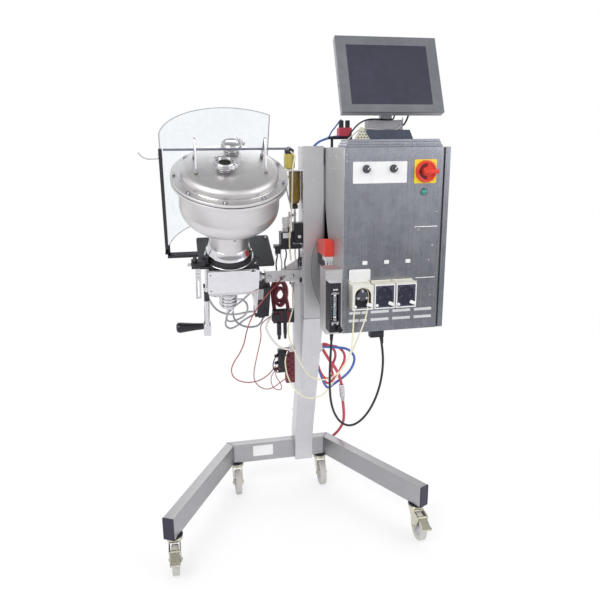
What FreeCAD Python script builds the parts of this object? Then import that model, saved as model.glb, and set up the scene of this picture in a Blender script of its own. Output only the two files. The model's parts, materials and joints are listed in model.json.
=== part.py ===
import FreeCAD, Part
import math
import os

V = FreeCAD.Vector

# A wheeled stand carries a control cabinet on the right of its mast and a tilting, rotating drum on the left.
# Machine frame while modelling, in mm: X to the right, Y to the back, Z up, floor at Z = 0.
# X = 0 is the middle of the base cross bar and Y = 0 is the bar's back face.
# On export everything moves so that the origin is the bottom centre of the machine's bounding box.

# ---------------------------------------------------------------- driving dimensions: stand
TUBE_WIDTH = 40.0
TUBE_HEIGHT = 80.0
TUBE_WALL = 3.0
BAR_LENGTH = 428.0            # between the outer back corners
LEG_LENGTH = 552.0            # along the outer face of a leg
LEG_FLARE = 28.0              # degrees outward from straight ahead
CAP_THICKNESS = 4.0
CAP_PLUG = 12.0
CAP_CLEARANCE = 0.2

CASTER_HEIGHT = 127.0
WHEEL_DIAMETER = 100.0
WHEEL_WIDTH = 24.0
WHEEL_TRAIL = 35.0
CASTER_TIP_GAP = 38.0         # caster axis back from the tip of a leg
REAR_CASTER_INSET = 36.0      # caster axis in from the outer corner of the bar
CASTER_PLATE_RADIUS = 29.0
CASTER_PLATE_THICKNESS = 6.0
KINGPIN_RADIUS = 6.0
KINGPIN_LENGTH = 24.0
FORK_HEAD_RADIUS = 27.0
FORK_HEAD_HEIGHT = 13.0
FORK_CHEEK = 4.0
AXLE_RADIUS = 4.0
AXLE_BOSS = 11.0              # half the width of a fork cheek round the axle
HUB_RADIUS = 12.0
TREAD_ROUND = 4.0
PEDAL_SETBACK = 27.0          # pedal pin in front of the axle
PEDAL_HEIGHT = 101.0
PEDAL_BARREL = 5.0
PEDAL_PIN = 2.5
PEDAL_LIP = 10.0
PEDAL_LENGTH = 50.0
PEDAL_WIDTH = 30.0
PEDAL_SLOPE = 22.0

MAST_CENTRE_X = 100.5
MAST_WIDTH = 73.0
MAST_DEPTH = 82.0
MAST_WALL = 4.0
MAST_FOOT_FRONT = -65.0
MAST_UPPER_FRONT = -255.0
MAST_BEND_LOW = 230.0
MAST_BEND_HIGH = 795.0
MAST_TOP = 1403.0

DUCT_WIDTH = 24.0
DUCT_DEPTH = 38.0
DUCT_FRONT = -196.0
DUCT_BOTTOM = 470.0
DUCT_TOP = 924.0
DUCT_BEVEL = 34.0

# ---------------------------------------------------------------- driving dimensions: cabinet
CABINET_GAP = 5.0             # between the mast and the cabinet wall
CABINET_WIDTH = 350.0
CABINET_DEPTH = 310.0
CABINET_HEIGHT = 591.0
CABINET_FRONT = -490.0
CABINET_BOTTOM = 807.0
SHEET = 2.0
PANEL_WIDTH = 326.0
SIDE_BOX_WIDTH = 56.0         # open-backed box on the left side, flush with the cabinet's front
SIDE_BOX_DEPTH = 78.0
SIDE_BOX_HEIGHT = 214.0
FLANGE_WIDTH = 18.0
CONTROLLER_WIDTH = 220.0
CONTROLLER_DEPTH = 90.0
CONTROLLER_HEIGHT = 291.0
MARGIN = 60.0                 # the controller and the strap to the mast stop this far from the cabinet's ends
COVER_STEPS = 3
COVER_STEP_HEIGHT = 8.0
COVER_STEP_INSET = 3.5
COVER_DEPTH = 100.0
COVER_LEFT = 4.0              # base of the stepped cover from the left edge of the cabinet
LOUVRE_COLUMNS = 4
LOUVRE_ROWS = 2
LOUVRE_LENGTH = 60.0
LOUVRE_HEIGHT = 6.0
LOUVRE_PITCH_X = 75.0
LOUVRE_PITCH_Z = 26.0
LOUVRE_FIRST_X = 51.0         # first column's middle from the left edge of the panel
LOUVRE_TOP_Z = 67.0           # upper row's middle above the bottom of the panel

KNOB_RADIUS = 12.5
KNOB_LENGTH = 18.0
KNOB_Z = 526.0                # above the bottom of the panel
KNOB_XS = (72.0, 160.0)       # from the left edge of the panel
KNOB_SHAFT_RADIUS = 3.0
SWITCH_PLATE = 74.0
SWITCH_X = 266.0
SWITCH_Z = 516.0
SWITCH_DISC_RADIUS = 34.0
SWITCH_DISC_LENGTH = 16.0

PUMP_COUNT = 3
PUMP_WIDTH = 68.5
PUMP_ABOVE = 34.0             # top of a head above its rotor's axis
PUMP_BELOW = 45.0
PUMP_DEPTH = 46.0
PUMP_PITCH = 72.5
PUMP_FIRST_X = 54.0
PUMP_Z = 134.0                # rotor axes above the bottom of the panel
ROTOR_RADIUS = 20.5
ROTOR_LENGTH = 20.0
ROTOR_SHAFT_RADIUS = 4.0
ROTOR_DISC = 3.0
ROLLER_RADIUS = 6.0
ROTOR_SETBACK = 4.0           # rotor behind the open front of a head
TUBE_TRACK = 6.2              # room for the tube round a rotor
COVER_THICKNESS = 3.0
COVER_OVERHANG = 1.5
COVER_HINGE_RADIUS = 3.0
COVER_PIN_RADIUS = 1.5
COVER_OPEN_ANGLE = 88.0

METER_WIDTH = 37.0
METER_DEPTH = 50.0
METER_HEIGHT = 161.0
METER_BOTTOM = 828.0
METER_TUBE_RADIUS = 7.0
METER_FOOT = 38.0             # below the glass tube
METER_HEAD = 30.0             # above it
METER_STEM_RADIUS = 3.0
METER_KNOB_X = 30.0           # from the left side and the bottom of the block
METER_KNOB_Z = 12.0
METER_KNOB_RADIUS = 10.0
METER_KNOB_LENGTH = 20.0
HOOD_FRONT = -371.0
HOOD_Z = 1041.0
HOOD_LENGTH = 109.0
HOOD_HEIGHT = 61.0
HOOD_DEPTH = 30.0
HOOD_CORNER = 15.0
FITTING_HEIGHT = 38.0         # fittings under the hood
FITTING_INSET = 2.0
INLET_WIDTH = 46.0
INLET_DEPTH = 26.0

# ---------------------------------------------------------------- driving dimensions: monitor
SCREEN_WIDTH = 268.0
SCREEN_HEIGHT = 201.0
BEZEL_SIDE = 34.5
BEZEL_TOP = 28.0
MONITOR_THICKNESS = 48.0
MONITOR_TILT = 23.5
MONITOR_CENTRE_Y = -385.0
MONITOR_CENTRE_Z = 1622.0
MONITOR_OFFSET_X = 3.0        # from the middle of the cabinet
PEDESTAL_WIDTH = 172.0
PEDESTAL_DEPTH = 92.0
PEDESTAL_HEIGHT = 30.0
NECK_WIDTH = 118.0
NECK_DEPTH = 46.0
HINGE_PIN_RADIUS = 5.0
HINGE_EAR = 14.0
HINGE_LUG = 38.0
HINGE_EYE = 13.0
HINGE_SETBACK = 24.0          # hinge axis behind the housing's back
HINGE_UP = 46.0               # hinge axis above the housing's lower edge
MONITOR_RIM = 26.0
MONITOR_SLOPE = 22.0
MONITOR_WALL = 3.0
SCREEN_THICKNESS = 4.0
SCREEN_RECESS = 1.5
PEDESTAL_SLOPE = 14.0
PEDESTAL_OFFSET_Y = 10.0
NECK_OFFSET_Y = 14.0
NECK_DROP = 34.0

# ---------------------------------------------------------------- driving dimensions: tilting unit
TILT_AXIS_X = -200.0          # the drum axis crosses the tilt axis here
TILT_AXIS_Y = -227.0
TILT_AXIS_Z = 957.0
TILT_REST = 27.0              # degrees forward from upright
DRUM_RADIUS = 158.0
DRUM_WALL = 3.0
DRUM_CORNER = 60.0
DRUM_FLANGE_RADIUS = 180.0
DRUM_FLANGE_Z = 387.0
DRUM_FLANGE_THICKNESS = 10.0
DRUM_LOWER_Z = 304.0
NECK_RADIUS = 66.0
NECK_TOP_Z = 240.0
NECK_BOTTOM_Z = 92.0
DRUM_SHAFT_RADIUS = 15.0
DRUM_SHAFT_BORE = 8.0
DRUM_SHAFT_END_Z = -110.0
GASKET_THICKNESS = 3.0
GASKET_OUTER = 160.0
GASKET_INNER = 151.0
LID_FLANGE_THICKNESS = 9.0
LID_DOME_RADIUS = 152.0
LID_DOME_HEIGHT = 37.0
LID_EDGE_RADIUS = 22.0
LID_WALL = 3.0
LID_CROWN = 918.0             # radius of the shallow crown
LID_BOLTS = 9
LID_BOLT_CIRCLE = 338.0
LID_BOLT_RADIUS = 3.0
LID_BOLT_FIRST = -100.0       # degrees
LID_NUT_RADIUS = 5.0
LID_NUT_HEIGHT = 6.0
PORT_PLACES = ((-18.0, -30.0), (14.0, 85.0))
PORT_BORE = 17.5
PORT_TUBE = 19.5
PORT_FERRULE = 25.25
PORT_TOP_Z = 466.0
FERRULE_THICKNESS = 3.0
CLAMP_OUTER = 32.0
CLAMP_HEIGHT = 14.0
CLAMP_EAR = 6.0
CLAMP_GAP = 8.0
CLAMP_SCREW = 2.5
CLAMP_SCREW_LENGTH = 50.0
CLAMP_NUT = 6.0
CLAMP_NUT_LENGTH = 12.0
CLAMP_WING = 28.0
HANDLE_X = 104.0
HANDLE_HALF_FOOT = 48.0
HANDLE_HEIGHT = 92.0
HANDLE_ROD = 3.5
HANDLE_BEND = 12.0
HANDLE_SINK = 3.0             # rod ends start this far under the dome's surface and are trimmed to it
CAP_HEIGHT = 5.0
LID_ROD_RADIUS = 3.5
LID_ROD_Z = 484.0
LID_ROD_LEFT = -196.0
LID_ROD_RIGHT = 182.0

CHASSIS_LEFT = -104.0
CHASSIS_RIGHT = 150.0
CHASSIS_FRONT = -58.0
CHASSIS_BACK = 110.0
CHASSIS_Z = 88.0
CHASSIS_THICKNESS = 10.0
CHASSIS_CORNER = 8.0
CHASSIS_ARM = 20.0
SEAL_OUTER = 78.0
SEAL_HEIGHT = 22.0
GEARBOX_LEFT = -74.0
GEARBOX_RIGHT = 90.0
GEARBOX_FRONT = -70.0
GEARBOX_BACK = 45.0
GEARBOX_BOTTOM = -22.0
GEARBOX_WALL = 6.0
GEARBOX_PLATE = 4.0
MOTOR_PLATE = 7.0
MOTOR_PLATE_BOTTOM = -114.0
MOTOR_TOP = -36.0
MOTOR_LENGTH = 140.0
MOTOR_WIDTH = 52.0
UNION_RADIUS = 33.0
UNION_TOP = -62.0
UNION_BOTTOM = -126.0
UNION_RIBS = 4
UNION_COLLAR = 22.0
TILT_SHAFT_RADIUS = 12.5
TILT_SHAFT_END = 34.0         # how near the shaft comes to the drum axis
COLLAR_LENGTH = 16.0
COLLAR_RADIUS = 19.0

BRACKET_LEFT = -72.0
BRACKET_ARM_HEIGHT = 40.0
BRACKET_ARM_DEPTH = 46.0
BRACKET_GUSSET_HEIGHT = 66.0
BRACKET_FLANGE = 6.0
BRACKET_GUSSET_LEFT = -15.0

CRANK_X = -80.0
CRANK_Y = -40.0
CRANK_ROD_RADIUS = 5.5
CRANK_ROD_TOP = 121.0
CRANK_ROD_BOTTOM = -40.0
CRANK_SLEEVE_RADIUS = 9.5
CRANK_SLEEVE_TOP = -26.0
CRANK_LUG_BOTTOM = -10.0
CRANK_TUBE_RADIUS = 10.5
CRANK_TUBE_TOP = -64.0
CRANK_TUBE_BOTTOM = -176.0
CRANK_HUB = 26.0
GRIP_LENGTH = 98.0
GRIP_RADIUS_NEAR = 12.0
GRIP_RADIUS_FAR = 19.0
GRIP_SPINDLE_RADIUS = 4.0
WORM_CASE_RADIUS = 10.5

GUARD_RADIUS = 204.0
GUARD_THICKNESS = 4.0
GUARD_START = 47.0            # degrees round the drum axis
GUARD_END = 174.0
GUARD_BOTTOM = 107.0
GUARD_TOP = 532.0
GUARD_POST = 9.0
GUARD_POST_DEPTH = 11.0
GUARD_POST_TOP = 484.0
GUARD_HANDLE_Y = 16.0
GUARD_HANDLE_BENDS = [(1, 30), (32, 36), (56, 30), (66, 14)]      # out from the guard, down from the post's top
GUARD_WIRE = 2.0
GUARD_WIRE_BEND = 8.0

# ---------------------------------------------------------------- driving dimensions: services and cords
FILTER_REACH = 62.0           # from the mast's left face to the left end of the filters' plate
FILTER_PLATE_FRONT = -254.0
FILTER_PLATE_BACK = -190.0
FILTER_PLATE_Z = 1320.0
FILTER_PLATE_THICKNESS = 6.0
FILTER_UPPER_REACH = 43.0     # from the mast's left face to the bowl's middle
FILTER_UPPER_Y = -235.0
UPPER_BOWL_RADIUS = 19.0
UPPER_BOWL_HEIGHT = 47.0
UPPER_CAP_RADIUS = 16.0
UPPER_CAP_HEIGHT = 24.0
FILTER_LOWER_REACH = 22.0
FILTER_LOWER_Y = -212.0
LOWER_BOWL_RADIUS = 20.0
LOWER_BOWL_HEIGHT = 116.0
LOWER_CAP_RADIUS = 13.0
LOWER_CAP_HEIGHT = 14.0
FILTER_PIPE_RADIUS = 6.0
VALVE_LEFT = -14.0
VALVE_FRONT = -250.0
VALVE_BACK = -200.0
VALVE_TOP = 1143.0
VALVE_HEIGHT = 78.0
VALVE_CAP_RADIUS = 14.0
VALVE_CAP_HEIGHT = 20.0
BANK_LEFT = -38.0
BANK_BOTTOM = 767.0
BANK_TOP = 815.0
BANK_PLUG_RADIUS = 7.0
BANK_PLUG_LENGTH = 66.0
SERVICE_X = 8.0               # middle of the valve cap and of the connector bank's plug
TUBE_BLOCK_LEFT = 26.0
TUBE_BLOCK_FRONT = -206.0
TUBE_BLOCK_TOP = 925.0
MANIFOLD_LEFT = 6.0
MANIFOLD_BOTTOM = 528.0
MANIFOLD_TOP = 663.0
MANIFOLD_PORT_WIDTH = 16.0
MANIFOLD_PORT_HEIGHT = 25.0
CLUSTER_LEFT = -22.0
CLUSTER_BOTTOM = 571.0
CLUSTER_TOP = 662.0
DRAIN_BLOCK_WIDTH = 16.0
DRAIN_BLOCK_DEPTH = 28.0
DRAIN_BLOCK_HEIGHT = 32.0
OUTLET_LENGTH = 28.0
BARB_WALL = 1.5               # a spigot's wall round the end of a hose
HOSE_OUTER = 6.0
COUPLING_RADIUS = 11.0
POWER_RADIUS = 4.0
PUMP_TUBE_RADIUS = 2.4
SENSOR_RADIUS = 2.0
HOSE_RADIUS = 4.0

# Routes of the cords, each a list of hand-chosen points from fitting to fitting.
POWER_ROUTE = [(122, -430, 784), (120, -429, 740), (118, -427, 690), (117, -424, 640), (118, -422, 590),
               (122, -420, 540), (134, -420, 494), (157, -420, 456), (188, -421, 438), (221, -423, 447),
               (254, -426, 480), (280, -433, 534), (294, -446, 600), (296, -461, 668), (290, -472, 728),
               (280, -476, 778)]
PUMP_TUBE_ROUTE = [(33, -199, 905), (38, -201, 868), (36, -206, 832), (22, -215, 795), (10, -225, 762),
                   (9, -235, 735), (15, -244, 708), (26, -257, 680), (40, -277, 646), (54, -303, 617),
                   (72, -336, 601), (97, -373, 602), (121, -412, 620), (142, -454, 658), (155, -490, 699),
                   (165, -516, 750), (168, -523, 801), (169, -523, 850), (172.4, -522, 898), (172.4, -522, 950.8),
                   (186.2, -522, 964.6), (205.8, -522, 964.6), (219.6, -522, 950.8), (218, -522, 900),
                   (208, -523, 857), (193, -518, 812), (177, -505, 760), (163, -486, 714), (149, -462, 674),
                   (137, -437, 634), (126, -408, 590), (113, -380, 556), (96, -350, 529), (75, -320, 511),
                   (49, -290, 509), (24, -262, 528), (7, -240, 561), (-1, -222, 600), (1, -207, 636),
                   (12, -201, 659)]
SENSOR_ROUTE = [(-16, -262, 950), (-36, -284, 940), (-64, -301, 917), (-94, -312, 889), (-120, -312, 853),
                (-140, -304, 812), (-152, -294, 769), (-159, -283, 727), (-174, -270, 688), (-194, -258, 655),
                (-206, -248, 622), (-200, -238, 590), (-177, -228, 566), (-143, -219, 553), (-108, -210, 551),
                (-76, -200, 560), (-50, -190, 577), (-31, -184, 597)]
DRAIN_UPPER_ROUTE = [(158, -161, 640), (181, -157, 598), (208, -152, 561), (230, -145, 520), (240, -138, 480)]
DRAIN_LOWER_ROUTE = [(252, -118, 400), (260, -107, 352), (267, -86, 306), (270, -56, 264), (264, -22, 222),
                     (248, 8, 182), (216, 22, 155), (178, 24, 148)]
UNION_ROUTE = [(-44, 6, -88), (-66, 18, -92), (-78, 44, -102), (-74, 74, -126), (-66, 92, -166),
               (-52, 98, -212), (-26, 100, -250), (12, 99, -268), (52, 92, -262), (84, 76, -238),
               (106, 50, -214), (116, 18, -198)]

# ---------------------------------------------------------------- driving dimensions: fits
RUNNING = 0.05                # radial clearance of a shaft in its bore
SIDE = 0.3                    # end clearance between parts that move past each other

NODES = {}


# ---------------------------------------------------------------- small helpers
def box(x0, x1, y0, y1, z0, z1):
    return Part.makeBox(x1 - x0, y1 - y0, z1 - z0, V(x0, y0, z0))


def rod(radius, start, end):
    """A round bar from one point to another."""
    a = V(*start)
    b = V(*end)
    return Part.makeCylinder(radius, (b - a).Length, a, b - a)


def ring(outer, inner, start, end):
    return rod(outer, start, end).cut(rod(inner, start, end))


def prism(points, direction):
    """A straight extrusion of a closed outline."""
    vectors = [V(*p) for p in points]
    return Part.Face(Part.makePolygon(vectors + vectors[:1])).extrude(V(*direction))


def turned(edges_points):
    """A solid of revolution about Z from (radius, z) points; a triple of points marks an arc's middle."""
    edges = []
    here = V(edges_points[0][0], 0, edges_points[0][1])
    for item in edges_points[1:] + [edges_points[0]]:
        if isinstance(item[0], tuple):
            middle = V(item[0][0], 0, item[0][1])
            there = V(item[1][0], 0, item[1][1])
            edges.append(Part.Arc(here, middle, there).toShape())
        else:
            there = V(item[0], 0, item[1])
            edges.append(Part.makeLine(here, there))
        here = there
    face = Part.Face(Part.Wire(edges))
    return face.revolve(V(0, 0, 0), V(0, 0, 1), 360)


def fused(shapes):
    """One solid from shapes that touch or overlap."""
    return shapes[0].fuse(shapes[1:]).removeSplitter()


def arc_middle(centre, radius, degrees):
    angle = math.radians(degrees)
    return (centre[0] + radius * math.cos(angle), centre[1] + radius * math.sin(angle))


def add(name, *solids):
    """A node in the machine frame."""
    NODES[name] = Part.makeCompound(list(solids)) if len(solids) > 1 else solids[0]


TILT_FRAME = FreeCAD.Placement(V(TILT_AXIS_X, TILT_AXIS_Y, TILT_AXIS_Z), FreeCAD.Rotation(V(1, 0, 0), TILT_REST))


def add_tilted(name, *solids):
    """A node drawn upright about the drum axis and then leaned forward with the tilting unit."""
    placed = []
    for solid in solids:
        copy = solid.copy()
        copy.Placement = TILT_FRAME.multiply(copy.Placement)
        placed.append(copy)
    add(name, *placed)


# ---------------------------------------------------------------- base frame
TUBE_BOTTOM = CASTER_HEIGHT
TUBE_TOP = TUBE_BOTTOM + TUBE_HEIGHT
HALF_BAR = BAR_LENGTH / 2
FLARE = math.radians(LEG_FLARE)


def base_outline(side, reach):
    """Plan corners of one leg, from its inner corner round its tip to its outer back corner."""
    along = (side * math.sin(FLARE), -math.cos(FLARE))
    inward = (-side * math.cos(FLARE), -math.sin(FLARE))
    outer_back = (side * HALF_BAR, 0.0)
    outer_tip = tuple(outer_back[i] + reach * along[i] for i in (0, 1))
    inner_tip = tuple(outer_tip[i] + TUBE_WIDTH * inward[i] for i in (0, 1))
    edge = tuple(outer_back[i] + TUBE_WIDTH * inward[i] for i in (0, 1))
    step = (-TUBE_WIDTH - edge[1]) / along[1]
    inner_corner = (edge[0] + step * along[0], -TUBE_WIDTH)
    return [inner_corner, inner_tip, outer_tip, outer_back]


def base_face(reach, z):
    left = base_outline(-1, reach)
    right = base_outline(1, reach)
    points = [V(x, y, z) for x, y in left + right[::-1]]
    return Part.Face(Part.makePolygon(points + points[:1]))


def leg_point(side, from_tip, depth, z):
    """A point on a leg: distance back from the tip, depth in from the outer face."""
    along = (side * math.sin(FLARE), -math.cos(FLARE))
    inward = (-side * math.cos(FLARE), -math.sin(FLARE))
    reach = LEG_LENGTH - from_tip
    x = side * HALF_BAR + reach * along[0] + depth * inward[0]
    y = reach * along[1] + depth * inward[1]
    return (x, y, z)


def make_base():
    frame = base_face(LEG_LENGTH - CAP_THICKNESS, TUBE_BOTTOM).extrude(V(0, 0, TUBE_HEIGHT))
    inside = base_face(LEG_LENGTH + CAP_PLUG, TUBE_BOTTOM + TUBE_WALL).makeOffset2D(-TUBE_WALL)
    frame = frame.cut(inside.extrude(V(0, 0, TUBE_HEIGHT - 2 * TUBE_WALL)))
    add("base_frame", frame)

    caps = []
    for side in (-1, 1):
        inset = TUBE_WALL + CAP_CLEARANCE
        plate = [leg_point(side, d, w, TUBE_BOTTOM) for d, w in
                 ((0, 0), (CAP_THICKNESS, 0), (CAP_THICKNESS, TUBE_WIDTH), (0, TUBE_WIDTH))]
        plug = [leg_point(side, d, w, TUBE_BOTTOM + inset) for d, w in
                ((1, inset), (CAP_PLUG, inset), (CAP_PLUG, TUBE_WIDTH - inset), (1, TUBE_WIDTH - inset))]
        caps.append(fused([prism(plate, (0, 0, TUBE_HEIGHT)), prism(plug, (0, 0, TUBE_HEIGHT - 2 * inset))]))
    add("leg_end_caps", *caps)


# ---------------------------------------------------------------- casters
CASTERS = {
    "front_left": leg_point(-1, CASTER_TIP_GAP, TUBE_WIDTH / 2, 0),
    "front_right": leg_point(1, CASTER_TIP_GAP, TUBE_WIDTH / 2, 0),
    "rear_left": (-HALF_BAR + REAR_CASTER_INSET, -TUBE_WIDTH / 2, 0),
    "rear_right": (HALF_BAR - REAR_CASTER_INSET, -TUBE_WIDTH / 2, 0),
}
AXLE_Z = WHEEL_DIAMETER / 2
HEAD_TOP = CASTER_HEIGHT - CASTER_PLATE_THICKNESS - SIDE
HEAD_BOTTOM = HEAD_TOP - FORK_HEAD_HEIGHT
CHEEK_INSIDE = WHEEL_WIDTH / 2 + 4
CHEEK_OUTSIDE = CHEEK_INSIDE + FORK_CHEEK
PEDAL_PIVOT = (-WHEEL_TRAIL - PEDAL_SETBACK, PEDAL_HEIGHT)


def make_caster_plate(x, y):
    plate_bottom = CASTER_HEIGHT - CASTER_PLATE_THICKNESS
    plate = rod(CASTER_PLATE_RADIUS, (x, y, plate_bottom), (x, y, CASTER_HEIGHT))
    kingpin = rod(KINGPIN_RADIUS, (x, y, plate_bottom - KINGPIN_LENGTH), (x, y, plate_bottom + 1))
    return fused([plate, kingpin])


def make_fork(x, y, braked):
    """The pressed fork with its riveted axle; a braked one also carries the pedal's pin."""
    head = rod(FORK_HEAD_RADIUS, (x, y, HEAD_BOTTOM), (x, y, HEAD_TOP - 3))
    crown = Part.makeCone(FORK_HEAD_RADIUS, FORK_HEAD_RADIUS - 3, 3, V(x, y, HEAD_TOP - 3))
    pieces = [head, crown]
    boss = AXLE_BOSS
    outline = [(20, HEAD_BOTTOM + 2), (20, HEAD_BOTTOM - 6), (-WHEEL_TRAIL + boss, AXLE_Z - boss / 2),
               (-WHEEL_TRAIL + boss / 2, AXLE_Z - boss), (-WHEEL_TRAIL - boss / 2, AXLE_Z - boss),
               (-WHEEL_TRAIL - boss, AXLE_Z - boss / 2)]
    if braked:
        outline += [(PEDAL_PIVOT[0] - 6, PEDAL_PIVOT[1] - 6), (PEDAL_PIVOT[0] - 6, PEDAL_PIVOT[1] + 5)]
    outline += [(-22, HEAD_BOTTOM + 2)]
    for side in (-1, 1):
        x_in = x + side * CHEEK_INSIDE
        points = [(x_in, y + dy, z) for dy, z in outline]
        pieces.append(prism(points, (side * FORK_CHEEK, 0, 0)))
    pieces.append(rod(AXLE_RADIUS, (x - CHEEK_OUTSIDE - 2, y - WHEEL_TRAIL, AXLE_Z),
                      (x + CHEEK_OUTSIDE + 2, y - WHEEL_TRAIL, AXLE_Z)))
    if braked:
        pin_y = y + PEDAL_PIVOT[0]
        pieces.append(rod(PEDAL_PIN, (x - CHEEK_OUTSIDE - 1, pin_y, PEDAL_PIVOT[1]),
                          (x + CHEEK_OUTSIDE + 1, pin_y, PEDAL_PIVOT[1])))
    bore = rod(KINGPIN_RADIUS + RUNNING, (x, y, HEAD_BOTTOM - 1), (x, y, HEAD_TOP + 1))
    return fused(pieces).cut(bore)


def make_wheel(x, y):
    """A narrow wheel with rounded tread edges and a hub that nearly fills the fork."""
    half = WHEEL_WIDTH / 2
    rim = WHEEL_DIAMETER / 2
    hub = CHEEK_INSIDE - SIDE
    bore = AXLE_RADIUS + RUNNING
    tread = rim - TREAD_ROUND
    side = half - TREAD_ROUND
    profile = [(bore, -hub), (HUB_RADIUS, -hub), (HUB_RADIUS, -half), (tread, -half),
               (arc_middle((tread, -side), TREAD_ROUND, -45), (rim, -side)), (rim, side),
               (arc_middle((tread, side), TREAD_ROUND, 45), (tread, half)),
               (HUB_RADIUS, half), (HUB_RADIUS, hub), (bore, hub)]
    wheel = turned(profile)
    wheel.Placement = FreeCAD.Placement(V(x, y - WHEEL_TRAIL, AXLE_Z), FreeCAD.Rotation(V(0, 1, 0), 90))
    return wheel


def make_pedal(x, y):
    """The brake pedal, pressed down in front of the wheel."""
    pivot_y, pivot_z = PEDAL_PIVOT
    barrel_half = CHEEK_INSIDE - SIDE
    barrel = rod(PEDAL_BARREL, (x - barrel_half, y + pivot_y, pivot_z), (x + barrel_half, y + pivot_y, pivot_z))
    slope = math.radians(PEDAL_SLOPE)
    along = V(0, -math.cos(slope), -math.sin(slope))
    up = V(0, -math.sin(slope), math.cos(slope))
    start = V(x, y + pivot_y, pivot_z)
    half = PEDAL_WIDTH / 2
    corners = [start - up * 2, start + along * PEDAL_LENGTH - up * 2,
               start + along * PEDAL_LENGTH + up * 2, start + up * 2]
    plate = prism([(x - half, c.y, c.z) for c in corners], (PEDAL_WIDTH, 0, 0))
    tip = start + along * (PEDAL_LENGTH - 8)
    end = tip + along * PEDAL_LIP
    lip_corners = [tip - up * 6, end - up * 6, end + up * 3, tip + up * 3]
    lip = prism([(x - half - 2, c.y, c.z) for c in lip_corners], (PEDAL_WIDTH + 4, 0, 0))
    pin_hole = rod(PEDAL_PIN + RUNNING, (x - half - 5, y + pivot_y, pivot_z), (x + half + 5, y + pivot_y, pivot_z))
    return fused([barrel, plate, lip]).cut(pin_hole)


def make_casters():
    plates = []
    for name, (x, y, _) in CASTERS.items():
        braked = name.startswith("front")
        plates.append(make_caster_plate(x, y))
        add("caster_fork_" + name, make_fork(x, y, braked))
        add("caster_wheel_" + name, make_wheel(x, y))
        if braked:
            add("brake_pedal_" + name, make_pedal(x, y))
    add("caster_plates", *plates)


# ---------------------------------------------------------------- mast
MAST_LEFT = MAST_CENTRE_X - MAST_WIDTH / 2
MAST_RIGHT = MAST_CENTRE_X + MAST_WIDTH / 2
MAST_UPPER_BACK = MAST_UPPER_FRONT + MAST_DEPTH


def make_mast():
    """A leaning lower tube saddled over the cross bar, and a closed upright tube on top of it."""
    side = [(MAST_FOOT_FRONT, TUBE_BOTTOM), (MAST_FOOT_FRONT, MAST_BEND_LOW), (MAST_UPPER_FRONT, MAST_BEND_HIGH),
            (MAST_UPPER_BACK, MAST_BEND_HIGH), (MAST_FOOT_FRONT + MAST_DEPTH, MAST_BEND_LOW),
            (MAST_FOOT_FRONT + MAST_DEPTH, TUBE_BOTTOM)]
    lower = prism([(MAST_LEFT, y, z) for y, z in side], (MAST_WIDTH, 0, 0))
    wall = MAST_WALL
    hollow = [(MAST_FOOT_FRONT + wall, TUBE_TOP + wall), (MAST_FOOT_FRONT + wall, MAST_BEND_LOW),
              (MAST_UPPER_FRONT + wall, MAST_BEND_HIGH + 1), (MAST_UPPER_BACK - wall, MAST_BEND_HIGH + 1),
              (MAST_FOOT_FRONT + MAST_DEPTH - wall, MAST_BEND_LOW),
              (MAST_FOOT_FRONT + MAST_DEPTH - wall, TUBE_TOP + wall)]
    inside = prism([(MAST_LEFT + wall, y, z) for y, z in hollow], (MAST_WIDTH - 2 * wall, 0, 0))
    saddle = box(MAST_LEFT - 1, MAST_RIGHT + 1, -TUBE_WIDTH, 0, TUBE_BOTTOM - 1, TUBE_TOP)
    add("mast_lower", lower.cut(inside).cut(saddle))

    upper = box(MAST_LEFT, MAST_RIGHT, MAST_UPPER_FRONT, MAST_UPPER_BACK, MAST_BEND_HIGH, MAST_TOP)
    bore = box(MAST_LEFT + wall, MAST_RIGHT - wall, MAST_UPPER_FRONT + wall, MAST_UPPER_BACK - wall,
               MAST_BEND_HIGH - 1, MAST_TOP - wall)
    add("mast_upper", upper.cut(bore))

    duct = box(MAST_LEFT - DUCT_WIDTH, MAST_LEFT, DUCT_FRONT, DUCT_FRONT + DUCT_DEPTH, DUCT_BOTTOM, DUCT_TOP)
    bevel = prism([(MAST_LEFT - DUCT_WIDTH - 1, DUCT_FRONT - 1, DUCT_BOTTOM - 1),
                   (MAST_LEFT, DUCT_FRONT - 1, DUCT_BOTTOM - 1),
                   (MAST_LEFT - DUCT_WIDTH - 1, DUCT_FRONT - 1, DUCT_BOTTOM + DUCT_BEVEL)],
                  (0, DUCT_DEPTH + 2, 0))
    add("cable_duct", duct.cut(bevel))


# ---------------------------------------------------------------- cabinet
CABINET_LEFT = MAST_RIGHT + CABINET_GAP
CABINET_RIGHT = CABINET_LEFT + CABINET_WIDTH
CABINET_BACK = CABINET_FRONT + CABINET_DEPTH
CABINET_TOP = CABINET_BOTTOM + CABINET_HEIGHT
COVER_TOP = CABINET_TOP + COVER_STEPS * COVER_STEP_HEIGHT
PANEL_RIGHT = CABINET_LEFT + PANEL_WIDTH
PANEL_BACK = CABINET_FRONT + SHEET
SIDE_BOX_LEFT = CABINET_LEFT - SIDE_BOX_WIDTH


def pump_centre(index):
    return (CABINET_LEFT + PUMP_FIRST_X + index * PUMP_PITCH, CABINET_BOTTOM + PUMP_Z)


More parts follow.
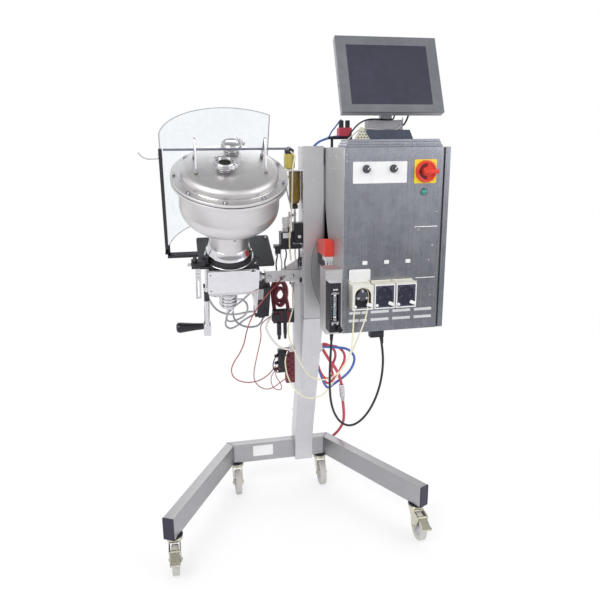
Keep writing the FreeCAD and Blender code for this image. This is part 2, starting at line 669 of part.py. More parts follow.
def make_cabinet():
    """A folded box with an open front, its front panel, a stepped cover and the controller inside."""
    shell = box(CABINET_LEFT, CABINET_RIGHT, PANEL_BACK, CABINET_BACK, CABINET_BOTTOM, CABINET_TOP)
    inside = box(CABINET_LEFT + SHEET, CABINET_RIGHT - SHEET, PANEL_BACK - 1, CABINET_BACK - SHEET,
                 CABINET_BOTTOM + SHEET, CABINET_TOP - SHEET)
    flange = box(CABINET_RIGHT - FLANGE_WIDTH, CABINET_RIGHT, CABINET_FRONT, PANEL_BACK + SHEET,
                 CABINET_BOTTOM, CABINET_TOP)
    strap = box(MAST_RIGHT, CABINET_LEFT, MAST_UPPER_FRONT + 10, MAST_UPPER_BACK - 8,
                CABINET_BOTTOM + MARGIN, CABINET_TOP - MARGIN)
    side_box = box(SIDE_BOX_LEFT, CABINET_LEFT + SHEET / 2, PANEL_BACK, PANEL_BACK + SIDE_BOX_DEPTH,
                   CABINET_BOTTOM, CABINET_BOTTOM + SIDE_BOX_HEIGHT)
    side_inside = box(SIDE_BOX_LEFT + SHEET, CABINET_LEFT + SHEET, PANEL_BACK + SHEET, PANEL_BACK + SIDE_BOX_DEPTH + 1,
                      CABINET_BOTTOM + SHEET, CABINET_BOTTOM + SIDE_BOX_HEIGHT - SHEET)
    add("cabinet_shell", fused([shell.cut(inside), flange, strap, side_box.cut(side_inside)]))

    panel = box(CABINET_LEFT, PANEL_RIGHT, CABINET_FRONT, PANEL_BACK, CABINET_BOTTOM, CABINET_TOP)
    cuts = []
    for column in range(LOUVRE_COLUMNS):
        x = CABINET_LEFT + LOUVRE_FIRST_X + column * LOUVRE_PITCH_X
        for row in range(LOUVRE_ROWS):
            z = CABINET_BOTTOM + LOUVRE_TOP_Z - row * LOUVRE_PITCH_Z
            cuts.append(box(x - LOUVRE_LENGTH / 2, x + LOUVRE_LENGTH / 2, CABINET_FRONT - 1, PANEL_BACK + 1,
                            z - LOUVRE_HEIGHT / 2, z + LOUVRE_HEIGHT / 2))
    for knob_x in KNOB_XS:
        x = CABINET_LEFT + knob_x
        z = CABINET_BOTTOM + KNOB_Z
        cuts.append(rod(KNOB_SHAFT_RADIUS + RUNNING, (x, CABINET_FRONT - 1, z), (x, PANEL_BACK + 1, z)))
    switch = (CABINET_LEFT + SWITCH_X, CABINET_BOTTOM + SWITCH_Z)
    cuts.append(rod(KNOB_SHAFT_RADIUS + RUNNING, (switch[0], CABINET_FRONT - 1, switch[1]),
                    (switch[0], PANEL_BACK + 1, switch[1])))
    for index in range(PUMP_COUNT):
        x, z = pump_centre(index)
        cuts.append(rod(ROTOR_SHAFT_RADIUS + RUNNING, (x, CABINET_FRONT - 1, z), (x, PANEL_BACK + 1, z)))
    add("front_panel", panel.cut(cuts))

    steps = []
    cover_left = CABINET_LEFT + COVER_LEFT
    cover_back = CABINET_FRONT + COVER_DEPTH
    for step in range(COVER_STEPS):
        inset = COVER_STEP_INSET * (step + 1)
        z = CABINET_TOP + step * COVER_STEP_HEIGHT
        steps.append(box(cover_left + inset, PANEL_RIGHT - inset, CABINET_FRONT + inset, cover_back - inset,
                         z, z + COVER_STEP_HEIGHT))
    inset = COVER_STEPS * COVER_STEP_INSET + SHEET
    cover_inside = box(cover_left + inset, PANEL_RIGHT - inset, CABINET_FRONT + inset, cover_back - inset,
                       CABINET_TOP - 1, COVER_TOP - SHEET)
    add("cabinet_cover", fused(steps).cut(cover_inside))

    middle_x = (CABINET_LEFT + CABINET_RIGHT) / 2
    half = CONTROLLER_WIDTH / 2
    back = CABINET_BACK - SHEET
    add("controller_unit", box(middle_x - half, middle_x + half, back - CONTROLLER_DEPTH, back,
                               CABINET_TOP - MARGIN - CONTROLLER_HEIGHT, CABINET_TOP - MARGIN))


def make_controls():
    """Two selector knobs and the main switch on its plate."""
    z = CABINET_BOTTOM + KNOB_Z
    for name, knob_x in zip(("selector_knob_left", "selector_knob_right"), KNOB_XS):
        x = CABINET_LEFT + knob_x
        front = CABINET_FRONT - SIDE
        skirt = rod(KNOB_RADIUS, (x, front - 5, z), (x, front, z))
        grip = rod(KNOB_RADIUS - 3, (x, front - KNOB_LENGTH, z), (x, front - 5, z))
        pointer = box(x - 1.5, x + 1.5, front - KNOB_LENGTH, front - 5, z, z + KNOB_RADIUS - 1)
        shaft = rod(KNOB_SHAFT_RADIUS, (x, front - 1, z), (x, PANEL_BACK + 6, z))
        add(name, fused([skirt, grip, pointer, shaft]))

    x = CABINET_LEFT + SWITCH_X
    z = CABINET_BOTTOM + SWITCH_Z
    half = SWITCH_PLATE / 2
    plate_front = CABINET_FRONT - 2.5
    plate = box(x - half, x + half, plate_front, CABINET_FRONT, z - half, z + half)
    hole = rod(KNOB_SHAFT_RADIUS + RUNNING, (x, plate_front - 1, z), (x, CABINET_FRONT + 1, z))
    add("switch_plate", plate.cut(hole))
    back = plate_front - SIDE
    disc = rod(SWITCH_DISC_RADIUS, (x, back - 6, z), (x, back, z))
    boss = rod(SWITCH_DISC_RADIUS - 6, (x, back - SWITCH_DISC_LENGTH, z), (x, back - 6, z))
    lever = box(x - 16, x + SWITCH_DISC_RADIUS + 3, back - SWITCH_DISC_LENGTH - 12, back - 6, z - 5, z + 5)
    shaft = rod(KNOB_SHAFT_RADIUS, (x, back - 1, z), (x, PANEL_BACK + 6, z))
    add("switch_handle", fused([disc, boss, lever, shaft]))


# ---------------------------------------------------------------- peristaltic pumps
PUMP_FRONT = CABINET_FRONT - PUMP_DEPTH
ROTOR_FRONT = PUMP_FRONT + ROTOR_SETBACK
COVER_HINGE_Y = CABINET_FRONT - COVER_HINGE_RADIUS - 1
COVER_HINGE_Z = CABINET_BOTTOM + PUMP_Z + PUMP_ABOVE + SIDE + COVER_HINGE_RADIUS
COVER_EAR = 6.0


def make_pump_head(index):
    """A head with an open front, a round tube track and two ears for the cover's pin."""
    x, z = pump_centre(index)
    half_w = PUMP_WIDTH / 2
    head = box(x - half_w, x + half_w, PUMP_FRONT, CABINET_FRONT, z - PUMP_BELOW, z + PUMP_ABOVE)
    front = PUMP_FRONT - 1
    back = ROTOR_FRONT + ROTOR_LENGTH + 4
    track = ROTOR_RADIUS + TUBE_TRACK
    cavity = rod(track, (x, front, z), (x, back, z))
    slot = box(x - track, x + track, front, back, z - PUMP_BELOW - 1, z)
    bore = rod(ROTOR_SHAFT_RADIUS + RUNNING, (x, front, z), (x, CABINET_FRONT + 1, z))
    pieces = [head.cut([cavity, slot, bore])]
    for side in (-1, 1):
        outer = x + side * half_w
        inner = outer - side * COVER_EAR
        pieces.append(box(min(inner, outer), max(inner, outer), COVER_HINGE_Y - COVER_HINGE_RADIUS, CABINET_FRONT,
                          z + PUMP_ABOVE - 1, COVER_HINGE_Z + COVER_HINGE_RADIUS))
    pieces.append(rod(COVER_PIN_RADIUS, (x - half_w + 1, COVER_HINGE_Y, COVER_HINGE_Z),
                      (x + half_w - 1, COVER_HINGE_Y, COVER_HINGE_Z)))
    return fused(pieces)


def make_rotor(index):
    """Three rollers between two discs on the drive shaft."""
    x, z = pump_centre(index)
    back = ROTOR_FRONT + ROTOR_LENGTH
    disc = ROTOR_RADIUS - 3
    pieces = [rod(disc, (x, ROTOR_FRONT, z), (x, ROTOR_FRONT + ROTOR_DISC, z)),
              rod(disc, (x, back - ROTOR_DISC, z), (x, back, z)),
              rod(ROTOR_SHAFT_RADIUS, (x, ROTOR_FRONT, z), (x, PANEL_BACK + 8, z))]
    for turn in range(3):
        angle = math.radians(90 + 120 * turn)
        reach = ROTOR_RADIUS - ROLLER_RADIUS
        px = x + reach * math.cos(angle)
        pz = z + reach * math.sin(angle)
        pieces.append(rod(ROLLER_RADIUS, (px, ROTOR_FRONT + 1, pz), (px, back - 1, pz)))
    return fused(pieces)


def make_pump_cover(index):
    """The flap on top of a head, hinged at its back edge; the first one stands open."""
    x, z = pump_centre(index)
    half_w = PUMP_WIDTH / 2
    top = COVER_HINGE_Z - COVER_HINGE_RADIUS
    ear_corner = COVER_HINGE_RADIUS * math.sqrt(2)
    flap_back = COVER_HINGE_Y - ear_corner - SIDE
    flap = box(x - half_w - COVER_OVERHANG, x + half_w + COVER_OVERHANG, PUMP_FRONT, flap_back,
               top, top + COVER_THICKNESS)
    barrel_half = half_w - COVER_EAR - SIDE
    neck = box(x - barrel_half, x + barrel_half, flap_back - 1, COVER_HINGE_Y, top, top + COVER_THICKNESS)
    barrel = rod(COVER_HINGE_RADIUS, (x - barrel_half, COVER_HINGE_Y, COVER_HINGE_Z),
                 (x + barrel_half, COVER_HINGE_Y, COVER_HINGE_Z))
    hole = rod(COVER_PIN_RADIUS + RUNNING, (x - half_w, COVER_HINGE_Y, COVER_HINGE_Z),
               (x + half_w, COVER_HINGE_Y, COVER_HINGE_Z))
    cover = fused([flap, neck, barrel]).cut(hole)
    if index == 0:
        cover.rotate(V(x, COVER_HINGE_Y, COVER_HINGE_Z), V(1, 0, 0), -COVER_OPEN_ANGLE)
    return cover


def make_pumps():
    add("pump_heads", *[make_pump_head(i) for i in range(PUMP_COUNT)])
    for index in range(PUMP_COUNT):
        add("pump_rotor_%d" % (index + 1), make_rotor(index))
        add("pump_cover_%d" % (index + 1), make_pump_cover(index))


# ---------------------------------------------------------------- flow meter and connectors on the side wall
METER_LEFT = SIDE_BOX_LEFT
METER_RIGHT = METER_LEFT + METER_WIDTH
METER_BACK = PANEL_BACK
METER_FRONT = METER_BACK - METER_DEPTH
METER_TOP = METER_BOTTOM + METER_HEIGHT
METER_KNOB_AT = (METER_LEFT + METER_KNOB_X, METER_BOTTOM + METER_KNOB_Z)


def make_meter():
    """The flow meter: a block with a glass tube in its front groove, and the valve knob below."""
    middle = (METER_LEFT + METER_RIGHT) / 2
    block = box(METER_LEFT, METER_RIGHT, METER_FRONT, METER_BACK, METER_BOTTOM, METER_TOP)
    tube_bottom = METER_BOTTOM + METER_FOOT
    tube_top = METER_TOP - METER_HEAD
    groove = box(middle - METER_TUBE_RADIUS - 3, middle + METER_TUBE_RADIUS + 3, METER_FRONT - 1,
                 METER_FRONT + 2 * METER_TUBE_RADIUS + 4, tube_bottom, tube_top)
    knob_x, knob_z = METER_KNOB_AT
    stem_hole = rod(METER_STEM_RADIUS + RUNNING, (knob_x, METER_FRONT - 1, knob_z),
                    (knob_x, METER_FRONT + 14, knob_z))
    tube_y = METER_FRONT + METER_TUBE_RADIUS + 2
    tube = rod(METER_TUBE_RADIUS, (middle, tube_y, tube_bottom), (middle, tube_y, tube_top))
    add("flow_meter", block.cut([groove, stem_hole]), tube)
    back = METER_FRONT - SIDE
    knob = rod(METER_KNOB_RADIUS, (knob_x, back - METER_KNOB_LENGTH, knob_z), (knob_x, back, knob_z))
    stem = rod(METER_STEM_RADIUS, (knob_x, back - 1, knob_z), (knob_x, METER_FRONT + 12, knob_z))
    add("flow_meter_knob", fused([knob, stem]))


def make_wall_connectors():
    """The connector hood and its fittings on the side wall, the gland under the side box and the power inlet."""
    hood_left = CABINET_LEFT - HOOD_DEPTH
    hood_top = HOOD_Z + HOOD_HEIGHT
    hood_points = [(hood_left, HOOD_Z), (CABINET_LEFT, HOOD_Z), (CABINET_LEFT, hood_top - HOOD_CORNER),
                   (CABINET_LEFT - HOOD_CORNER, hood_top), (hood_left, hood_top)]
    hood = prism([(x, HOOD_FRONT, z) for x, z in hood_points], (0, HOOD_LENGTH, 0))
    fittings = box(hood_left + FITTING_INSET, CABINET_LEFT, HOOD_FRONT + FITTING_INSET,
                   HOOD_FRONT + HOOD_LENGTH - FITTING_INSET, HOOD_Z - FITTING_HEIGHT, HOOD_Z)
    x, y, z = POWER_ROUTE[0]
    gland = fused([barb(POWER_RADIUS + BARB_WALL, POWER_ROUTE[0], V(*POWER_ROUTE[1]), 16),
                   rod(POWER_RADIUS + 2 * BARB_WALL, (x, y, CABINET_BOTTOM - 10), (x, y, CABINET_BOTTOM))])
    x, y, z = POWER_ROUTE[-1]
    inlet = box(x - INLET_WIDTH + 6, x + 6, PANEL_BACK, PANEL_BACK + INLET_DEPTH, z + 6, CABINET_BOTTOM)
    inlet_barb = barb(POWER_RADIUS + BARB_WALL, POWER_ROUTE[-1], V(*POWER_ROUTE[-2]), 12)
    add("wall_connectors", fused([hood, fittings]), gland, fused([inlet, inlet_barb]))


# ---------------------------------------------------------------- monitor
MONITOR_X = (CABINET_LEFT + CABINET_RIGHT) / 2 + MONITOR_OFFSET_X
HOUSING_WIDTH = SCREEN_WIDTH + 2 * BEZEL_SIDE
HOUSING_HEIGHT = SCREEN_HEIGHT + 2 * BEZEL_TOP
MONITOR_FRAME = FreeCAD.Placement(V(MONITOR_X, MONITOR_CENTRE_Y, MONITOR_CENTRE_Z),
                                  FreeCAD.Rotation(V(1, 0, 0), -MONITOR_TILT))
HINGE_LOCAL = V(0, MONITOR_THICKNESS + HINGE_SETBACK, -HOUSING_HEIGHT / 2 + HINGE_UP)
MONITOR_HINGE = MONITOR_FRAME.multVec(HINGE_LOCAL)


def make_monitor():
    """A flat housing with a glass screen, on two ears round the pin of the pedestal's neck."""
    half_w = HOUSING_WIDTH / 2
    half_h = HOUSING_HEIGHT / 2
    back_points = [(-half_w, 0, -half_h), (-half_w, MONITOR_RIM, -half_h),
                   (-half_w, MONITOR_THICKNESS, -half_h + MONITOR_SLOPE),
                   (-half_w, MONITOR_THICKNESS, half_h - MONITOR_SLOPE), (-half_w, MONITOR_RIM, half_h),
                   (-half_w, 0, half_h)]
    housing = prism(back_points, (HOUSING_WIDTH, 0, 0))
    wall = MONITOR_WALL
    pocket = box(-half_w + wall, half_w - wall, wall + SCREEN_THICKNESS, MONITOR_RIM, -half_h + wall, half_h - wall)
    window = box(-SCREEN_WIDTH / 2, SCREEN_WIDTH / 2, -1, wall + SCREEN_THICKNESS + 1,
                 -SCREEN_HEIGHT / 2, SCREEN_HEIGHT / 2)
    ears = []
    hinge = HINGE_LOCAL
    for side in (-1, 1):
        near = side * (HINGE_LUG / 2 + SIDE)
        far = side * (HINGE_LUG / 2 + SIDE + HINGE_EAR)
        ear = box(min(near, far), max(near, far), MONITOR_THICKNESS - 2, hinge.y, hinge.z - HINGE_EYE,
                  hinge.z + HINGE_EYE)
        eye = rod(HINGE_EYE, (min(near, far), hinge.y, hinge.z), (max(near, far), hinge.y, hinge.z))
        ears += [ear, eye]
    pin_hole = rod(HINGE_PIN_RADIUS + RUNNING, (-half_w, hinge.y, hinge.z), (half_w, hinge.y, hinge.z))
    housing = fused([housing.cut([pocket, window])] + ears).cut(pin_hole)
    screen = box(-SCREEN_WIDTH / 2, SCREEN_WIDTH / 2, SCREEN_RECESS, wall + SCREEN_THICKNESS,
                 -SCREEN_HEIGHT / 2, SCREEN_HEIGHT / 2)
    for name, shape in (("monitor_housing", housing), ("monitor_screen", screen)):
        shape.Placement = MONITOR_FRAME
        add(name, shape)

    half_w = PEDESTAL_WIDTH / 2
    centre_y = MONITOR_HINGE.y + PEDESTAL_OFFSET_Y
    outline = [(MONITOR_X - half_w, COVER_TOP), (MONITOR_X + half_w, COVER_TOP),
               (MONITOR_X + half_w - PEDESTAL_SLOPE, COVER_TOP + PEDESTAL_HEIGHT),
               (MONITOR_X - half_w + PEDESTAL_SLOPE, COVER_TOP + PEDESTAL_HEIGHT)]
    foot = prism([(x, centre_y - PEDESTAL_DEPTH / 2, z) for x, z in outline], (0, PEDESTAL_DEPTH, 0))
    base = box(MONITOR_X - half_w, MONITOR_X + half_w, centre_y - PEDESTAL_DEPTH / 2, centre_y + PEDESTAL_DEPTH / 2,
               CABINET_TOP, COVER_TOP)
    neck_top = MONITOR_HINGE.z - NECK_DROP
    round_end = NECK_DEPTH / 2
    neck_y = MONITOR_HINGE.y + NECK_OFFSET_Y
    left = MONITOR_X - NECK_WIDTH / 2 + round_end
    right = MONITOR_X + NECK_WIDTH / 2 - round_end
    neck_bottom = COVER_TOP + PEDESTAL_HEIGHT
    neck = [box(left, right, neck_y - round_end, neck_y + round_end, neck_bottom, neck_top),
            rod(round_end, (left, neck_y, neck_bottom), (left, neck_y, neck_top)),
            rod(round_end, (right, neck_y, neck_bottom), (right, neck_y, neck_top))]
    lug_half = HINGE_LUG / 2
    y, z = MONITOR_HINGE.y, MONITOR_HINGE.z
    lug = [box(MONITOR_X - lug_half, MONITOR_X + lug_half, y - HINGE_EYE + 3, y + HINGE_EYE - 3, neck_top - 1, z),
           rod(HINGE_EYE - 3, (MONITOR_X - lug_half, y, z), (MONITOR_X + lug_half, y, z))]
    pin_half = lug_half + SIDE + HINGE_EAR
    pin = rod(HINGE_PIN_RADIUS, (MONITOR_X - pin_half, y, z), (MONITOR_X + pin_half, y, z))
    add("monitor_pedestal", fused([base, foot] + neck + lug + [pin]))


# ---------------------------------------------------------------- drum
DRUM_INSIDE = DRUM_RADIUS - DRUM_WALL
CORNER_X = DRUM_RADIUS - DRUM_CORNER
CORNER_IN = DRUM_CORNER - DRUM_WALL
DRUM_TOP_Z = DRUM_FLANGE_Z + DRUM_FLANGE_THICKNESS
LID_Z = DRUM_TOP_Z + GASKET_THICKNESS
LID_TOP_Z = LID_Z + LID_FLANGE_THICKNESS
LID_CROWN_Z = LID_TOP_Z + LID_DOME_HEIGHT


def lid_height(radius):
    """Top of the crown at a distance from the drum axis."""
    return LID_CROWN_Z - LID_CROWN + math.sqrt(LID_CROWN ** 2 - radius ** 2)


def make_drum():
    """The drum, turned in three parts that are welded together: the bowl with its flange, the neck and the shaft."""
    corner_bottom = DRUM_LOWER_Z - DRUM_CORNER
    neck_inside = NECK_RADIUS - DRUM_WALL
    bowl = turned([(DRUM_INSIDE, DRUM_TOP_Z), (DRUM_FLANGE_RADIUS, DRUM_TOP_Z), (DRUM_FLANGE_RADIUS, DRUM_FLANGE_Z),
                   (DRUM_RADIUS, DRUM_FLANGE_Z), (DRUM_RADIUS, DRUM_LOWER_Z),
                   (arc_middle((CORNER_X, DRUM_LOWER_Z), DRUM_CORNER, -45), (CORNER_X, corner_bottom)),
                   (NECK_RADIUS, NECK_TOP_Z), (neck_inside, NECK_TOP_Z), (neck_inside, NECK_TOP_Z + DRUM_WALL),
                   (CORNER_X, corner_bottom + DRUM_WALL),
                   (arc_middle((CORNER_X, DRUM_LOWER_Z), CORNER_IN, -45), (DRUM_INSIDE, DRUM_LOWER_Z))])
    neck_floor = NECK_BOTTOM_Z + DRUM_WALL
    neck = turned([(NECK_RADIUS, NECK_TOP_Z), (NECK_RADIUS, NECK_BOTTOM_Z), (DRUM_SHAFT_BORE, NECK_BOTTOM_Z),
                   (DRUM_SHAFT_BORE, neck_floor), (neck_inside, neck_floor), (neck_inside, NECK_TOP_Z)])
    shaft = ring(DRUM_SHAFT_RADIUS, DRUM_SHAFT_BORE, (0, 0, DRUM_SHAFT_END_Z), (0, 0, NECK_BOTTOM_Z))
    holes = [rod(LID_BOLT_RADIUS + RUNNING, (x, y, DRUM_FLANGE_Z - 1), (x, y, DRUM_TOP_Z + 1))
             for x, y in bolt_places()]
    add_tilted("drum_body", bowl.cut(holes), neck, shaft)


def bolt_places():
    places = []
    for index in range(LID_BOLTS):
        angle = math.radians(LID_BOLT_FIRST + index * 360 / LID_BOLTS)
        places.append((LID_BOLT_CIRCLE / 2 * math.cos(angle), LID_BOLT_CIRCLE / 2 * math.sin(angle)))
    return places


def make_lid():
    """The domed lid with its two ports, the gasket, the flange bolts, the handles and the clamps."""
    edge_x = LID_DOME_RADIUS - LID_EDGE_RADIUS
    reach = LID_CROWN - LID_EDGE_RADIUS
    edge_z = LID_CROWN_Z - LID_CROWN + math.sqrt(reach ** 2 - edge_x ** 2)
    slope = math.degrees(math.acos(edge_x / reach))

    def shell_line(wall):
        radius = LID_EDGE_RADIUS - wall
        return [(0, LID_CROWN_Z - wall),
                (arc_middle((0, LID_CROWN_Z - LID_CROWN), LID_CROWN - wall, (90 + slope) / 2),
                 arc_middle((edge_x, edge_z), radius, slope)),
                (arc_middle((edge_x, edge_z), radius, slope / 2), (edge_x + radius, edge_z))]

    outer = shell_line(0) + [(LID_DOME_RADIUS, LID_TOP_Z), (DRUM_FLANGE_RADIUS, LID_TOP_Z),
                             (DRUM_FLANGE_RADIUS, LID_Z), (0, LID_Z)]
    inner = shell_line(LID_WALL) + [(LID_DOME_RADIUS - LID_WALL, LID_Z - 1), (0, LID_Z - 1)]
    lid = turned(outer)
    ports = []
    bores = []
    for x, y in PORT_PLACES:
        foot = lid_height(math.hypot(x, y)) - LID_WALL - 6
        tube = rod(PORT_TUBE, (x, y, foot), (x, y, PORT_TOP_Z))
        ferrule = rod(PORT_FERRULE, (x, y, PORT_TOP_Z - FERRULE_THICKNESS), (x, y, PORT_TOP_Z))
        ports += [tube, ferrule]
        bores.append(rod(PORT_BORE, (x, y, foot - 5), (x, y, PORT_TOP_Z + 1)))
    inside = turned(inner)
    holes = [rod(LID_BOLT_RADIUS + RUNNING, (x, y, LID_Z - 1), (x, y, LID_TOP_Z + 1)) for x, y in bolt_places()]
    dome = fused([lid] + ports).cut(inside).cut(bores + holes)
    add_tilted("drum_lid", dome)
    add_tilted("lid_gasket", ring(GASKET_OUTER, GASKET_INNER, (0, 0, DRUM_TOP_Z), (0, 0, LID_Z)))

    bolts = []
    for x, y in bolt_places():
        shank = rod(LID_BOLT_RADIUS, (x, y, DRUM_FLANGE_Z - LID_NUT_HEIGHT - 3), (x, y, LID_TOP_Z))
        head = rod(LID_NUT_RADIUS, (x, y, LID_TOP_Z), (x, y, LID_TOP_Z + LID_NUT_HEIGHT))
        nut = rod(LID_NUT_RADIUS, (x, y, DRUM_FLANGE_Z - LID_NUT_HEIGHT), (x, y, DRUM_FLANGE_Z))
        bolts.append(fused([shank, head, nut]))
    add_tilted("lid_bolts", *bolts)

    handles = []
    for side in (-1, 1):
        x = side * HANDLE_X
        foot_z = lid_height(math.hypot(HANDLE_X, HANDLE_HALF_FOOT)) - HANDLE_SINK
        top = foot_z + HANDLE_HEIGHT
        handles.append(bent_rod([(x, -HANDLE_HALF_FOOT, foot_z), (x, 0, top), (x, HANDLE_HALF_FOOT, foot_z)],
                                HANDLE_ROD, HANDLE_BEND))
    dome_solid = turned(shell_line(0) + [(LID_DOME_RADIUS, LID_TOP_Z), (0, LID_TOP_Z)])
    add_tilted("lid_handles", *[handle.cut(dome_solid) for handle in handles])

    clamps = []
    for index, (x, y) in enumerate(PORT_PLACES):
        middle = PORT_TOP_Z - FERRULE_THICKNESS / 2
        low = middle - CLAMP_HEIGHT / 2
        high = middle + CLAMP_HEIGHT / 2
        band = ring(CLAMP_OUTER, PORT_FERRULE, (x, y, low), (x, y, high))
        lip = ring(PORT_FERRULE + 1, PORT_TUBE, (x, y, low), (x, y, PORT_TOP_Z - FERRULE_THICKNESS))
        bolt_x = x + CLAMP_OUTER + 5
        ears = [box(x + CLAMP_OUTER - 3, bolt_x + 5, at, at + CLAMP_EAR, low, high)
                for at in (y - CLAMP_GAP / 2 - CLAMP_EAR, y + CLAMP_GAP / 2)]
        screw_end = y + CLAMP_GAP / 2 + 2 * CLAMP_EAR
        screw = rod(CLAMP_SCREW, (bolt_x, screw_end - CLAMP_SCREW_LENGTH, middle), (bolt_x, screw_end, middle))
        nut_end = y - CLAMP_GAP / 2 - CLAMP_EAR
        nut = rod(CLAMP_NUT, (bolt_x, nut_end - CLAMP_NUT_LENGTH, middle), (bolt_x, nut_end, middle))
        wing = box(bolt_x - CLAMP_WING / 2, bolt_x + CLAMP_WING / 2, nut_end - CLAMP_NUT_LENGTH + 2, nut_end - 5,
                   middle - 2, middle + 2)
        clamps.append(fused([band, lip] + ears + [screw, nut, wing]))
        if index == 1:
            clamps.append(rod(PORT_FERRULE, (x, y, PORT_TOP_Z), (x, y, PORT_TOP_Z + CAP_HEIGHT)))
    add_tilted("port_clamps", *clamps)

    foot_z = lid_height(math.hypot(HANDLE_X, HANDLE_HALF_FOOT)) - HANDLE_SINK
    lean = math.atan2(HANDLE_HALF_FOOT, HANDLE_HEIGHT)
    drop = foot_z + HANDLE_HEIGHT - LID_ROD_Z
    rod_y = drop * math.tan(lean) - (HANDLE_ROD + LID_ROD_RADIUS) / math.cos(lean)
    bar = rod(LID_ROD_RADIUS, (LID_ROD_LEFT, rod_y, LID_ROD_Z), (LID_ROD_RIGHT, rod_y, LID_ROD_Z))
    knob = rod(LID_ROD_RADIUS + 2, (LID_ROD_RIGHT - 6, rod_y, LID_ROD_Z), (LID_ROD_RIGHT, rod_y, LID_ROD_Z))
    add_tilted("lid_rod", fused([bar, knob]))


# ---------------------------------------------------------------- drive under the drum
CHASSIS_TOP = CHASSIS_Z + CHASSIS_THICKNESS
GEARBOX_TOP = CHASSIS_Z
MOTOR_LEFT = GEARBOX_RIGHT + MOTOR_PLATE
MOTOR_RIGHT = MOTOR_LEFT + MOTOR_WIDTH
MOTOR_BOTTOM = MOTOR_TOP - MOTOR_LENGTH


def make_chassis():
    """The black carrier plate with its two arms to the guard, the worm case and the seal ring."""
    plate = box(CHASSIS_LEFT, CHASSIS_RIGHT, CHASSIS_FRONT, CHASSIS_BACK, CHASSIS_Z, CHASSIS_TOP)
    corners = [edge for edge in plate.Edges if abs(edge.Vertexes[0].Z - edge.Vertexes[-1].Z) > 1]
    plate = plate.makeFillet(CHASSIS_CORNER, corners)
    back_arm = box(-CHASSIS_ARM, CHASSIS_ARM, CHASSIS_BACK - 20, GUARD_RADIUS + 5, CHASSIS_Z, CHASSIS_TOP)
    back_tab = box(-CHASSIS_ARM, CHASSIS_ARM, GUARD_RADIUS - 10, GUARD_RADIUS + 5, CHASSIS_Z, GUARD_BOTTOM + 22)
    left_arm = box(-GUARD_RADIUS - 5, CHASSIS_LEFT + 20, CHASSIS_ARM / 2, CHASSIS_ARM * 1.5, CHASSIS_Z, CHASSIS_TOP)
    left_tab = box(-GUARD_RADIUS - 5, -GUARD_RADIUS + 10, CHASSIS_ARM + 2, CHASSIS_ARM * 1.5, CHASSIS_Z,
                   GUARD_BOTTOM + 22)
    shell = rod(GUARD_RADIUS, (0, 0, CHASSIS_Z - 1), (0, 0, GUARD_TOP))
    arms = fused([back_arm, back_tab, left_arm, left_tab]).common(shell)
    clamp = box(CHASSIS_LEFT - 24, CHASSIS_LEFT + 2, -50, -20, CHASSIS_Z - 4, CHASSIS_TOP + 6)
    clamp_knob = rod(7, (CHASSIS_LEFT - 12, -35, CHASSIS_TOP + 5), (CHASSIS_LEFT - 12, -35, CHASSIS_TOP + 20))
    case = rod(WORM_CASE_RADIUS, (CRANK_X, CRANK_Y, CHASSIS_TOP - 1), (CRANK_X, CRANK_Y, CRANK_ROD_TOP + 5))
    case_side = box(CRANK_X - 24, CRANK_X - 4, CRANK_Y - 16, CRANK_Y + 4, CHASSIS_TOP - 1, CRANK_ROD_TOP + 1)
    neck_hole = rod(NECK_RADIUS + SIDE, (0, 0, CHASSIS_Z - 1), (0, 0, CHASSIS_TOP + 1))
    rod_hole = rod(CRANK_ROD_RADIUS + 1, (CRANK_X, CRANK_Y, CHASSIS_Z - 5), (CRANK_X, CRANK_Y, CHASSIS_TOP))
    rod_bore = rod(CRANK_ROD_RADIUS + RUNNING, (CRANK_X, CRANK_Y, CHASSIS_TOP - 1),
                   (CRANK_X, CRANK_Y, CRANK_ROD_TOP + SIDE))
    chassis = fused([plate, arms, clamp, clamp_knob, case, case_side]).cut([neck_hole, rod_hole, rod_bore])
    seal = ring(SEAL_OUTER, NECK_RADIUS + SIDE, (0, 0, CHASSIS_TOP), (0, 0, CHASSIS_TOP + SEAL_HEIGHT))
    add_tilted("drive_chassis", chassis, seal)


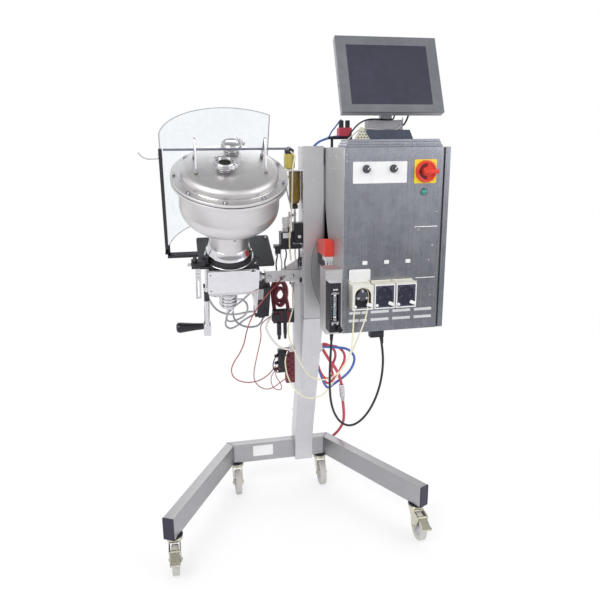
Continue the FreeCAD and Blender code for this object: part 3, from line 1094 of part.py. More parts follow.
def make_gearbox():
    """The hollow gearbox with its bright front plate, the crank rod's lug and the scale plate."""
    wall = GEARBOX_WALL
    body = box(GEARBOX_LEFT, GEARBOX_RIGHT, GEARBOX_FRONT, GEARBOX_BACK, GEARBOX_BOTTOM, GEARBOX_TOP)
    inside = box(GEARBOX_LEFT + wall, GEARBOX_RIGHT - wall, GEARBOX_FRONT + wall, GEARBOX_BACK - wall,
                 GEARBOX_BOTTOM + wall, GEARBOX_TOP - wall)
    front = box(GEARBOX_LEFT - 3, GEARBOX_RIGHT + MOTOR_PLATE, GEARBOX_FRONT - GEARBOX_PLATE, GEARBOX_FRONT,
                GEARBOX_BOTTOM + 14, GEARBOX_TOP - 2)
    lug = box(CRANK_X - 12, GEARBOX_LEFT, CRANK_Y - 12, CRANK_Y + 12, CRANK_LUG_BOTTOM, CRANK_LUG_BOTTOM + 12)
    shaft_hole = rod(DRUM_SHAFT_RADIUS + 1, (0, 0, GEARBOX_BOTTOM - 1), (0, 0, GEARBOX_TOP + 1))
    tilt_bore = rod(TILT_SHAFT_RADIUS + RUNNING, (TILT_SHAFT_END, 0, 0), (GEARBOX_RIGHT + 1, 0, 0))
    neck_room = rod(NECK_RADIUS + SIDE, (0, 0, NECK_BOTTOM_Z - 2), (0, 0, GEARBOX_TOP + 1))
    crank_bore = rod(CRANK_ROD_RADIUS + RUNNING, (CRANK_X, CRANK_Y, CRANK_LUG_BOTTOM - 1),
                     (CRANK_X, CRANK_Y, GEARBOX_TOP))
    rod_room = rod(CRANK_ROD_RADIUS + RUNNING, (CRANK_X, CRANK_Y, CRANK_LUG_BOTTOM + 1),
                   (CRANK_X, CRANK_Y, GEARBOX_TOP + 1))
    body = body.cut([inside, rod_room])
    gearbox = fused([body, front, lug]).cut([shaft_hole, tilt_bore, neck_room, crank_bore])
    add_tilted("gearbox", gearbox)


def make_motor():
    """The drive motor on its flange plate, which the tilt shaft passes through."""
    plate = box(GEARBOX_RIGHT, MOTOR_LEFT, GEARBOX_FRONT, GEARBOX_BACK, MOTOR_PLATE_BOTTOM, GEARBOX_TOP - 2)
    hole = rod(TILT_SHAFT_RADIUS + SIDE, (GEARBOX_RIGHT - 1, 0, 0), (MOTOR_LEFT + 1, 0, 0))
    half = MOTOR_WIDTH / 2
    body = box(MOTOR_LEFT, MOTOR_RIGHT, -half, half, MOTOR_BOTTOM, MOTOR_TOP)
    end = V(*UNION_ROUTE[-1])
    before = V(*UNION_ROUTE[-2])
    socket = barb(HOSE_RADIUS + BARB_WALL, UNION_ROUTE[-1], before, 32)
    socket_block = box(end.x - 4, end.x + 20, end.y - 38, end.y - 12, MOTOR_BOTTOM - 10, MOTOR_BOTTOM)
    add_tilted("drive_motor", fused([plate.cut(hole), body, socket_block, socket]))


def make_union():
    """The ribbed rotary union on the end of the drum's hollow shaft."""
    collar = rod(UNION_COLLAR, (0, 0, UNION_TOP), (0, 0, GEARBOX_BOTTOM))
    body = rod(UNION_RADIUS - 3, (0, 0, UNION_BOTTOM), (0, 0, UNION_TOP))
    pieces = [collar, body]
    pitch = (UNION_TOP - UNION_BOTTOM) / UNION_RIBS
    for index in range(UNION_RIBS):
        low = UNION_BOTTOM + index * pitch + 3
        pieces.append(rod(UNION_RADIUS, (0, 0, low), (0, 0, low + pitch - 6)))
    pieces.append(barb(HOSE_RADIUS + BARB_WALL, UNION_ROUTE[0], V(*UNION_ROUTE[1]), 16))
    bore = rod(DRUM_SHAFT_RADIUS + RUNNING, (0, 0, DRUM_SHAFT_END_Z - 2), (0, 0, GEARBOX_BOTTOM + 1))
    add_tilted("rotary_union", fused(pieces).cut(bore))


def make_bracket():
    """The arm on the mast with its gusset, end flange and the fixed shaft that the tilting unit turns on."""
    half_y = BRACKET_ARM_DEPTH / 2
    half_z = BRACKET_ARM_HEIGHT / 2
    y, z = TILT_AXIS_Y, TILT_AXIS_Z
    arm = box(BRACKET_LEFT, MAST_LEFT, y - half_y, y + half_y, z - half_z, z + half_z)
    gusset = prism([(BRACKET_GUSSET_LEFT, y - 4, z + half_z - 1), (MAST_LEFT, y - 4, z + half_z - 1),
                    (MAST_LEFT, y - 4, z + BRACKET_GUSSET_HEIGHT)], (0, 8, 0))
    flange = box(MAST_LEFT - BRACKET_FLANGE, MAST_LEFT, y - half_y - 4, y + half_y + 20, z - half_z - 12,
                 z + BRACKET_GUSSET_HEIGHT + 12)
    shaft = rod(TILT_SHAFT_RADIUS, (TILT_AXIS_X + TILT_SHAFT_END, y, z), (BRACKET_LEFT + 1, y, z))
    collar_start = TILT_AXIS_X + MOTOR_LEFT + 3
    collar = rod(COLLAR_RADIUS, (collar_start, y, z), (collar_start + COLLAR_LENGTH, y, z))
    start = SENSOR_ROUTE[0]
    plug = barb(SENSOR_RADIUS + BARB_WALL, start, V(*SENSOR_ROUTE[1]), 22)
    add("tilt_bracket", fused([arm, gusset, flange, shaft, collar, plug]))


def make_crank():
    """The crank rod with its sleeve, tube and hub, and the grip on its spindle."""
    x, y = CRANK_X, CRANK_Y
    bar = rod(CRANK_ROD_RADIUS, (x, y, CRANK_ROD_BOTTOM), (x, y, CRANK_ROD_TOP))
    sleeve = rod(CRANK_SLEEVE_RADIUS, (x, y, CRANK_TUBE_TOP), (x, y, CRANK_SLEEVE_TOP))
    tube = rod(CRANK_TUBE_RADIUS, (x, y, CRANK_TUBE_BOTTOM), (x, y, CRANK_TUBE_TOP))
    half = CRANK_HUB / 2
    hub = box(x - half, x + half, y - half, y + half, CRANK_TUBE_BOTTOM - 2 * CRANK_HUB, CRANK_TUBE_BOTTOM)
    grip_z = CRANK_TUBE_BOTTOM - half
    spindle = rod(GRIP_SPINDLE_RADIUS, (x - half - GRIP_LENGTH + 12, y, grip_z), (x - half, y, grip_z))
    add_tilted("crank_rod", fused([bar, sleeve, tube, hub, spindle]))

    near = GRIP_RADIUS_NEAR
    far = GRIP_RADIUS_FAR
    bore = GRIP_SPINDLE_RADIUS + RUNNING
    start = SIDE
    depth = GRIP_LENGTH - 12 + SIDE
    profile = [(bore, start), (near - 2, start), (near, start + 4), (far, GRIP_LENGTH - 20),
               ((far - 2, GRIP_LENGTH - 8), (far - 9, GRIP_LENGTH - 1.5)), (0, GRIP_LENGTH), (0, depth),
               (bore, depth)]
    grip = turned(profile)
    grip.Placement = FreeCAD.Placement(V(x - half, y, grip_z), FreeCAD.Rotation(V(0, 1, 0), -90))
    add_tilted("crank_grip", grip)


def make_guard():
    """The clear sheet bent round the back of the drum, its dark post and the wire handle."""
    sheet = ring(GUARD_RADIUS + GUARD_THICKNESS, GUARD_RADIUS, (0, 0, GUARD_BOTTOM), (0, 0, GUARD_TOP))
    reach = 2 * GUARD_RADIUS
    arc = math.radians((GUARD_START + GUARD_END) / 2)
    span = math.radians((GUARD_END - GUARD_START) / 2)
    fan = [(0, 0, GUARD_BOTTOM - 1)]
    for step in (-1, 0, 1):
        angle = arc + step * span
        length = reach if step else reach / math.cos(span)
        fan.append((length * math.cos(angle), length * math.sin(angle), GUARD_BOTTOM - 1))
    sheet = sheet.common(prism(fan, (0, 0, GUARD_TOP - GUARD_BOTTOM + 2)))
    post_inside = GUARD_RADIUS - GUARD_THICKNESS
    post = box(post_inside, post_inside + GUARD_POST_DEPTH, 0, GUARD_POST, GUARD_BOTTOM, GUARD_POST_TOP)
    post.Placement = FreeCAD.Placement(V(0, 0, 0), FreeCAD.Rotation(V(0, 0, 1), GUARD_END))
    handle = bent_rod([(-GUARD_RADIUS - out, GUARD_HANDLE_Y, GUARD_POST_TOP - drop)
                       for out, drop in GUARD_HANDLE_BENDS], GUARD_WIRE, GUARD_WIRE_BEND)
    add_tilted("guard_sheet", sheet, fused([post, handle]))


# ---------------------------------------------------------------- services on the mast
def make_filters():
    """Two air filters on a bracket plate: a round bowl above it, a long bowl below it."""
    bottom = FILTER_PLATE_Z
    top = bottom + FILTER_PLATE_THICKNESS
    plate = box(MAST_LEFT - FILTER_REACH, MAST_LEFT, FILTER_PLATE_FRONT, FILTER_PLATE_BACK, bottom, top)
    x = MAST_LEFT - FILTER_UPPER_REACH
    y = FILTER_UPPER_Y
    bowl_top = top + UPPER_BOWL_HEIGHT
    upper = fused([rod(UPPER_BOWL_RADIUS, (x, y, top), (x, y, bowl_top)),
                   rod(UPPER_CAP_RADIUS, (x, y, bowl_top), (x, y, bowl_top + UPPER_CAP_HEIGHT))])
    x = MAST_LEFT - FILTER_LOWER_REACH
    y = FILTER_LOWER_Y
    bowl_bottom = bottom - LOWER_BOWL_HEIGHT
    cap_bottom = bowl_bottom - LOWER_CAP_HEIGHT
    lower = fused([rod(LOWER_BOWL_RADIUS, (x, y, bowl_bottom), (x, y, bottom)),
                   rod(LOWER_CAP_RADIUS, (x, y, cap_bottom), (x, y, bowl_bottom)),
                   rod(FILTER_PIPE_RADIUS, (x, y, VALVE_TOP), (x, y, cap_bottom))])
    add("air_filters", plate, upper, lower)


def make_service_blocks():
    """The valve block and the connector blocks beside the mast and its cable duct."""
    duct_left = MAST_LEFT - DUCT_WIDTH
    duct_back = DUCT_FRONT + DUCT_DEPTH
    duct_middle = (DUCT_FRONT + duct_back) / 2
    valve_middle = (VALVE_FRONT + VALVE_BACK) / 2
    valve = box(VALVE_LEFT, MAST_LEFT, VALVE_FRONT, VALVE_BACK, VALVE_TOP - VALVE_HEIGHT, VALVE_TOP)
    valve_cap = rod(VALVE_CAP_RADIUS, (SERVICE_X, valve_middle, VALVE_TOP),
                    (SERVICE_X, valve_middle, VALVE_TOP + VALVE_CAP_HEIGHT))

    bank = box(BANK_LEFT, duct_left, DUCT_FRONT + 2, duct_back - 4, BANK_BOTTOM, BANK_TOP)
    bank_plug = rod(BANK_PLUG_RADIUS, (SERVICE_X, duct_middle, BANK_BOTTOM - BANK_PLUG_LENGTH),
                    (SERVICE_X, duct_middle, BANK_BOTTOM + 1))

    tube_start = PUMP_TUBE_ROUTE[0]
    tube_block = box(TUBE_BLOCK_LEFT, duct_left, TUBE_BLOCK_FRONT, duct_middle, tube_start[2] + 8, TUBE_BLOCK_TOP)
    tube_barb = barb(PUMP_TUBE_RADIUS + BARB_WALL, tube_start, V(*PUMP_TUBE_ROUTE[1]), 10)

    manifold = box(MANIFOLD_LEFT, duct_left, DUCT_FRONT, duct_back - 8, MANIFOLD_BOTTOM, MANIFOLD_TOP)
    tube_end = PUMP_TUBE_ROUTE[-1]
    manifold_barb = barb(PUMP_TUBE_RADIUS + BARB_WALL, tube_end, V(*PUMP_TUBE_ROUTE[-2]), 14)
    port_left = tube_end[0] + 6
    manifold_port = box(port_left, port_left + MANIFOLD_PORT_WIDTH, DUCT_FRONT - 10, DUCT_FRONT + 10,
                        MANIFOLD_TOP - 8, MANIFOLD_TOP - 8 + MANIFOLD_PORT_HEIGHT)
    cluster = box(CLUSTER_LEFT, MANIFOLD_LEFT, DUCT_FRONT + 4, duct_back - 12, CLUSTER_BOTTOM, CLUSTER_TOP)
    sensor_plug = barb(SENSOR_RADIUS + BARB_WALL, SENSOR_ROUTE[-1], V(*SENSOR_ROUTE[-2]), 14)

    drain_x, drain_y, drain_z = DRAIN_UPPER_ROUTE[0]
    drain_low = drain_z - 4
    drain_front = drain_y - DRAIN_BLOCK_DEPTH / 2
    drain = box(MAST_RIGHT, MAST_RIGHT + DRAIN_BLOCK_WIDTH, drain_front, drain_front + DRAIN_BLOCK_DEPTH,
                drain_low, drain_low + DRAIN_BLOCK_HEIGHT)
    drain_barb = barb(HOSE_OUTER + BARB_WALL, DRAIN_UPPER_ROUTE[0], V(*DRAIN_UPPER_ROUTE[1]), 14)
    mast_side = box(MAST_LEFT, MAST_RIGHT, drain_y - 40, drain_y + 40, drain_z - 40, drain_z + 40)

    x, y, z = DRAIN_LOWER_ROUTE[-1]
    outlet = box(x - 6 - OUTLET_LENGTH, x - 6, 0, y + 12, z - DRAIN_BLOCK_HEIGHT / 2, z + DRAIN_BLOCK_HEIGHT / 2)
    outlet_barb = barb(HOSE_OUTER + BARB_WALL, DRAIN_LOWER_ROUTE[-1], V(*DRAIN_LOWER_ROUTE[-2]), 10)
    add("service_blocks", fused([valve, valve_cap]), fused([bank, bank_plug]), fused([tube_block, tube_barb]),
        fused([manifold, manifold_port, manifold_barb, cluster, sensor_plug]),
        fused([drain, drain_barb]).cut(mast_side), fused([outlet, outlet_barb]))


# ---------------------------------------------------------------- cords
def barb(radius, at, toward, length):
    """A round spigot whose end face meets the end of a cord."""
    start = V(*at)
    back = (start - toward).normalize()
    return Part.makeCylinder(radius, length, start, back)


def path_wire(points, bend=None):
    """Straight runs joined by tangent arcs, and the arcs' radii; each arc is as large as its runs allow."""
    corners = [V(*p) for p in points]
    edges = []
    radii = []
    here = corners[0]
    for index in range(1, len(corners) - 1):
        before, corner, after = corners[index - 1:index + 2]
        coming = (corner - before).normalize()
        going = (after - corner).normalize()
        half_turn = coming.getAngle(going) / 2
        run = min((corner - before).Length, (after - corner).Length)
        radius = bend or 0.45 * run / math.tan(half_turn)
        radii.append(radius)
        back = radius * math.tan(half_turn)
        start = corner - coming * back
        end = corner + going * back
        inward = (going - coming).normalize()
        middle = corner + inward * (radius / math.cos(half_turn) - radius)
        edges.append(Part.makeLine(here, start))
        edges.append(Part.Arc(start, middle, end).toShape())
        here = end
    edges.append(Part.makeLine(here, corners[-1]))
    return Part.Wire(edges), radii


def swept(wire, radius, start, toward):
    section = Part.Wire(Part.makeCircle(radius, start, toward - start))
    solid = wire.makePipeShell([section], True, False)
    return solid


def bent_rod(points, radius, bend):
    wire, _ = path_wire(points, bend)
    return swept(wire, radius, V(*points[0]), V(*points[1]))


def cord(name, points, radius):
    """One stretch of a cord, with its radii printed and its volume compared with section times length."""
    wire, radii = path_wire(points)
    solid = swept(wire, radius, V(*points[0]), V(*points[1]))
    expected = math.pi * radius ** 2 * wire.Length
    runs = [(V(*b) - V(*a)).Length for a, b in zip(points, points[1:])]
    print("%s: length %.0f, smallest radius %.0f, runs %.0f to %.0f, volume ratio %.4f"
          % (name, wire.Length, min(radii), min(runs), max(runs), solid.Volume / expected))
    return solid


def make_cords():
    add("power_cable", cord("power_cable", POWER_ROUTE, POWER_RADIUS))
    add("pump_tube", cord("pump_tube", PUMP_TUBE_ROUTE, PUMP_TUBE_RADIUS))
    add("sensor_cable", cord("sensor_cable", SENSOR_ROUTE, SENSOR_RADIUS))
    add("drain_hose", cord("drain_hose upper", DRAIN_UPPER_ROUTE, HOSE_OUTER),
        cord("drain_hose lower", DRAIN_LOWER_ROUTE, HOSE_OUTER))
    top = V(*DRAIN_UPPER_ROUTE[-1])
    low = V(*DRAIN_LOWER_ROUTE[0])
    inset = (low - top).normalize() * 6
    sleeve = rod(COUPLING_RADIUS, top + inset, low - inset)
    ends = [barb(HOSE_OUTER + BARB_WALL, top, V(*DRAIN_UPPER_ROUTE[-2]), 12),
            barb(HOSE_OUTER + BARB_WALL, low, V(*DRAIN_LOWER_ROUTE[1]), 12)]
    add("hose_coupling", fused([sleeve] + ends))
    add_tilted("union_hose", cord("union_hose", UNION_ROUTE, HOSE_RADIUS))


# ---------------------------------------------------------------- all nodes, moved to the origin and written
CORD_NODES = ("power_cable", "pump_tube", "sensor_cable", "drain_hose", "hose_coupling", "union_hose")


def make_all():
    make_base()
    make_casters()
    make_mast()
    make_cabinet()
    make_controls()
    make_pumps()
    make_meter()
    make_wall_connectors()
    make_monitor()
    make_drum()
    make_lid()
    make_chassis()
    make_gearbox()
    make_motor()
    make_union()
    make_bracket()
    make_crank()
    make_guard()
    make_filters()
    make_service_blocks()
    make_cords()


def joint_points():
    """Joint and mount points in the machine frame, by name."""
    points = {"caster_" + name: (x, y, CASTER_HEIGHT) for name, (x, y, _) in CASTERS.items()}
    for name, (x, y, _) in CASTERS.items():
        points["axle_" + name] = (x, y - WHEEL_TRAIL, AXLE_Z)
        points["pedal_" + name] = (x, y + PEDAL_PIVOT[0], PEDAL_PIVOT[1])
    points["tilt"] = (TILT_AXIS_X, TILT_AXIS_Y, TILT_AXIS_Z)
    points["crank"] = tuple(TILT_FRAME.multVec(V(CRANK_X, CRANK_Y, CRANK_TUBE_BOTTOM)))
    grip_z = CRANK_TUBE_BOTTOM - CRANK_HUB / 2
    points["crank_grip"] = tuple(TILT_FRAME.multVec(V(CRANK_X - CRANK_HUB / 2, CRANK_Y, grip_z)))
    points["lid_port"] = tuple(TILT_FRAME.multVec(V(PORT_PLACES[0][0], PORT_PLACES[0][1], PORT_TOP_Z)))
    points["monitor"] = tuple(MONITOR_HINGE)
    for index in range(PUMP_COUNT):
        x, z = pump_centre(index)
        points["rotor_%d" % (index + 1)] = (x, ROTOR_FRONT, z)
        points["cover_%d" % (index + 1)] = (x, COVER_HINGE_Y, COVER_HINGE_Z)
    for side, knob_x in zip(("left", "right"), KNOB_XS):
        points["knob_" + side] = (CABINET_LEFT + knob_x, CABINET_FRONT, CABINET_BOTTOM + KNOB_Z)
    points["switch"] = (CABINET_LEFT + SWITCH_X, CABINET_FRONT, CABINET_BOTTOM + SWITCH_Z)
    points["meter_knob"] = (METER_KNOB_AT[0], METER_FRONT, METER_KNOB_AT[1])
    return points


make_all()
body = Part.makeCompound([shape for name, shape in NODES.items() if name not in CORD_NODES])
bounds = body.optimalBoundingBox(False)
shift = V(-(bounds.XMin + bounds.XMax) / 2, -(bounds.YMin + bounds.YMax) / 2, -bounds.ZMin)
os.makedirs("parts", exist_ok=True)
for name, shape in NODES.items():
    moved = shape.copy()
    moved.translate(shift)
    moved.exportStep("parts/" + name + ".step")
print("shift", shift, "size", bounds.XLength, bounds.YLength, bounds.ZLength)
for name, point in joint_points().items():
    print("point %s %.5f %.5f %.5f" % ((name,) + tuple((V(*point) + shift) / 1000)))
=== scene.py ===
# %% [markdown]
# # A wheeled bioreactor with a tilting drum
#
# This lesson dresses a finished CAD model for a studio picture. The CAD model is the frame: it gives every joint and
# mounting point and the sizes of the main parts. Only small details, such as screws, rims and leads, are drawn here,
# inside the room that the CAD model leaves for them. Each cell makes one piece or one finish.
# The pieces are modelled the way a person would do it by hand, from a primitive that is cut, inset, spun and
# bevelled, and the code prints what came out, so that a reader can follow along.

# %% Load the frame
import json
import math
import bpy
from mathutils import Matrix, Vector


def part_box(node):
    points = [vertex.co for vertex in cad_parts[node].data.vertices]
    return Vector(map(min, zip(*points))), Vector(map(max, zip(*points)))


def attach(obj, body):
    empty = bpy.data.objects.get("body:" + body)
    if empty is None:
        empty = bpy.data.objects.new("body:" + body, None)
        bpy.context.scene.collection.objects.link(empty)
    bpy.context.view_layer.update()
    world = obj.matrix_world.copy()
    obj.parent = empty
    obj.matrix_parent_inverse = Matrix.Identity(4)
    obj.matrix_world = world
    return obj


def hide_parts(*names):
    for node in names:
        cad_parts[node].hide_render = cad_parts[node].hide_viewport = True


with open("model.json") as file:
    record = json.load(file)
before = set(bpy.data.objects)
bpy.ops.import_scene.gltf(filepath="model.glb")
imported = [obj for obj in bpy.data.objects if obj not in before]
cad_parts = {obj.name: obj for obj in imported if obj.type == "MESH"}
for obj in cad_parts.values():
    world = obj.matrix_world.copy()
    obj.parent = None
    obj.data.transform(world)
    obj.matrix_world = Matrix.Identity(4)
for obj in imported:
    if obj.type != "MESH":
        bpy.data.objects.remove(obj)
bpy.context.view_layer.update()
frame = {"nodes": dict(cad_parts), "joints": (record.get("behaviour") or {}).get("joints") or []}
scene = bpy.context.scene

# %% [markdown]
# ## Two drawings, one frame
#
# The machine was drawn with X = 0 at the middle of the base's cross bar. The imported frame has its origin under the
# middle of the whole machine. `at` turns a point of the drawing, in millimetres, into a place in the frame. The shift
# is the mast's box in the frame less the mast's place in the drawing. The drum and its drive lean forward about the
# tilt shaft: they are drawn upright about the drum's axis, and `LEAN` carries them to their place at the end.

# %% From the drawing to the frame
MAST_X, MAST_FRONT = 0.1005, -0.255        # the mast's middle and its front in the drawing, in metres
mast_low, mast_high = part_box("mast_upper")
ORIGIN = Vector(((mast_low.x + mast_high.x) / 2 - MAST_X, mast_low.y - MAST_FRONT, 0))
joints = {joint["name"]: joint for joint in frame["joints"]}


def at(x, y, z):
    """A point of the machine's drawing, in millimetres, as a place in the frame."""
    return ORIGIN + Vector((x, y, z)) / 1000


def mm(x, y, z):
    """A point of the upright drawing of the tilting unit."""
    return Vector((x, y, z)) / 1000


spin_axis = joints["drum_spin"]["axis"]
LEAN = (Matrix.Translation(joints["drum_tilt"]["pos_m"])
        @ Matrix.Rotation(math.atan2(-spin_axis[1], spin_axis[2]), 4, "X"))
print("origin", [round(v, 4) for v in ORIGIN], "lean", round(math.degrees(LEAN.to_euler().x), 2))

# %% [markdown]
# ## Camera
#
# The camera stands a little left of the machine and looks down and to the right, from about two metres away. A
# matrix built from yaw, pitch and roll is easier to read than Euler angles that depend on their order. The lens is
# short enough to show how the near casters are larger than the far ones.

# %% Camera
CAMERA_PLACE, CAMERA_LENS = (-0.38353, -2.04222, 1.4054), 36.22
CAMERA_YAW, CAMERA_PITCH, CAMERA_ROLL = (math.radians(v) for v in (11.65, 14.37, 0.49))
camera = bpy.data.objects.new("camera", bpy.data.cameras.new("camera"))
scene.collection.objects.link(camera)
camera.data.lens = CAMERA_LENS
camera.data.clip_start = 0.05
camera.matrix_world = (Matrix.Translation(CAMERA_PLACE)
                       @ Matrix.Rotation(-CAMERA_YAW, 4, "Z")
                       @ Matrix.Rotation(math.pi / 2 - CAMERA_PITCH, 4, "X")
                       @ Matrix.Rotation(-CAMERA_ROLL, 4, "Z"))
scene.camera = camera
scene.view_settings.view_transform = "Standard"
print("camera at", [round(v, 3) for v in camera.location])

# %% [markdown]
# ## Cords
#
# Hoses and cables come first, because their room decides where other things can be. A hose could be a mesh swept
# along sampled points, but then every bend is frozen. An open NURBS spline with a few given control points
# bends the way a real hose does, and its bevel gives the thickness. The order and the end points are set after the
# points exist, because the spline ignores them before that.

# %% How a cord is made
cords = {}


def cord(name, route, diameter, length, body, place=None, far_end="object", **lie):
    """A hose or cable along a route in metres: from the drawing, or from the upright one when place is LEAN."""
    line = bpy.data.curves.new(name, "CURVE")
    line.dimensions = "3D"
    line.bevel_depth = 1.0
    line.bevel_resolution = 5
    line.resolution_u = 10
    line.use_fill_caps = True
    spline = line.splines.new("NURBS")
    spline.points.add(len(route) - 1)
    shift = place or Matrix.Translation(ORIGIN)
    for point, corner in zip(spline.points, route):
        point.co = (*(shift @ Vector(corner)), 1)
        point.radius = diameter / 2
    spline.order_u = 3
    spline.use_endpoint_u = True
    piece = bpy.data.objects.new(name, line)
    scene.collection.objects.link(piece)
    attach(piece, body)
    cords[name] = piece
    return piece


# %% [markdown]
# The mains cable is the stiffest: it leaves a gland under the side box, hangs down and comes back up to the inlet
# under the cabinet. The long thin pump tube is limp silicone. It falls from its fitting on the mast, comes up in
# front of the cabinet, goes round the rotor of the first pump and goes back down in two wide loops.

# %% The long cords
power = cord("power_lead", [
    (0.122, -0.430, 0.784), (0.120, -0.429, 0.740), (0.118, -0.427, 0.690), (0.117, -0.424, 0.640),
    (0.118, -0.422, 0.590), (0.122, -0.420, 0.540), (0.134, -0.420, 0.494), (0.157, -0.420, 0.456),
    (0.188, -0.421, 0.438), (0.221, -0.423, 0.447), (0.254, -0.426, 0.480), (0.280, -0.433, 0.534),
    (0.294, -0.446, 0.600), (0.296, -0.461, 0.668), (0.290, -0.472, 0.728), (0.280, -0.476, 0.778),
], 0.008, 0.760, "root", stiffness="medium", lay="hanging")
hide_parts("power_cable")

pump_line = cord("pump_line", [
    (0.033, -0.199, 0.905), (0.038, -0.201, 0.868), (0.036, -0.206, 0.832), (0.022, -0.215, 0.795),
    (0.010, -0.225, 0.762), (0.009, -0.235, 0.735), (0.015, -0.244, 0.708), (0.026, -0.257, 0.680),
    (0.040, -0.277, 0.646), (0.054, -0.303, 0.617), (0.072, -0.336, 0.601), (0.097, -0.373, 0.602),
    (0.121, -0.412, 0.620), (0.142, -0.454, 0.658), (0.155, -0.490, 0.699), (0.165, -0.516, 0.750),
    (0.168, -0.523, 0.801), (0.169, -0.523, 0.850), (0.1724, -0.522, 0.898), (0.1724, -0.522, 0.9508),
    (0.1862, -0.522, 0.9646), (0.2058, -0.522, 0.9646), (0.2196, -0.522, 0.9508), (0.218, -0.522, 0.900),
    (0.208, -0.523, 0.857), (0.193, -0.518, 0.812), (0.177, -0.505, 0.760), (0.163, -0.486, 0.714),
    (0.149, -0.462, 0.674), (0.137, -0.437, 0.634), (0.126, -0.408, 0.590), (0.113, -0.380, 0.556),
    (0.096, -0.350, 0.529), (0.075, -0.320, 0.511), (0.049, -0.290, 0.509), (0.024, -0.262, 0.528),
    (0.007, -0.240, 0.561), (-0.001, -0.222, 0.600), (0.001, -0.207, 0.636), (0.012, -0.201, 0.659),
], 0.0048, 1.649, "root", stiffness="limp", lay="hanging")
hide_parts("pump_tube")

sensor = cord("sensor_lead", [
    (-0.016, -0.262, 0.950), (-0.036, -0.284, 0.940), (-0.064, -0.301, 0.917), (-0.094, -0.312, 0.889),
    (-0.120, -0.312, 0.853), (-0.140, -0.304, 0.812), (-0.152, -0.294, 0.769), (-0.159, -0.283, 0.727),
    (-0.174, -0.270, 0.688), (-0.194, -0.258, 0.655), (-0.206, -0.248, 0.622), (-0.200, -0.238, 0.590),
    (-0.177, -0.228, 0.566), (-0.143, -0.219, 0.553), (-0.108, -0.210, 0.551), (-0.076, -0.200, 0.560),
    (-0.050, -0.190, 0.577), (-0.031, -0.184, 0.597),
], 0.004, 0.649, "root", stiffness="medium", lay="hanging")
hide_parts("sensor_cable")
print(len(cords), "long cords")

# %% [markdown]
# The drain hose comes out behind the mast, ends in a coupling, and goes on down behind the base. The hose of the
# rotary union hangs in a U below the drive, so it rides with the tilting unit and not with the mast.

# %% The short hoses
drain_upper = cord("drain_hose_upper", [
    (0.158, -0.161, 0.640), (0.181, -0.157, 0.598), (0.208, -0.152, 0.561), (0.230, -0.145, 0.520),
    (0.240, -0.138, 0.480),
], 0.012, 0.183, "root", stiffness="stiff", lay="hanging")
drain_lower = cord("drain_hose_lower", [
    (0.252, -0.118, 0.400), (0.260, -0.107, 0.352), (0.267, -0.086, 0.306), (0.270, -0.056, 0.264),
    (0.264, -0.022, 0.222), (0.248, 0.008, 0.182), (0.216, 0.022, 0.155), (0.178, 0.024, 0.148),
], 0.012, 0.340, "root", stiffness="stiff", lay="hanging")
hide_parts("drain_hose")
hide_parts("drain_hose")

union_line = cord("union_line", [
    (-0.044, 0.006, -0.088), (-0.066, 0.018, -0.092), (-0.078, 0.044, -0.102), (-0.074, 0.074, -0.126),
    (-0.066, 0.092, -0.166), (-0.052, 0.098, -0.212), (-0.026, 0.100, -0.250), (0.012, 0.099, -0.268),
    (0.052, 0.092, -0.262), (0.084, 0.076, -0.238), (0.106, 0.050, -0.214), (0.116, 0.018, -0.198),
], 0.008, 0.432, "tilt_unit", place=LEAN, stiffness="medium", lay="hanging")
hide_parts("union_hose")
print(len(cords), "cords with CAD solids")

# %% [markdown]
# ## Tools of the bench
#
# The same few moves make most pieces: add a primitive at its size and place, pick some faces, change them, soften
# the edges. Operators act on whatever is selected, so each helper starts by selecting nothing. A finished piece has
# its place in its mesh and its object at the origin, so that a pattern on object coordinates stays put.

# %% Selecting, naming and placing
def alone(piece):
    """Makes this piece the only selected and the active one."""
    bpy.ops.object.select_all(action="DESELECT")
    piece.select_set(True)
    bpy.context.view_layer.objects.active = piece
    return piece


def settled(piece, name=None):
    """Moves the object's place, turn and size into its mesh."""
    alone(piece)
    bpy.ops.object.transform_apply(location=True, rotation=True, scale=True)
    if name:
        piece.name = piece.data.name = name
    return piece


def placed(piece, matrix):
    """Carries a finished piece to its place, such as with the tilting unit's lean."""
    piece.matrix_world = matrix
    return settled(piece)


def joined(name, pieces):
    """Several meshes become one piece."""
    bpy.ops.object.select_all(action="DESELECT")
    for piece in pieces:
        piece.select_set(True)
    bpy.context.view_layer.objects.active = pieces[0]
    if len(pieces) > 1:
        bpy.ops.object.join()
    pieces[0].name = pieces[0].data.name = name
    return pieces[0]


def copied(piece, name, matrix=Matrix()):
    """A copy with its own mesh, carried by a matrix."""
    twin = piece.copy()
    twin.data = piece.data.copy()
    twin.name = twin.data.name = name
    scene.collection.objects.link(twin)
    return placed(twin, matrix)


def shifted(x=0.0, y=0.0, z=0.0):
    """A move in millimetres."""
    return Matrix.Translation((x / 1000, y / 1000, z / 1000))


# %% Primitives
def block(name, low, high):
    """A box between two corners."""
    bpy.ops.object.select_all(action="DESELECT")
    low, high = Vector(low), Vector(high)
    bpy.ops.mesh.primitive_cube_add(size=1, location=(low + high) / 2)
    bpy.context.object.scale = high - low
    return settled(bpy.context.object, name)


def rod(name, radius, start, end, sides=40, tip=None):
    """A round bar from one point to another, in millimetres for its radius; tip gives it another radius there."""
    bpy.ops.object.select_all(action="DESELECT")
    start, end = Vector(start), Vector(end)
    line = end - start
    bpy.ops.mesh.primitive_cone_add(vertices=sides, radius1=radius / 1000,
                                    radius2=(radius if tip is None else tip) / 1000, depth=line.length,
                                    location=(start + end) / 2, rotation=line.to_track_quat("Z", "Y").to_euler())
    return settled(bpy.context.object, name)


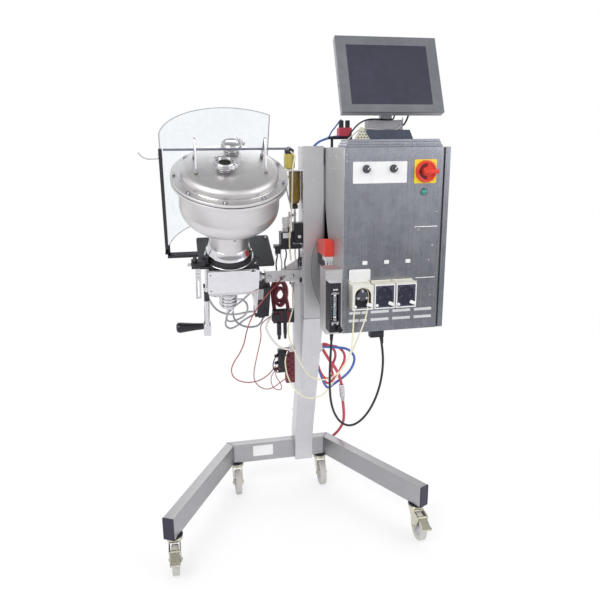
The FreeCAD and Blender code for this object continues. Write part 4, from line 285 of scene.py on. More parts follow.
def bow(centre, radius, start, end, count=8):
    """Points of an arc for an outline, between two angles in degrees."""
    angles = [math.radians(start + (end - start) * i / count) for i in range(count + 1)]
    return [(centre[0] + radius * math.cos(a), centre[1] + radius * math.sin(a)) for a in angles]


def lathe(name, outline, steps=72, sharp=32):
    """A turned piece: a ring of vertices becomes the closed outline (radius, height) and is spun round Z."""
    bpy.ops.object.select_all(action="DESELECT")
    bpy.ops.mesh.primitive_circle_add(vertices=len(outline), radius=1)
    piece = bpy.context.object
    for vertex, (radius, height) in zip(piece.data.vertices, outline):
        vertex.co = mm(radius, 0, height)
    bpy.ops.object.mode_set(mode="EDIT")
    bpy.ops.mesh.select_all(action="SELECT")
    bpy.ops.mesh.spin(steps=steps, angle=2 * math.pi, center=(0, 0, 0), axis=(0, 0, 1))
    tidy_shell()
    bpy.ops.object.mode_set(mode="OBJECT")
    settled(piece, name)
    bpy.ops.object.shade_smooth_by_angle(angle=math.radians(sharp))
    return piece


def tidy_shell():
    """In edit mode: merges doubles, drops loose bits and points the faces outwards."""
    bpy.ops.mesh.select_all(action="SELECT")
    bpy.ops.mesh.remove_doubles(threshold=1e-6)
    bpy.ops.mesh.delete_loose()
    bpy.ops.mesh.select_all(action="SELECT")
    bpy.ops.mesh.normals_make_consistent(inside=False)


# %% [markdown]
# ## Cutting and softening
#
# Nothing on a real machine has a knife-sharp edge, and the thin highlight along an edge is what makes sheet metal
# look like metal. A Bevel modifier limited by angle rounds every hard edge at once. Weighted normals then keep the
# flat faces flat, so only the rounding shades.

# %% Faces and modifiers
def picked(piece, test):
    """Goes into edit mode with only the faces selected that pass the test."""
    alone(piece)
    bpy.ops.object.mode_set(mode="EDIT")
    bpy.ops.mesh.select_mode(type="FACE")
    bpy.ops.mesh.select_all(action="DESELECT")
    bpy.ops.object.mode_set(mode="OBJECT")
    for face in piece.data.polygons:
        face.select = bool(test(face))
    bpy.ops.object.mode_set(mode="EDIT")


def facing(x, y, z):
    """A test for faces that look in a direction."""
    way = Vector((x, y, z)).normalized()
    return lambda face: face.normal.dot(way) > 0.99


def framed(piece, test, margin, depth):
    """Insets faces by a margin and pushes the inner face in by a depth, both in millimetres."""
    picked(piece, test)
    bpy.ops.mesh.inset(thickness=margin / 1000, depth=0)
    bpy.ops.mesh.inset(thickness=0.00001, depth=-depth / 1000)
    bpy.ops.object.mode_set(mode="OBJECT")
    return piece


def applied(piece, kind, **settings):
    """Adds a modifier, sets it and applies it."""
    alone(piece)
    modifier = piece.modifiers.new(kind.lower(), kind)
    for key, value in settings.items():
        setattr(modifier, key, value)
    bpy.ops.object.modifier_apply(modifier=modifier.name)
    return piece


def softened(piece, width, segments=2, angle=30, sharp=34):
    """Rounds the hard edges by a width in millimetres and shades the piece."""
    applied(piece, "BEVEL", width=width / 1000, segments=segments, limit_method="ANGLE",
            angle_limit=math.radians(angle), use_clamp_overlap=True)
    alone(piece)
    bpy.ops.object.shade_smooth_by_angle(angle=math.radians(sharp))
    return applied(piece, "WEIGHTED_NORMAL", keep_sharp=True, weight=50)


def carved(piece, cutters):
    """Cuts shapes out of a piece."""
    for cutter in cutters:
        applied(piece, "BOOLEAN", operation="DIFFERENCE", object=cutter, solver="EXACT")
        bpy.data.objects.remove(cutter)
    return piece


def merged(node, name):
    """A CAD node's own shape as a new piece, with its flat faces made whole."""
    piece = bpy.data.objects.new(name, frame["nodes"][node].data.copy())
    scene.collection.objects.link(piece)
    alone(piece)
    bpy.ops.object.mode_set(mode="EDIT")
    tidy_shell()
    bpy.ops.mesh.dissolve_limited(angle_limit=math.radians(1))
    bpy.ops.object.mode_set(mode="OBJECT")
    piece.data.name = name
    return piece


def refined(node, name, width, segments=2, angle=30):
    """The same with its edges rounded."""
    return softened(merged(node, name), width, segments, angle)


def sliced(piece, way, places):
    """Cuts a piece's faces along flat planes across a direction, so that they can be curved."""
    for place in places:
        alone(piece)
        bpy.ops.object.mode_set(mode="EDIT")
        bpy.ops.mesh.select_all(action="SELECT")
        bpy.ops.mesh.bisect(plane_co=place, plane_no=way)
        bpy.ops.object.mode_set(mode="OBJECT")
    return piece


# %% Pairs of moves that come up often
def slab(name, low, high, width, *more, **rest):
    """A box between two corners with its edges rounded."""
    return softened(block(name, low, high), width, *more, **rest)


def peg(name, radius, start, end, sides, width, *more):
    """A round bar from one point to another with its rims rounded."""
    return softened(rod(name, radius, start, end, sides), width, *more)


def leant(name, pieces):
    """Several meshes of the upright drawing become one piece, carried to its place."""
    return placed(joined(name, pieces), LEAN)


# %% [markdown]
# ## Finishes
#
# A material could be one colour and one roughness, but then steel, paint and rubber all look like plastic. The
# effects that many materials share are node groups: `grain` for brushed and turned metal, `skin` for moulded
# plastic, rubber and paint, and `smudge` for the uneven gloss that handling leaves. A group gives colours and
# values that change over the surface. The shader stays in the material, and whatever is the same all over is set on
# the shader's own sockets.

# %% Node groups
def group(name, colours, numbers, outputs):
    """An empty shader group with a Place vector, and its entry and exit nodes."""
    tree = bpy.data.node_groups.new(name, "ShaderNodeTree")
    tree.interface.new_socket(name="Place", in_out="INPUT", socket_type="NodeSocketVector")
    tree.interface.new_socket(name="Marks", in_out="INPUT", socket_type="NodeSocketVector")
    for label in colours:
        tree.interface.new_socket(name=label, in_out="INPUT", socket_type="NodeSocketColor")
    for label in numbers:
        tree.interface.new_socket(name=label, in_out="INPUT", socket_type="NodeSocketFloat")
    for label, kind in outputs.items():
        tree.interface.new_socket(name=label, in_out="OUTPUT", socket_type="NodeSocket" + kind)
    return tree, tree.nodes.new("NodeGroupInput"), tree.nodes.new("NodeGroupOutput")


def added(tree, kind, sockets=None, **settings):
    """Adds a shader node, sets its properties, then fills its sockets with links or plain values."""
    node = tree.nodes.new("ShaderNode" + kind)
    for key, value in settings.items():
        setattr(node, key, value)
    for label, value in (sockets or {}).items():
        if isinstance(value, bpy.types.NodeSocket):
            tree.links.new(value, node.inputs[label])
        else:
            node.inputs[label].default_value = value
    return node


def noise(tree, vector, scale, detail=3.0, roughness=0.55):
    """The grey values of a noise."""
    return added(tree, "TexNoise", {"Scale": scale, "Detail": detail, "Roughness": roughness,
                                    "Vector": vector}).outputs["Fac"]


def spread(tree, value, low, high):
    """Stretches the middle of a noise to the whole range from 0 to 1."""
    return added(tree, "MapRange", {"From Min": low, "From Max": high, "Value": value}).outputs["Result"]


def blended(tree, share, first, second):
    """A colour between two others: the Mix node keeps its colour sockets after those for numbers and vectors."""
    return added(tree, "Mix", {0: share, 6: first, 7: second}, data_type="RGBA").outputs[2]


def between(tree, share, low, high):
    """A number between two others."""
    return added(tree, "Mix", {0: share, 2: low, 3: high}).outputs[0]


smudge, entry, leave = group("smudge", [], [], {"Mask": "Float"})
cloud = spread(smudge, noise(smudge, entry.outputs["Place"], 7.0, 4.0, 0.6), 0.35, 0.7)
wipe = spread(smudge, noise(smudge, entry.outputs["Place"], 46.0, 3.0, 0.5), 0.35, 0.7)
smudge.links.new(between(smudge, 0.35, cloud, wipe), leave.inputs["Mask"])


def effect(name, detail, roughness, low, high, film_share):
    """A group whose marks and handling film together mix two colours and two roughness values."""
    outputs = {"Colour": "Color", "Roughness": "Float", "Height": "Float"}
    tree, entry, leave = group(name, ["Dark", "Light"], ["Smooth", "Dull"], outputs)
    given = entry.outputs
    marks = spread(tree, noise(tree, given["Marks"], 1.0, detail, roughness), low, high)
    film = added(tree, "Group", {"Place": given["Place"]}, node_tree=smudge)
    tone = between(tree, film_share, marks, film.outputs["Mask"])
    tree.links.new(blended(tree, tone, given["Dark"], given["Light"]), leave.inputs["Colour"])
    tree.links.new(between(tree, tone, given["Smooth"], given["Dull"]), leave.inputs["Roughness"])
    tree.links.new(marks, leave.inputs["Height"])
    return tree


grain = effect("grain", 3.0, 0.7, 0.3, 0.7, 0.5)
skin = effect("skin", 2.0, 0.5, 0.25, 0.75, 0.75)
print("groups", [tree.name for tree in bpy.data.node_groups])


# %% [markdown]
# A finish names its two end colours, its two roughness values and the size of one mark in metres. A long thin mark
# is a brush line, and its direction is the piece's grain. A round mark is a pebble or a blasted pit. `turn` rotates
# the marks with a piece that isn't square to the machine.

# %% A finish
def linear(code):
    """A colour from its six hex digits, as the shader wants it."""
    channels = [int(code[i:i + 2], 16) / 255 for i in (0, 2, 4)]
    return tuple(c / 12.92 if c <= 0.04045 else ((c + 0.055) / 1.055) ** 2.4 for c in channels) + (1.0,)


def finish(name, effect, dark, light, smooth, dull, mark, bump, turn=(0, 0, 0), metallic=0.0, wave=0.0, **sockets):
    """A material from an effect group; wave adds a slow swell, and other sockets of the shader go by name."""
    material = bpy.data.materials.new(name)
    material.use_nodes = True
    tree = material.node_tree
    shader = tree.nodes["Principled BSDF"]
    place = added(tree, "TexCoord").outputs["Object"]
    size = (mark, mark, mark) if isinstance(mark, float) else mark
    marks = added(tree, "Mapping", {"Rotation": turn, "Scale": size, "Vector": place}, vector_type="TEXTURE")
    worn = added(tree, "Group", {"Place": place, "Marks": marks.outputs["Vector"], "Dark": linear(dark),
                                 "Light": linear(light), "Smooth": smooth, "Dull": dull}, node_tree=effect).outputs
    relief = added(tree, "Bump", {"Strength": bump, "Distance": 0.001, "Height": worn["Height"]})
    if wave:
        swell = added(tree, "Bump", {"Strength": 1.0, "Distance": wave, "Height": noise(tree, place, 9.0, 2.0, 0.6)})
        tree.links.new(swell.outputs["Normal"], relief.inputs["Normal"])
    tree.links.new(worn["Colour"], shader.inputs["Base Color"])
    tree.links.new(worn["Roughness"], shader.inputs["Roughness"])
    tree.links.new(relief.outputs["Normal"], shader.inputs["Normal"])
    shader.inputs["Metallic"].default_value = metallic
    for label, value in sockets.items():
        shader.inputs[label.replace("_", " ")].default_value = value
    return material


def metal(name, dark, light, smooth, dull, mark, bump=0.06, turn=(0, 0, 0), wave=0.0):
    """Bare metal with the grain effect."""
    return finish(name, grain, dark, light, smooth, dull, mark, bump, turn, 1.0, wave)


def moulding(name, dark, light, smooth=0.35, dull=0.55, mark=0.0012, bump=0.08, **sockets):
    """Plastic, rubber or paint with the skin effect."""
    return finish(name, skin, dark, light, smooth, dull, mark, bump, **sockets)


LINE, ACROSS = 0.12, 0.0011        # length and width of a brush line
LEG_FLARE, MAST_LEAN = math.radians(28), math.radians(18.6)
steel_x = metal("brushed_steel_sideways", "a09fa1", "bab9bb", 0.34, 0.48, (LINE, ACROSS, ACROSS))
steel_z = metal("brushed_steel_upright", "cacacc", "e0e0e2", 0.42, 0.58, (ACROSS, ACROSS, LINE))
steel_legs = {side: metal("brushed_steel_leg_%s" % word, "a09fa1", "bab9bb", 0.34, 0.48, (LINE, ACROSS, ACROSS),
                          turn=(0, 0, side * LEG_FLARE - math.pi / 2))
              for side, word in ((-1, "left"), (1, "right"))}
steel_lean = metal("brushed_steel_leaning", "cacacc", "e0e0e2", 0.42, 0.58, (ACROSS, ACROSS, LINE),
                   turn=(MAST_LEAN, 0, 0))
front_steel = metal("cabinet_front_steel", "868891", "acaeb6", 0.20, 0.34, (ACROSS, ACROSS, 0.16), 0.04,
                    wave=0.0005)
wall_steel = metal("cabinet_wall_steel", "c6c5c6", "dcdbdb", 0.42, 0.55, (ACROSS, 0.10, ACROSS), 0.04)
vessel_steel = metal("blasted_vessel_steel", "cbc9c8", "e0dedd", 0.36, 0.46, 0.0006, 0.10)
turned_steel = metal("turned_steel", "bdbcbd", "d8d7d8", 0.16, 0.28, 0.004, 0.02)
polished = metal("polished_steel", "cfcfd2", "e6e6e8", 0.07, 0.16, 0.006, 0.01)
rod_steel = metal("grey_rod_steel", "777a88", "989baa", 0.25, 0.38, (0.02, ACROSS, ACROSS), 0.03)
zinc = metal("zinc_plate", "c4c1b0", "e4e0ca", 0.22, 0.40, 0.003, 0.04)
dark_zinc = metal("dark_zinc", "77736a", "97928a", 0.35, 0.55, 0.003, 0.05)
weld = metal("weld_bead", "83828a", "b0afb5", 0.35, 0.6, 0.002, 0.25)

black = moulding("black_plastic", "14141c", "25252f")
knob_grey = moulding("knob_plastic", "34343c", "4a4a54", 0.3, 0.45)
black_gloss = moulding("gloss_black", "0c0c12", "1a1a22", 0.12, 0.25, 0.004, 0.02)
black_paint = moulding("black_paint", "101018", "1e1e28", 0.38, 0.55, 0.0018, 0.15)
cap_plastic = moulding("cap_plastic", "221f33", "322f45", 0.40, 0.58)
cream = moulding("cream_plastic", "dad6c6", "eceadd", 0.30, 0.45)
white = moulding("white_plastic", "dedede", "f2f2f2", 0.30, 0.45)
label_white = moulding("plain_label", "e4e4e4", "f6f6f6", 0.35, 0.5, 0.0008, 0.03)
light_grey = moulding("light_grey_plastic", "b4b4b8", "cdcdd0", 0.35, 0.5)
bezel_grey = moulding("bezel_paint", "63656b", "7b7d83", 0.36, 0.50, 0.0010, 0.10)
housing_grey = moulding("housing_paint", "8d8f94", "a9abaf", 0.40, 0.55, 0.0010, 0.10)
pedestal_blue = moulding("pedestal_paint", "3b4252", "51586a", 0.38, 0.5, 0.0012, 0.10)
switch_red = moulding("switch_red", "cf2f1c", "ea452c", 0.25, 0.40)
switch_yellow = moulding("switch_yellow", "f0cd28", "fbe04a", 0.30, 0.45)
hood_red = moulding("hood_red", "e0372e", "ff5644", 0.25, 0.42)
dark_red = moulding("dark_red_plastic", "5a1826", "7d2736", 0.30, 0.48)
silicone_cream = moulding("cream_silicone", "e6dfbb", "f6f1d6", 0.30, 0.42, 0.004, 0.03)
silicone_white = moulding("white_silicone", "e2e0da", "f6f5f0", 0.28, 0.40, 0.004, 0.03)
hose_red = moulding("red_hose_rubber", "b8354a", "dc5468", 0.35, 0.5, 0.0016, 0.06)
cable_red = moulding("red_cable", "8e3a3c", "b2564f", 0.40, 0.55, 0.0016, 0.04)
hose_blue = moulding("blue_hose_rubber", "3258a8", "5a80c2", 0.32, 0.48, 0.0016, 0.05)
cable_black = moulding("black_cable", "15151b", "26262d", 0.42, 0.6, 0.0016, 0.06)
cable_grey = moulding("grey_cable", "84868c", "a4a6ab", 0.40, 0.55, 0.0016, 0.05)
braid_grey = moulding("grey_braid", "8d8f95", "c2c3c7", 0.38, 0.55, 0.0011, 0.35, Coat_Weight=0.35,
                      Coat_Roughness=0.2)
tread_grey = moulding("wheel_rubber", "bdbbb5", "d2d0ca", 0.5, 0.7, 0.0015, 0.12)
rubber_black = moulding("black_rubber", "17171b", "2a2a2f", 0.55, 0.75, 0.0015, 0.14)
teal = moulding("teal_lens", "1f7f78", "3aa49a", 0.10, 0.2, 0.003, 0.05, Coat_Weight=0.6)
screen_glass = moulding("screen_glass", "2e2e3d", "3a3a4b", 0.10, 0.16, 0.02, 0.0, Coat_Weight=0.4,
                        Coat_Roughness=0.05)
yellow_bowl = moulding("yellow_bowl", "dcc858", "f4e584", 0.10, 0.22, 0.01, 0.02, Coat_Weight=0.5,
                       Transmission_Weight=0.35)
amber_bowl = moulding("amber_bowl", "7d5f10", "a98a24", 0.10, 0.22, 0.01, 0.02, Coat_Weight=0.5,
                      Transmission_Weight=0.35)
clear_sheet = moulding("clear_sheet", "eef2f6", "fbfdff", 0.02, 0.06, 0.02, 0.0, Transmission_Weight=1.0, IOR=1.12)
sheet_edge = moulding("clear_sheet_edge", "b9bec6", "d3d7dd", 0.15, 0.3, 0.004, 0.02, Transmission_Weight=0.25)
tube_glass = moulding("tube_glass", "d6e2ea", "f2f8fb", 0.02, 0.05, 0.02, 0.0, Transmission_Weight=0.8, IOR=1.3)
print(len(bpy.data.materials), "materials")


# %% Dressing a piece
def dress(piece, material, body, *nodes, slot=None):
    """Gives a piece its finish and its body, and hides the CAD nodes it stands for."""
    if material:
        piece.data.materials.clear()
        piece.data.materials.append(material)
    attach(piece, body)
    if nodes:
        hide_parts(*nodes)
    return piece


def coated(node, material):
    """A CAD node whose shape is right keeps its mesh and gets a finish."""
    shell = frame["nodes"][node]
    shell.data.materials.clear()
    shell.data.materials.append(material)
    return shell


for line, material, node in ((power, cable_black, "power_cable"), (pump_line, silicone_cream, "pump_tube"),
                             (sensor, cable_red, "sensor_cable"), (drain_upper, hose_red, "drain_hose"),
                             (drain_lower, hose_red, "drain_hose"), (union_line, braid_grey, "union_hose")):
    line.data.materials.append(material)

# %% [markdown]
# ## Studio
#
# The machine stands in a white studio. A white background could be made by flooding the scene with light, but that
# would wash out the steel. Instead the world is white only for camera, mirror and glass rays, and a soft grey dome
# lights the object. The floor is pale paint that keeps the shadows near the wheels and fades into the background.

# %% World
WHITE = (1, 1, 1, 1)
world = bpy.data.worlds.new("studio")
scene.world = world
world.use_nodes = True
sky = world.node_tree
dome = sky.nodes["Background"]
way = added(sky, "SeparateXYZ", {"Vector": added(sky, "TexCoord").outputs["Generated"]}).outputs


def ramp(tree, value, stops):
    """A colour ramp from (place, brightness) stops, tinted a little towards blue."""
    node = added(tree, "ValToRGB", {"Fac": value})
    node.color_ramp.interpolation = "EASE"
    while len(node.color_ramp.elements) < len(stops):
        node.color_ramp.elements.new(0.5)
    for element, (place, light) in zip(node.color_ramp.elements, stops):
        element.position = place
        element.color = (light, light, light * 1.02, 1)
    return node.outputs["Color"]


def raised(tree, value):
    """From -1..1 to 0..1."""
    return added(tree, "MapRange", {"From Min": -1, "Value": value}).outputs["Result"]


def either(tree, first, second):
    """The larger of two values."""
    return added(tree, "Math", {0: first, 1: second}, operation="MAXIMUM").outputs["Value"]


height, depth = raised(sky, way["Z"]), raised(sky, way["Y"])
sky.links.new(ramp(sky, height, [(0.0, 0.55), (0.48, 0.62), (0.75, 0.85), (1.0, 0.95)]), dome.inputs["Color"])
backdrop = ramp(sky, depth, [(0.0, 0.0), (0.38, 0.0), (0.62, 1.0), (1.0, 1.0)])
above = ramp(sky, height, [(0.0, 0.0), (0.435, 0.0), (0.475, 1.0), (1.0, 1.0)])
ceiling = ramp(sky, height, [(0.0, 0.85), (0.5, 1.0), (0.66, 0.92), (1.0, 0.45)])
far_room = ramp(sky, height, [(0.0, 0.50), (0.35, 0.42), (0.45, 0.38), (1.0, 0.38)])
room = added(sky, "Background", {"Color": blended(sky, either(sky, backdrop, above), far_room, ceiling)})
white_wall = added(sky, "Background", {"Color": WHITE})
rays = added(sky, "LightPath").outputs
mirror = added(sky, "MixShader", {"Fac": rays["Is Glossy Ray"], 1: dome.outputs["Background"],
                                  2: room.outputs["Background"]})
through = added(sky, "MixShader", {"Fac": either(sky, rays["Is Camera Ray"], rays["Is Transmission Ray"]),
                                   1: mirror.outputs["Shader"], 2: white_wall.outputs["Background"]})
sky.links.new(through.outputs["Shader"], sky.nodes["World Output"].inputs["Surface"])

# %% Floor
FLOOR_RADIUS = 2.6
FADE_START, FADE_END, NEAR_GLOW = 0.45, 1.6, 0.62        # where the paint turns into plain white, and how far it is
bpy.ops.object.select_all(action="DESELECT")
bpy.ops.mesh.primitive_circle_add(vertices=96, radius=FLOOR_RADIUS, fill_type="NGON", location=(0, 0, 0))
floor = bpy.context.object
floor.name = "floor"
paint = bpy.data.materials.new("floor_paint")
paint.use_nodes = True
tree = paint.node_tree
matte = tree.nodes["Principled BSDF"]
for label, value in (("Roughness", 0.9), ("Specular IOR Level", 0.1), ("Base Color", (0.93, 0.93, 0.95, 1))):
    matte.inputs[label].default_value = value
glow = added(tree, "Emission", {"Color": WHITE})
reach = added(tree, "VectorMath", {0: added(tree, "TexCoord").outputs["Object"]}, operation="LENGTH")
edge = added(tree, "MapRange", {"From Min": FADE_START, "From Max": FADE_END, "To Min": NEAR_GLOW,
                                "Value": reach.outputs["Value"]}, interpolation_type="SMOOTHSTEP")
rays = added(tree, "LightPath").outputs
seen = either(tree, rays["Is Camera Ray"], rays["Is Transmission Ray"])
share = added(tree, "Math", {0: seen, 1: edge.outputs["Result"]}, operation="MULTIPLY")
blend = added(tree, "MixShader", {"Fac": share.outputs["Value"], 1: matte.outputs["BSDF"],
                                  2: glow.outputs["Emission"]})
tree.links.new(blend.outputs["Shader"], tree.nodes["Material Output"].inputs["Surface"])
floor.data.materials.append(paint)


# %% Lamps
def softbox(name, place, aim, size, power):
    """A square area lamp that looks at a point."""
    lamp = bpy.data.lights.new(name, "AREA")
    lamp.energy = power
    lamp.size = size
    box = bpy.data.objects.new(name, lamp)
    scene.collection.objects.link(box)
    box.location = place
    box.rotation_euler = (Vector(aim) - Vector(place)).to_track_quat("-Z", "Y").to_euler()
    return box


softbox("key_lamp", (-1.9, -1.9, 2.9), (-0.1, 0, 0.95), 1.6, 34)
softbox("fill_lamp", (2.1, -1.6, 2.0), (0.1, 0, 0.9), 1.8, 18)
softbox("back_lamp", (0.3, 2.4, 2.6), (0, 0, 0.9), 1.6, 16)

# %% [markdown]
# ## Base
#
# The base is square tube: a cross bar between two legs that flare outwards, mitred and welded at the corners. It
# could be one extruded outline, but the brush lines of a real frame follow each tube. So each tube is its own
# block whose end is pulled to the mitre, turned to its place and given its own grain.

# %% Base tubes
def nudged(piece, test, move):
    """Moves the vertices whose places pass the test, in millimetres."""
    alone(piece)
    bpy.ops.object.mode_set(mode="EDIT")
    bpy.ops.mesh.select_mode(type="VERT")
    bpy.ops.mesh.select_all(action="DESELECT")
    bpy.ops.object.mode_set(mode="OBJECT")
    for vertex in piece.data.vertices:
        vertex.select = bool(test(vertex.co))
    bpy.ops.object.mode_set(mode="EDIT")
    bpy.ops.transform.translate(value=mm(*move))
    bpy.ops.object.mode_set(mode="OBJECT")
    return piece


TUBE, BAR_HALF, LEG, CAP = 40.0, 214.0, 552.0, 4.0
TUBE_LOW, TUBE_HIGH = 127.0, 207.0
MITRE = TUBE * (1 - math.sin(LEG_FLARE)) / math.cos(LEG_FLARE)
inner_x = BAR_HALF - TUBE * math.cos(LEG_FLARE) + MITRE * math.sin(LEG_FLARE)


def leg_place(side):
    """The matrix from a leg's own drawing, where X runs to its tip, to the frame."""
    turn = math.atan2(-math.cos(LEG_FLARE), side * math.sin(LEG_FLARE))
    return Matrix.Translation(at(side * BAR_HALF, 0, 0)) @ Matrix.Rotation(turn, 4, "Z")


bar = block("base_bar", at(-BAR_HALF, -TUBE, TUBE_LOW), at(BAR_HALF, 0, TUBE_HIGH))
middle = at(0, -TUBE / 2, 0)
for side in (-1, 1):
    nudged(bar, lambda co, side=side: (co.x - middle.x) * side > 0 and co.y < middle.y,
           (side * (inner_x - BAR_HALF), 0, 0))
dress(softened(bar, 3.0, 3), steel_x, "root", "base_frame")
for side, word in ((-1, "left"), (1, "right")):
    near, far = (0, TUBE) if side < 0 else (-TUBE, 0)
    leg = block("base_leg_" + word, mm(0, near, TUBE_LOW), mm(LEG - CAP, far, TUBE_HIGH))
    nudged(leg, lambda co, side=side: co.x < 0.001 and abs(co.y) > 0.001, (MITRE, 0, 0))
    dress(placed(softened(leg, 3.0, 3), leg_place(side)), steel_legs[side], "root", "base_frame")
    cap = block("leg_cap_" + word, mm(LEG - CAP - 1, near, TUBE_LOW), mm(LEG, far, TUBE_HIGH))
    framed(cap, facing(1, 0, 0), 4, 0.8)
    dress(placed(softened(cap, 1.3, 3), leg_place(side)), cap_plastic, "root", "leg_end_caps")
print("inner corner at", round(inner_x, 1))

# %% [markdown]
# The welds at the corners are ground almost flush, so a thin bead is enough to catch the light. The rating plate on
# the cross bar stays blank: a white plate with a fine pressed border.

# %% Welds and the blank plate
beads = []
for side in (-1, 1):
    corner = at(side * inner_x, -TUBE - 0.3, 0)
    beads.append(rod("bead", 1.3, corner + mm(0, 0, TUBE_LOW + 3), corner + mm(0, 0, TUBE_HIGH - 2), 10))
    beads.append(rod("bead", 1.1, at(side * inner_x, -TUBE, TUBE_HIGH - 0.5),
                     at(side * BAR_HALF, -2, TUBE_HIGH - 0.5), 10))
dress(softened(joined("corner_welds", beads), 0.5, 1), weld, "root", slot="base_frame")
plate = block("blank_plate", at(-110, -TUBE - 0.6, 151), at(-27, -TUBE, 197))
framed(plate, facing(0, -1, 0), 3, 0.2)
dress(softened(plate, 0.3), label_white, "root", slot="base_frame")

# %% [markdown]
# ## Casters
#
# A caster is a dark mounting ring, a pressed zinc fork with a ball race, and a narrow wheel. The fork's folded
# cheeks come from the CAD node, because their outline is already right, with their edges rounded. The wheel is
# turned: a soft grey tyre on a harder core, with a web that is thinner than the hub.

# %% Caster rings and forks
caster_names = sorted(node[len("caster_wheel_"):] for node in frame["nodes"] if node.startswith("caster_wheel_"))
ring_outline = [(0, 127), (28, 127), (29, 126), (29, 122.5), (27.5, 121), (20, 121), (19, 122.5), (12, 122.5),
                (6, 121), (6, 98), (5, 97), (0, 97)]
race_outline = [(24, 119.5)] + bow((26.2, 114), 2.2, 85, -85, 6) + [(24, 108.5)]
rings = []
for corner in caster_names:
    ring_place = Matrix.Translation((*joints["swivel_" + corner]["pos_m"][:2], 0))
    rings.append(placed(lathe("ring", ring_outline, 40), ring_place))
    fork = refined("caster_fork_" + corner, "caster_fork_shell_" + corner, 0.9, 2)
    race = placed(lathe("race", race_outline, 40), ring_place)
    axle = joints["roll_" + corner]["pos_m"]
    nuts = [rod("nut", 6.5, Vector(axle) + mm(s * 20, 0, 0), Vector(axle) + mm(s * 23.5, 0, 0), 6) for s in (-1, 1)]
    for nut in nuts:
        softened(nut, 0.5)
    dress(joined("caster_fork_%s_finished" % corner, [fork, race] + nuts), zinc, "fork_" + corner, "caster_fork_"
          + corner)
dress(joined("caster_rings", rings), black_paint, "root", "caster_plates")

# %% Wheels and pedals
tyre_outline = ([(36, -11), (45.5, -12)] + bow((46, -8), 4, -90, 0, 5) + bow((46, 8), 4, 0, 90, 5)
                + [(45.5, 12), (36, 11)])
core_outline = [(4.1, -15.6), (10, -15.6), (12, -14), (12, -7), (16, -4.5), (31, -4.5), (34, -9), (36.2, -10.5),
                (36.2, 10.5), (34, 9), (31, 4.5), (16, 4.5), (12, 7), (12, 14), (10, 15.6), (4.1, 15.6)]
for corner in caster_names:
    spot = Matrix.Translation(joints["roll_" + corner]["pos_m"]) @ Matrix.Rotation(math.pi / 2, 4, "Y")
    tyre = placed(lathe("caster_tyre_" + corner, tyre_outline, 64), spot)
    dress(tyre, tread_grey, "wheel_" + corner, "caster_wheel_" + corner)
    core = placed(lathe("caster_core_" + corner, core_outline, 48), spot)
    dress(core, light_grey, "wheel_" + corner, "caster_wheel_" + corner)
    if corner.startswith("front"):
        pedal = refined("brake_pedal_" + corner, "brake_lever_" + corner, 1.0, 2)
        dress(pedal, zinc, "pedal_" + corner, "brake_pedal_" + corner)
print("casters", caster_names)

# %% [markdown]
# ## Mast
#
# The mast is folded sheet: the lower part leans back from the base, the upper part stands upright on it. Both keep
# the CAD outline with 3 mm folds. The grain runs along each part. A dressed weld closes the joint, and a plain
# channel for cables runs down the left side.

# %% Mast and duct
dress(refined("mast_lower", "mast_lower_shell", 3.0, 3), steel_lean, "root", "mast_lower")
dress(refined("mast_upper", "mast_upper_shell", 3.0, 3), steel_z, "root", "mast_upper")
seam = block("mast_seam", at(63.6, -255.4, 793.6), at(137.4, -172.6, 796.0))
dress(softened(seam, 0.6, 2), weld, "root", slot="mast_upper")
duct = refined("cable_duct", "cable_channel", 1.6, 2)
dress(duct, steel_z, "root", "cable_duct")


def screw(name, place, way, radius=4.0, height=2.2, cross=True):
    """A button-head screw that looks along a direction, with a cross recess."""
    head = lathe(name, [(0, height), (radius * 0.55, height * 0.97), (radius * 0.88, height * 0.6), (radius, 0.1),
                        (radius, -0.4), (0, -0.4)], 20, 50)
    if cross:
        arm, half = radius * 0.5, radius * 0.13
        carved(head, [block("slot", mm(-arm, -half, height - 0.7), mm(arm, half, height + 1)),
                      block("slot", mm(-half, -arm, height - 0.7), mm(half, arm, height + 1))])
    return placed(head, Matrix.Translation(place) @ Vector(way).to_track_quat("Z", "Y").to_matrix().to_4x4())


mast_screws = [screw("screw", at(64, -12, 334), (-1, 0, 0))]
mast_screws += [screw("screw", at(64, y, z), (-1, 0, 0), 3) for y, z in ((-240, 1380), (-190, 1380), (-240, 1180))]
mast_screws += [screw("screw", at(40, -177, z), (-1, 0, 0), 2.6) for z in (905, 790, 690, 600, 530)]
dress(joined("mast_screws", mast_screws), turned_steel, "root", slot="mast_upper")

# %% [markdown]
# ## Cabinet
#
# The cabinet is a folded steel box with a smaller box on its left side. Their shells keep the CAD outline with
# rounded folds. A real front panel is never quite flat: the fold at its top pulls the sheet back a little, and that
# faint curve mirrors the bright ceiling as a white band. So the panel is sliced near its top and curved, and its
# finish carries a slow wave. Plates with round corners come up often, and a helper bevels the edges that run along
# one direction.

# %% Shell, panel and cover
def rounded(piece, way, radius, segments=5, test=lambda middle: True):
    """Rounds the edges that run along a direction, such as a plate's corners."""
    alone(piece)
    bpy.ops.object.mode_set(mode="EDIT")
    bpy.ops.mesh.select_mode(type="EDGE")
    bpy.ops.mesh.select_all(action="DESELECT")
    bpy.ops.object.mode_set(mode="OBJECT")
    points = piece.data.vertices
    for edge in piece.data.edges:
        first, second = (points[i].co for i in edge.vertices)
        along = (second - first).normalized()
        edge.select = abs(along.dot(Vector(way))) > 0.999 and test((first + second) / 2)
    bpy.ops.object.mode_set(mode="EDIT")
    bpy.ops.mesh.bevel(offset=radius / 1000, segments=segments, affect="EDGES")
    bpy.ops.object.mode_set(mode="OBJECT")
    return piece


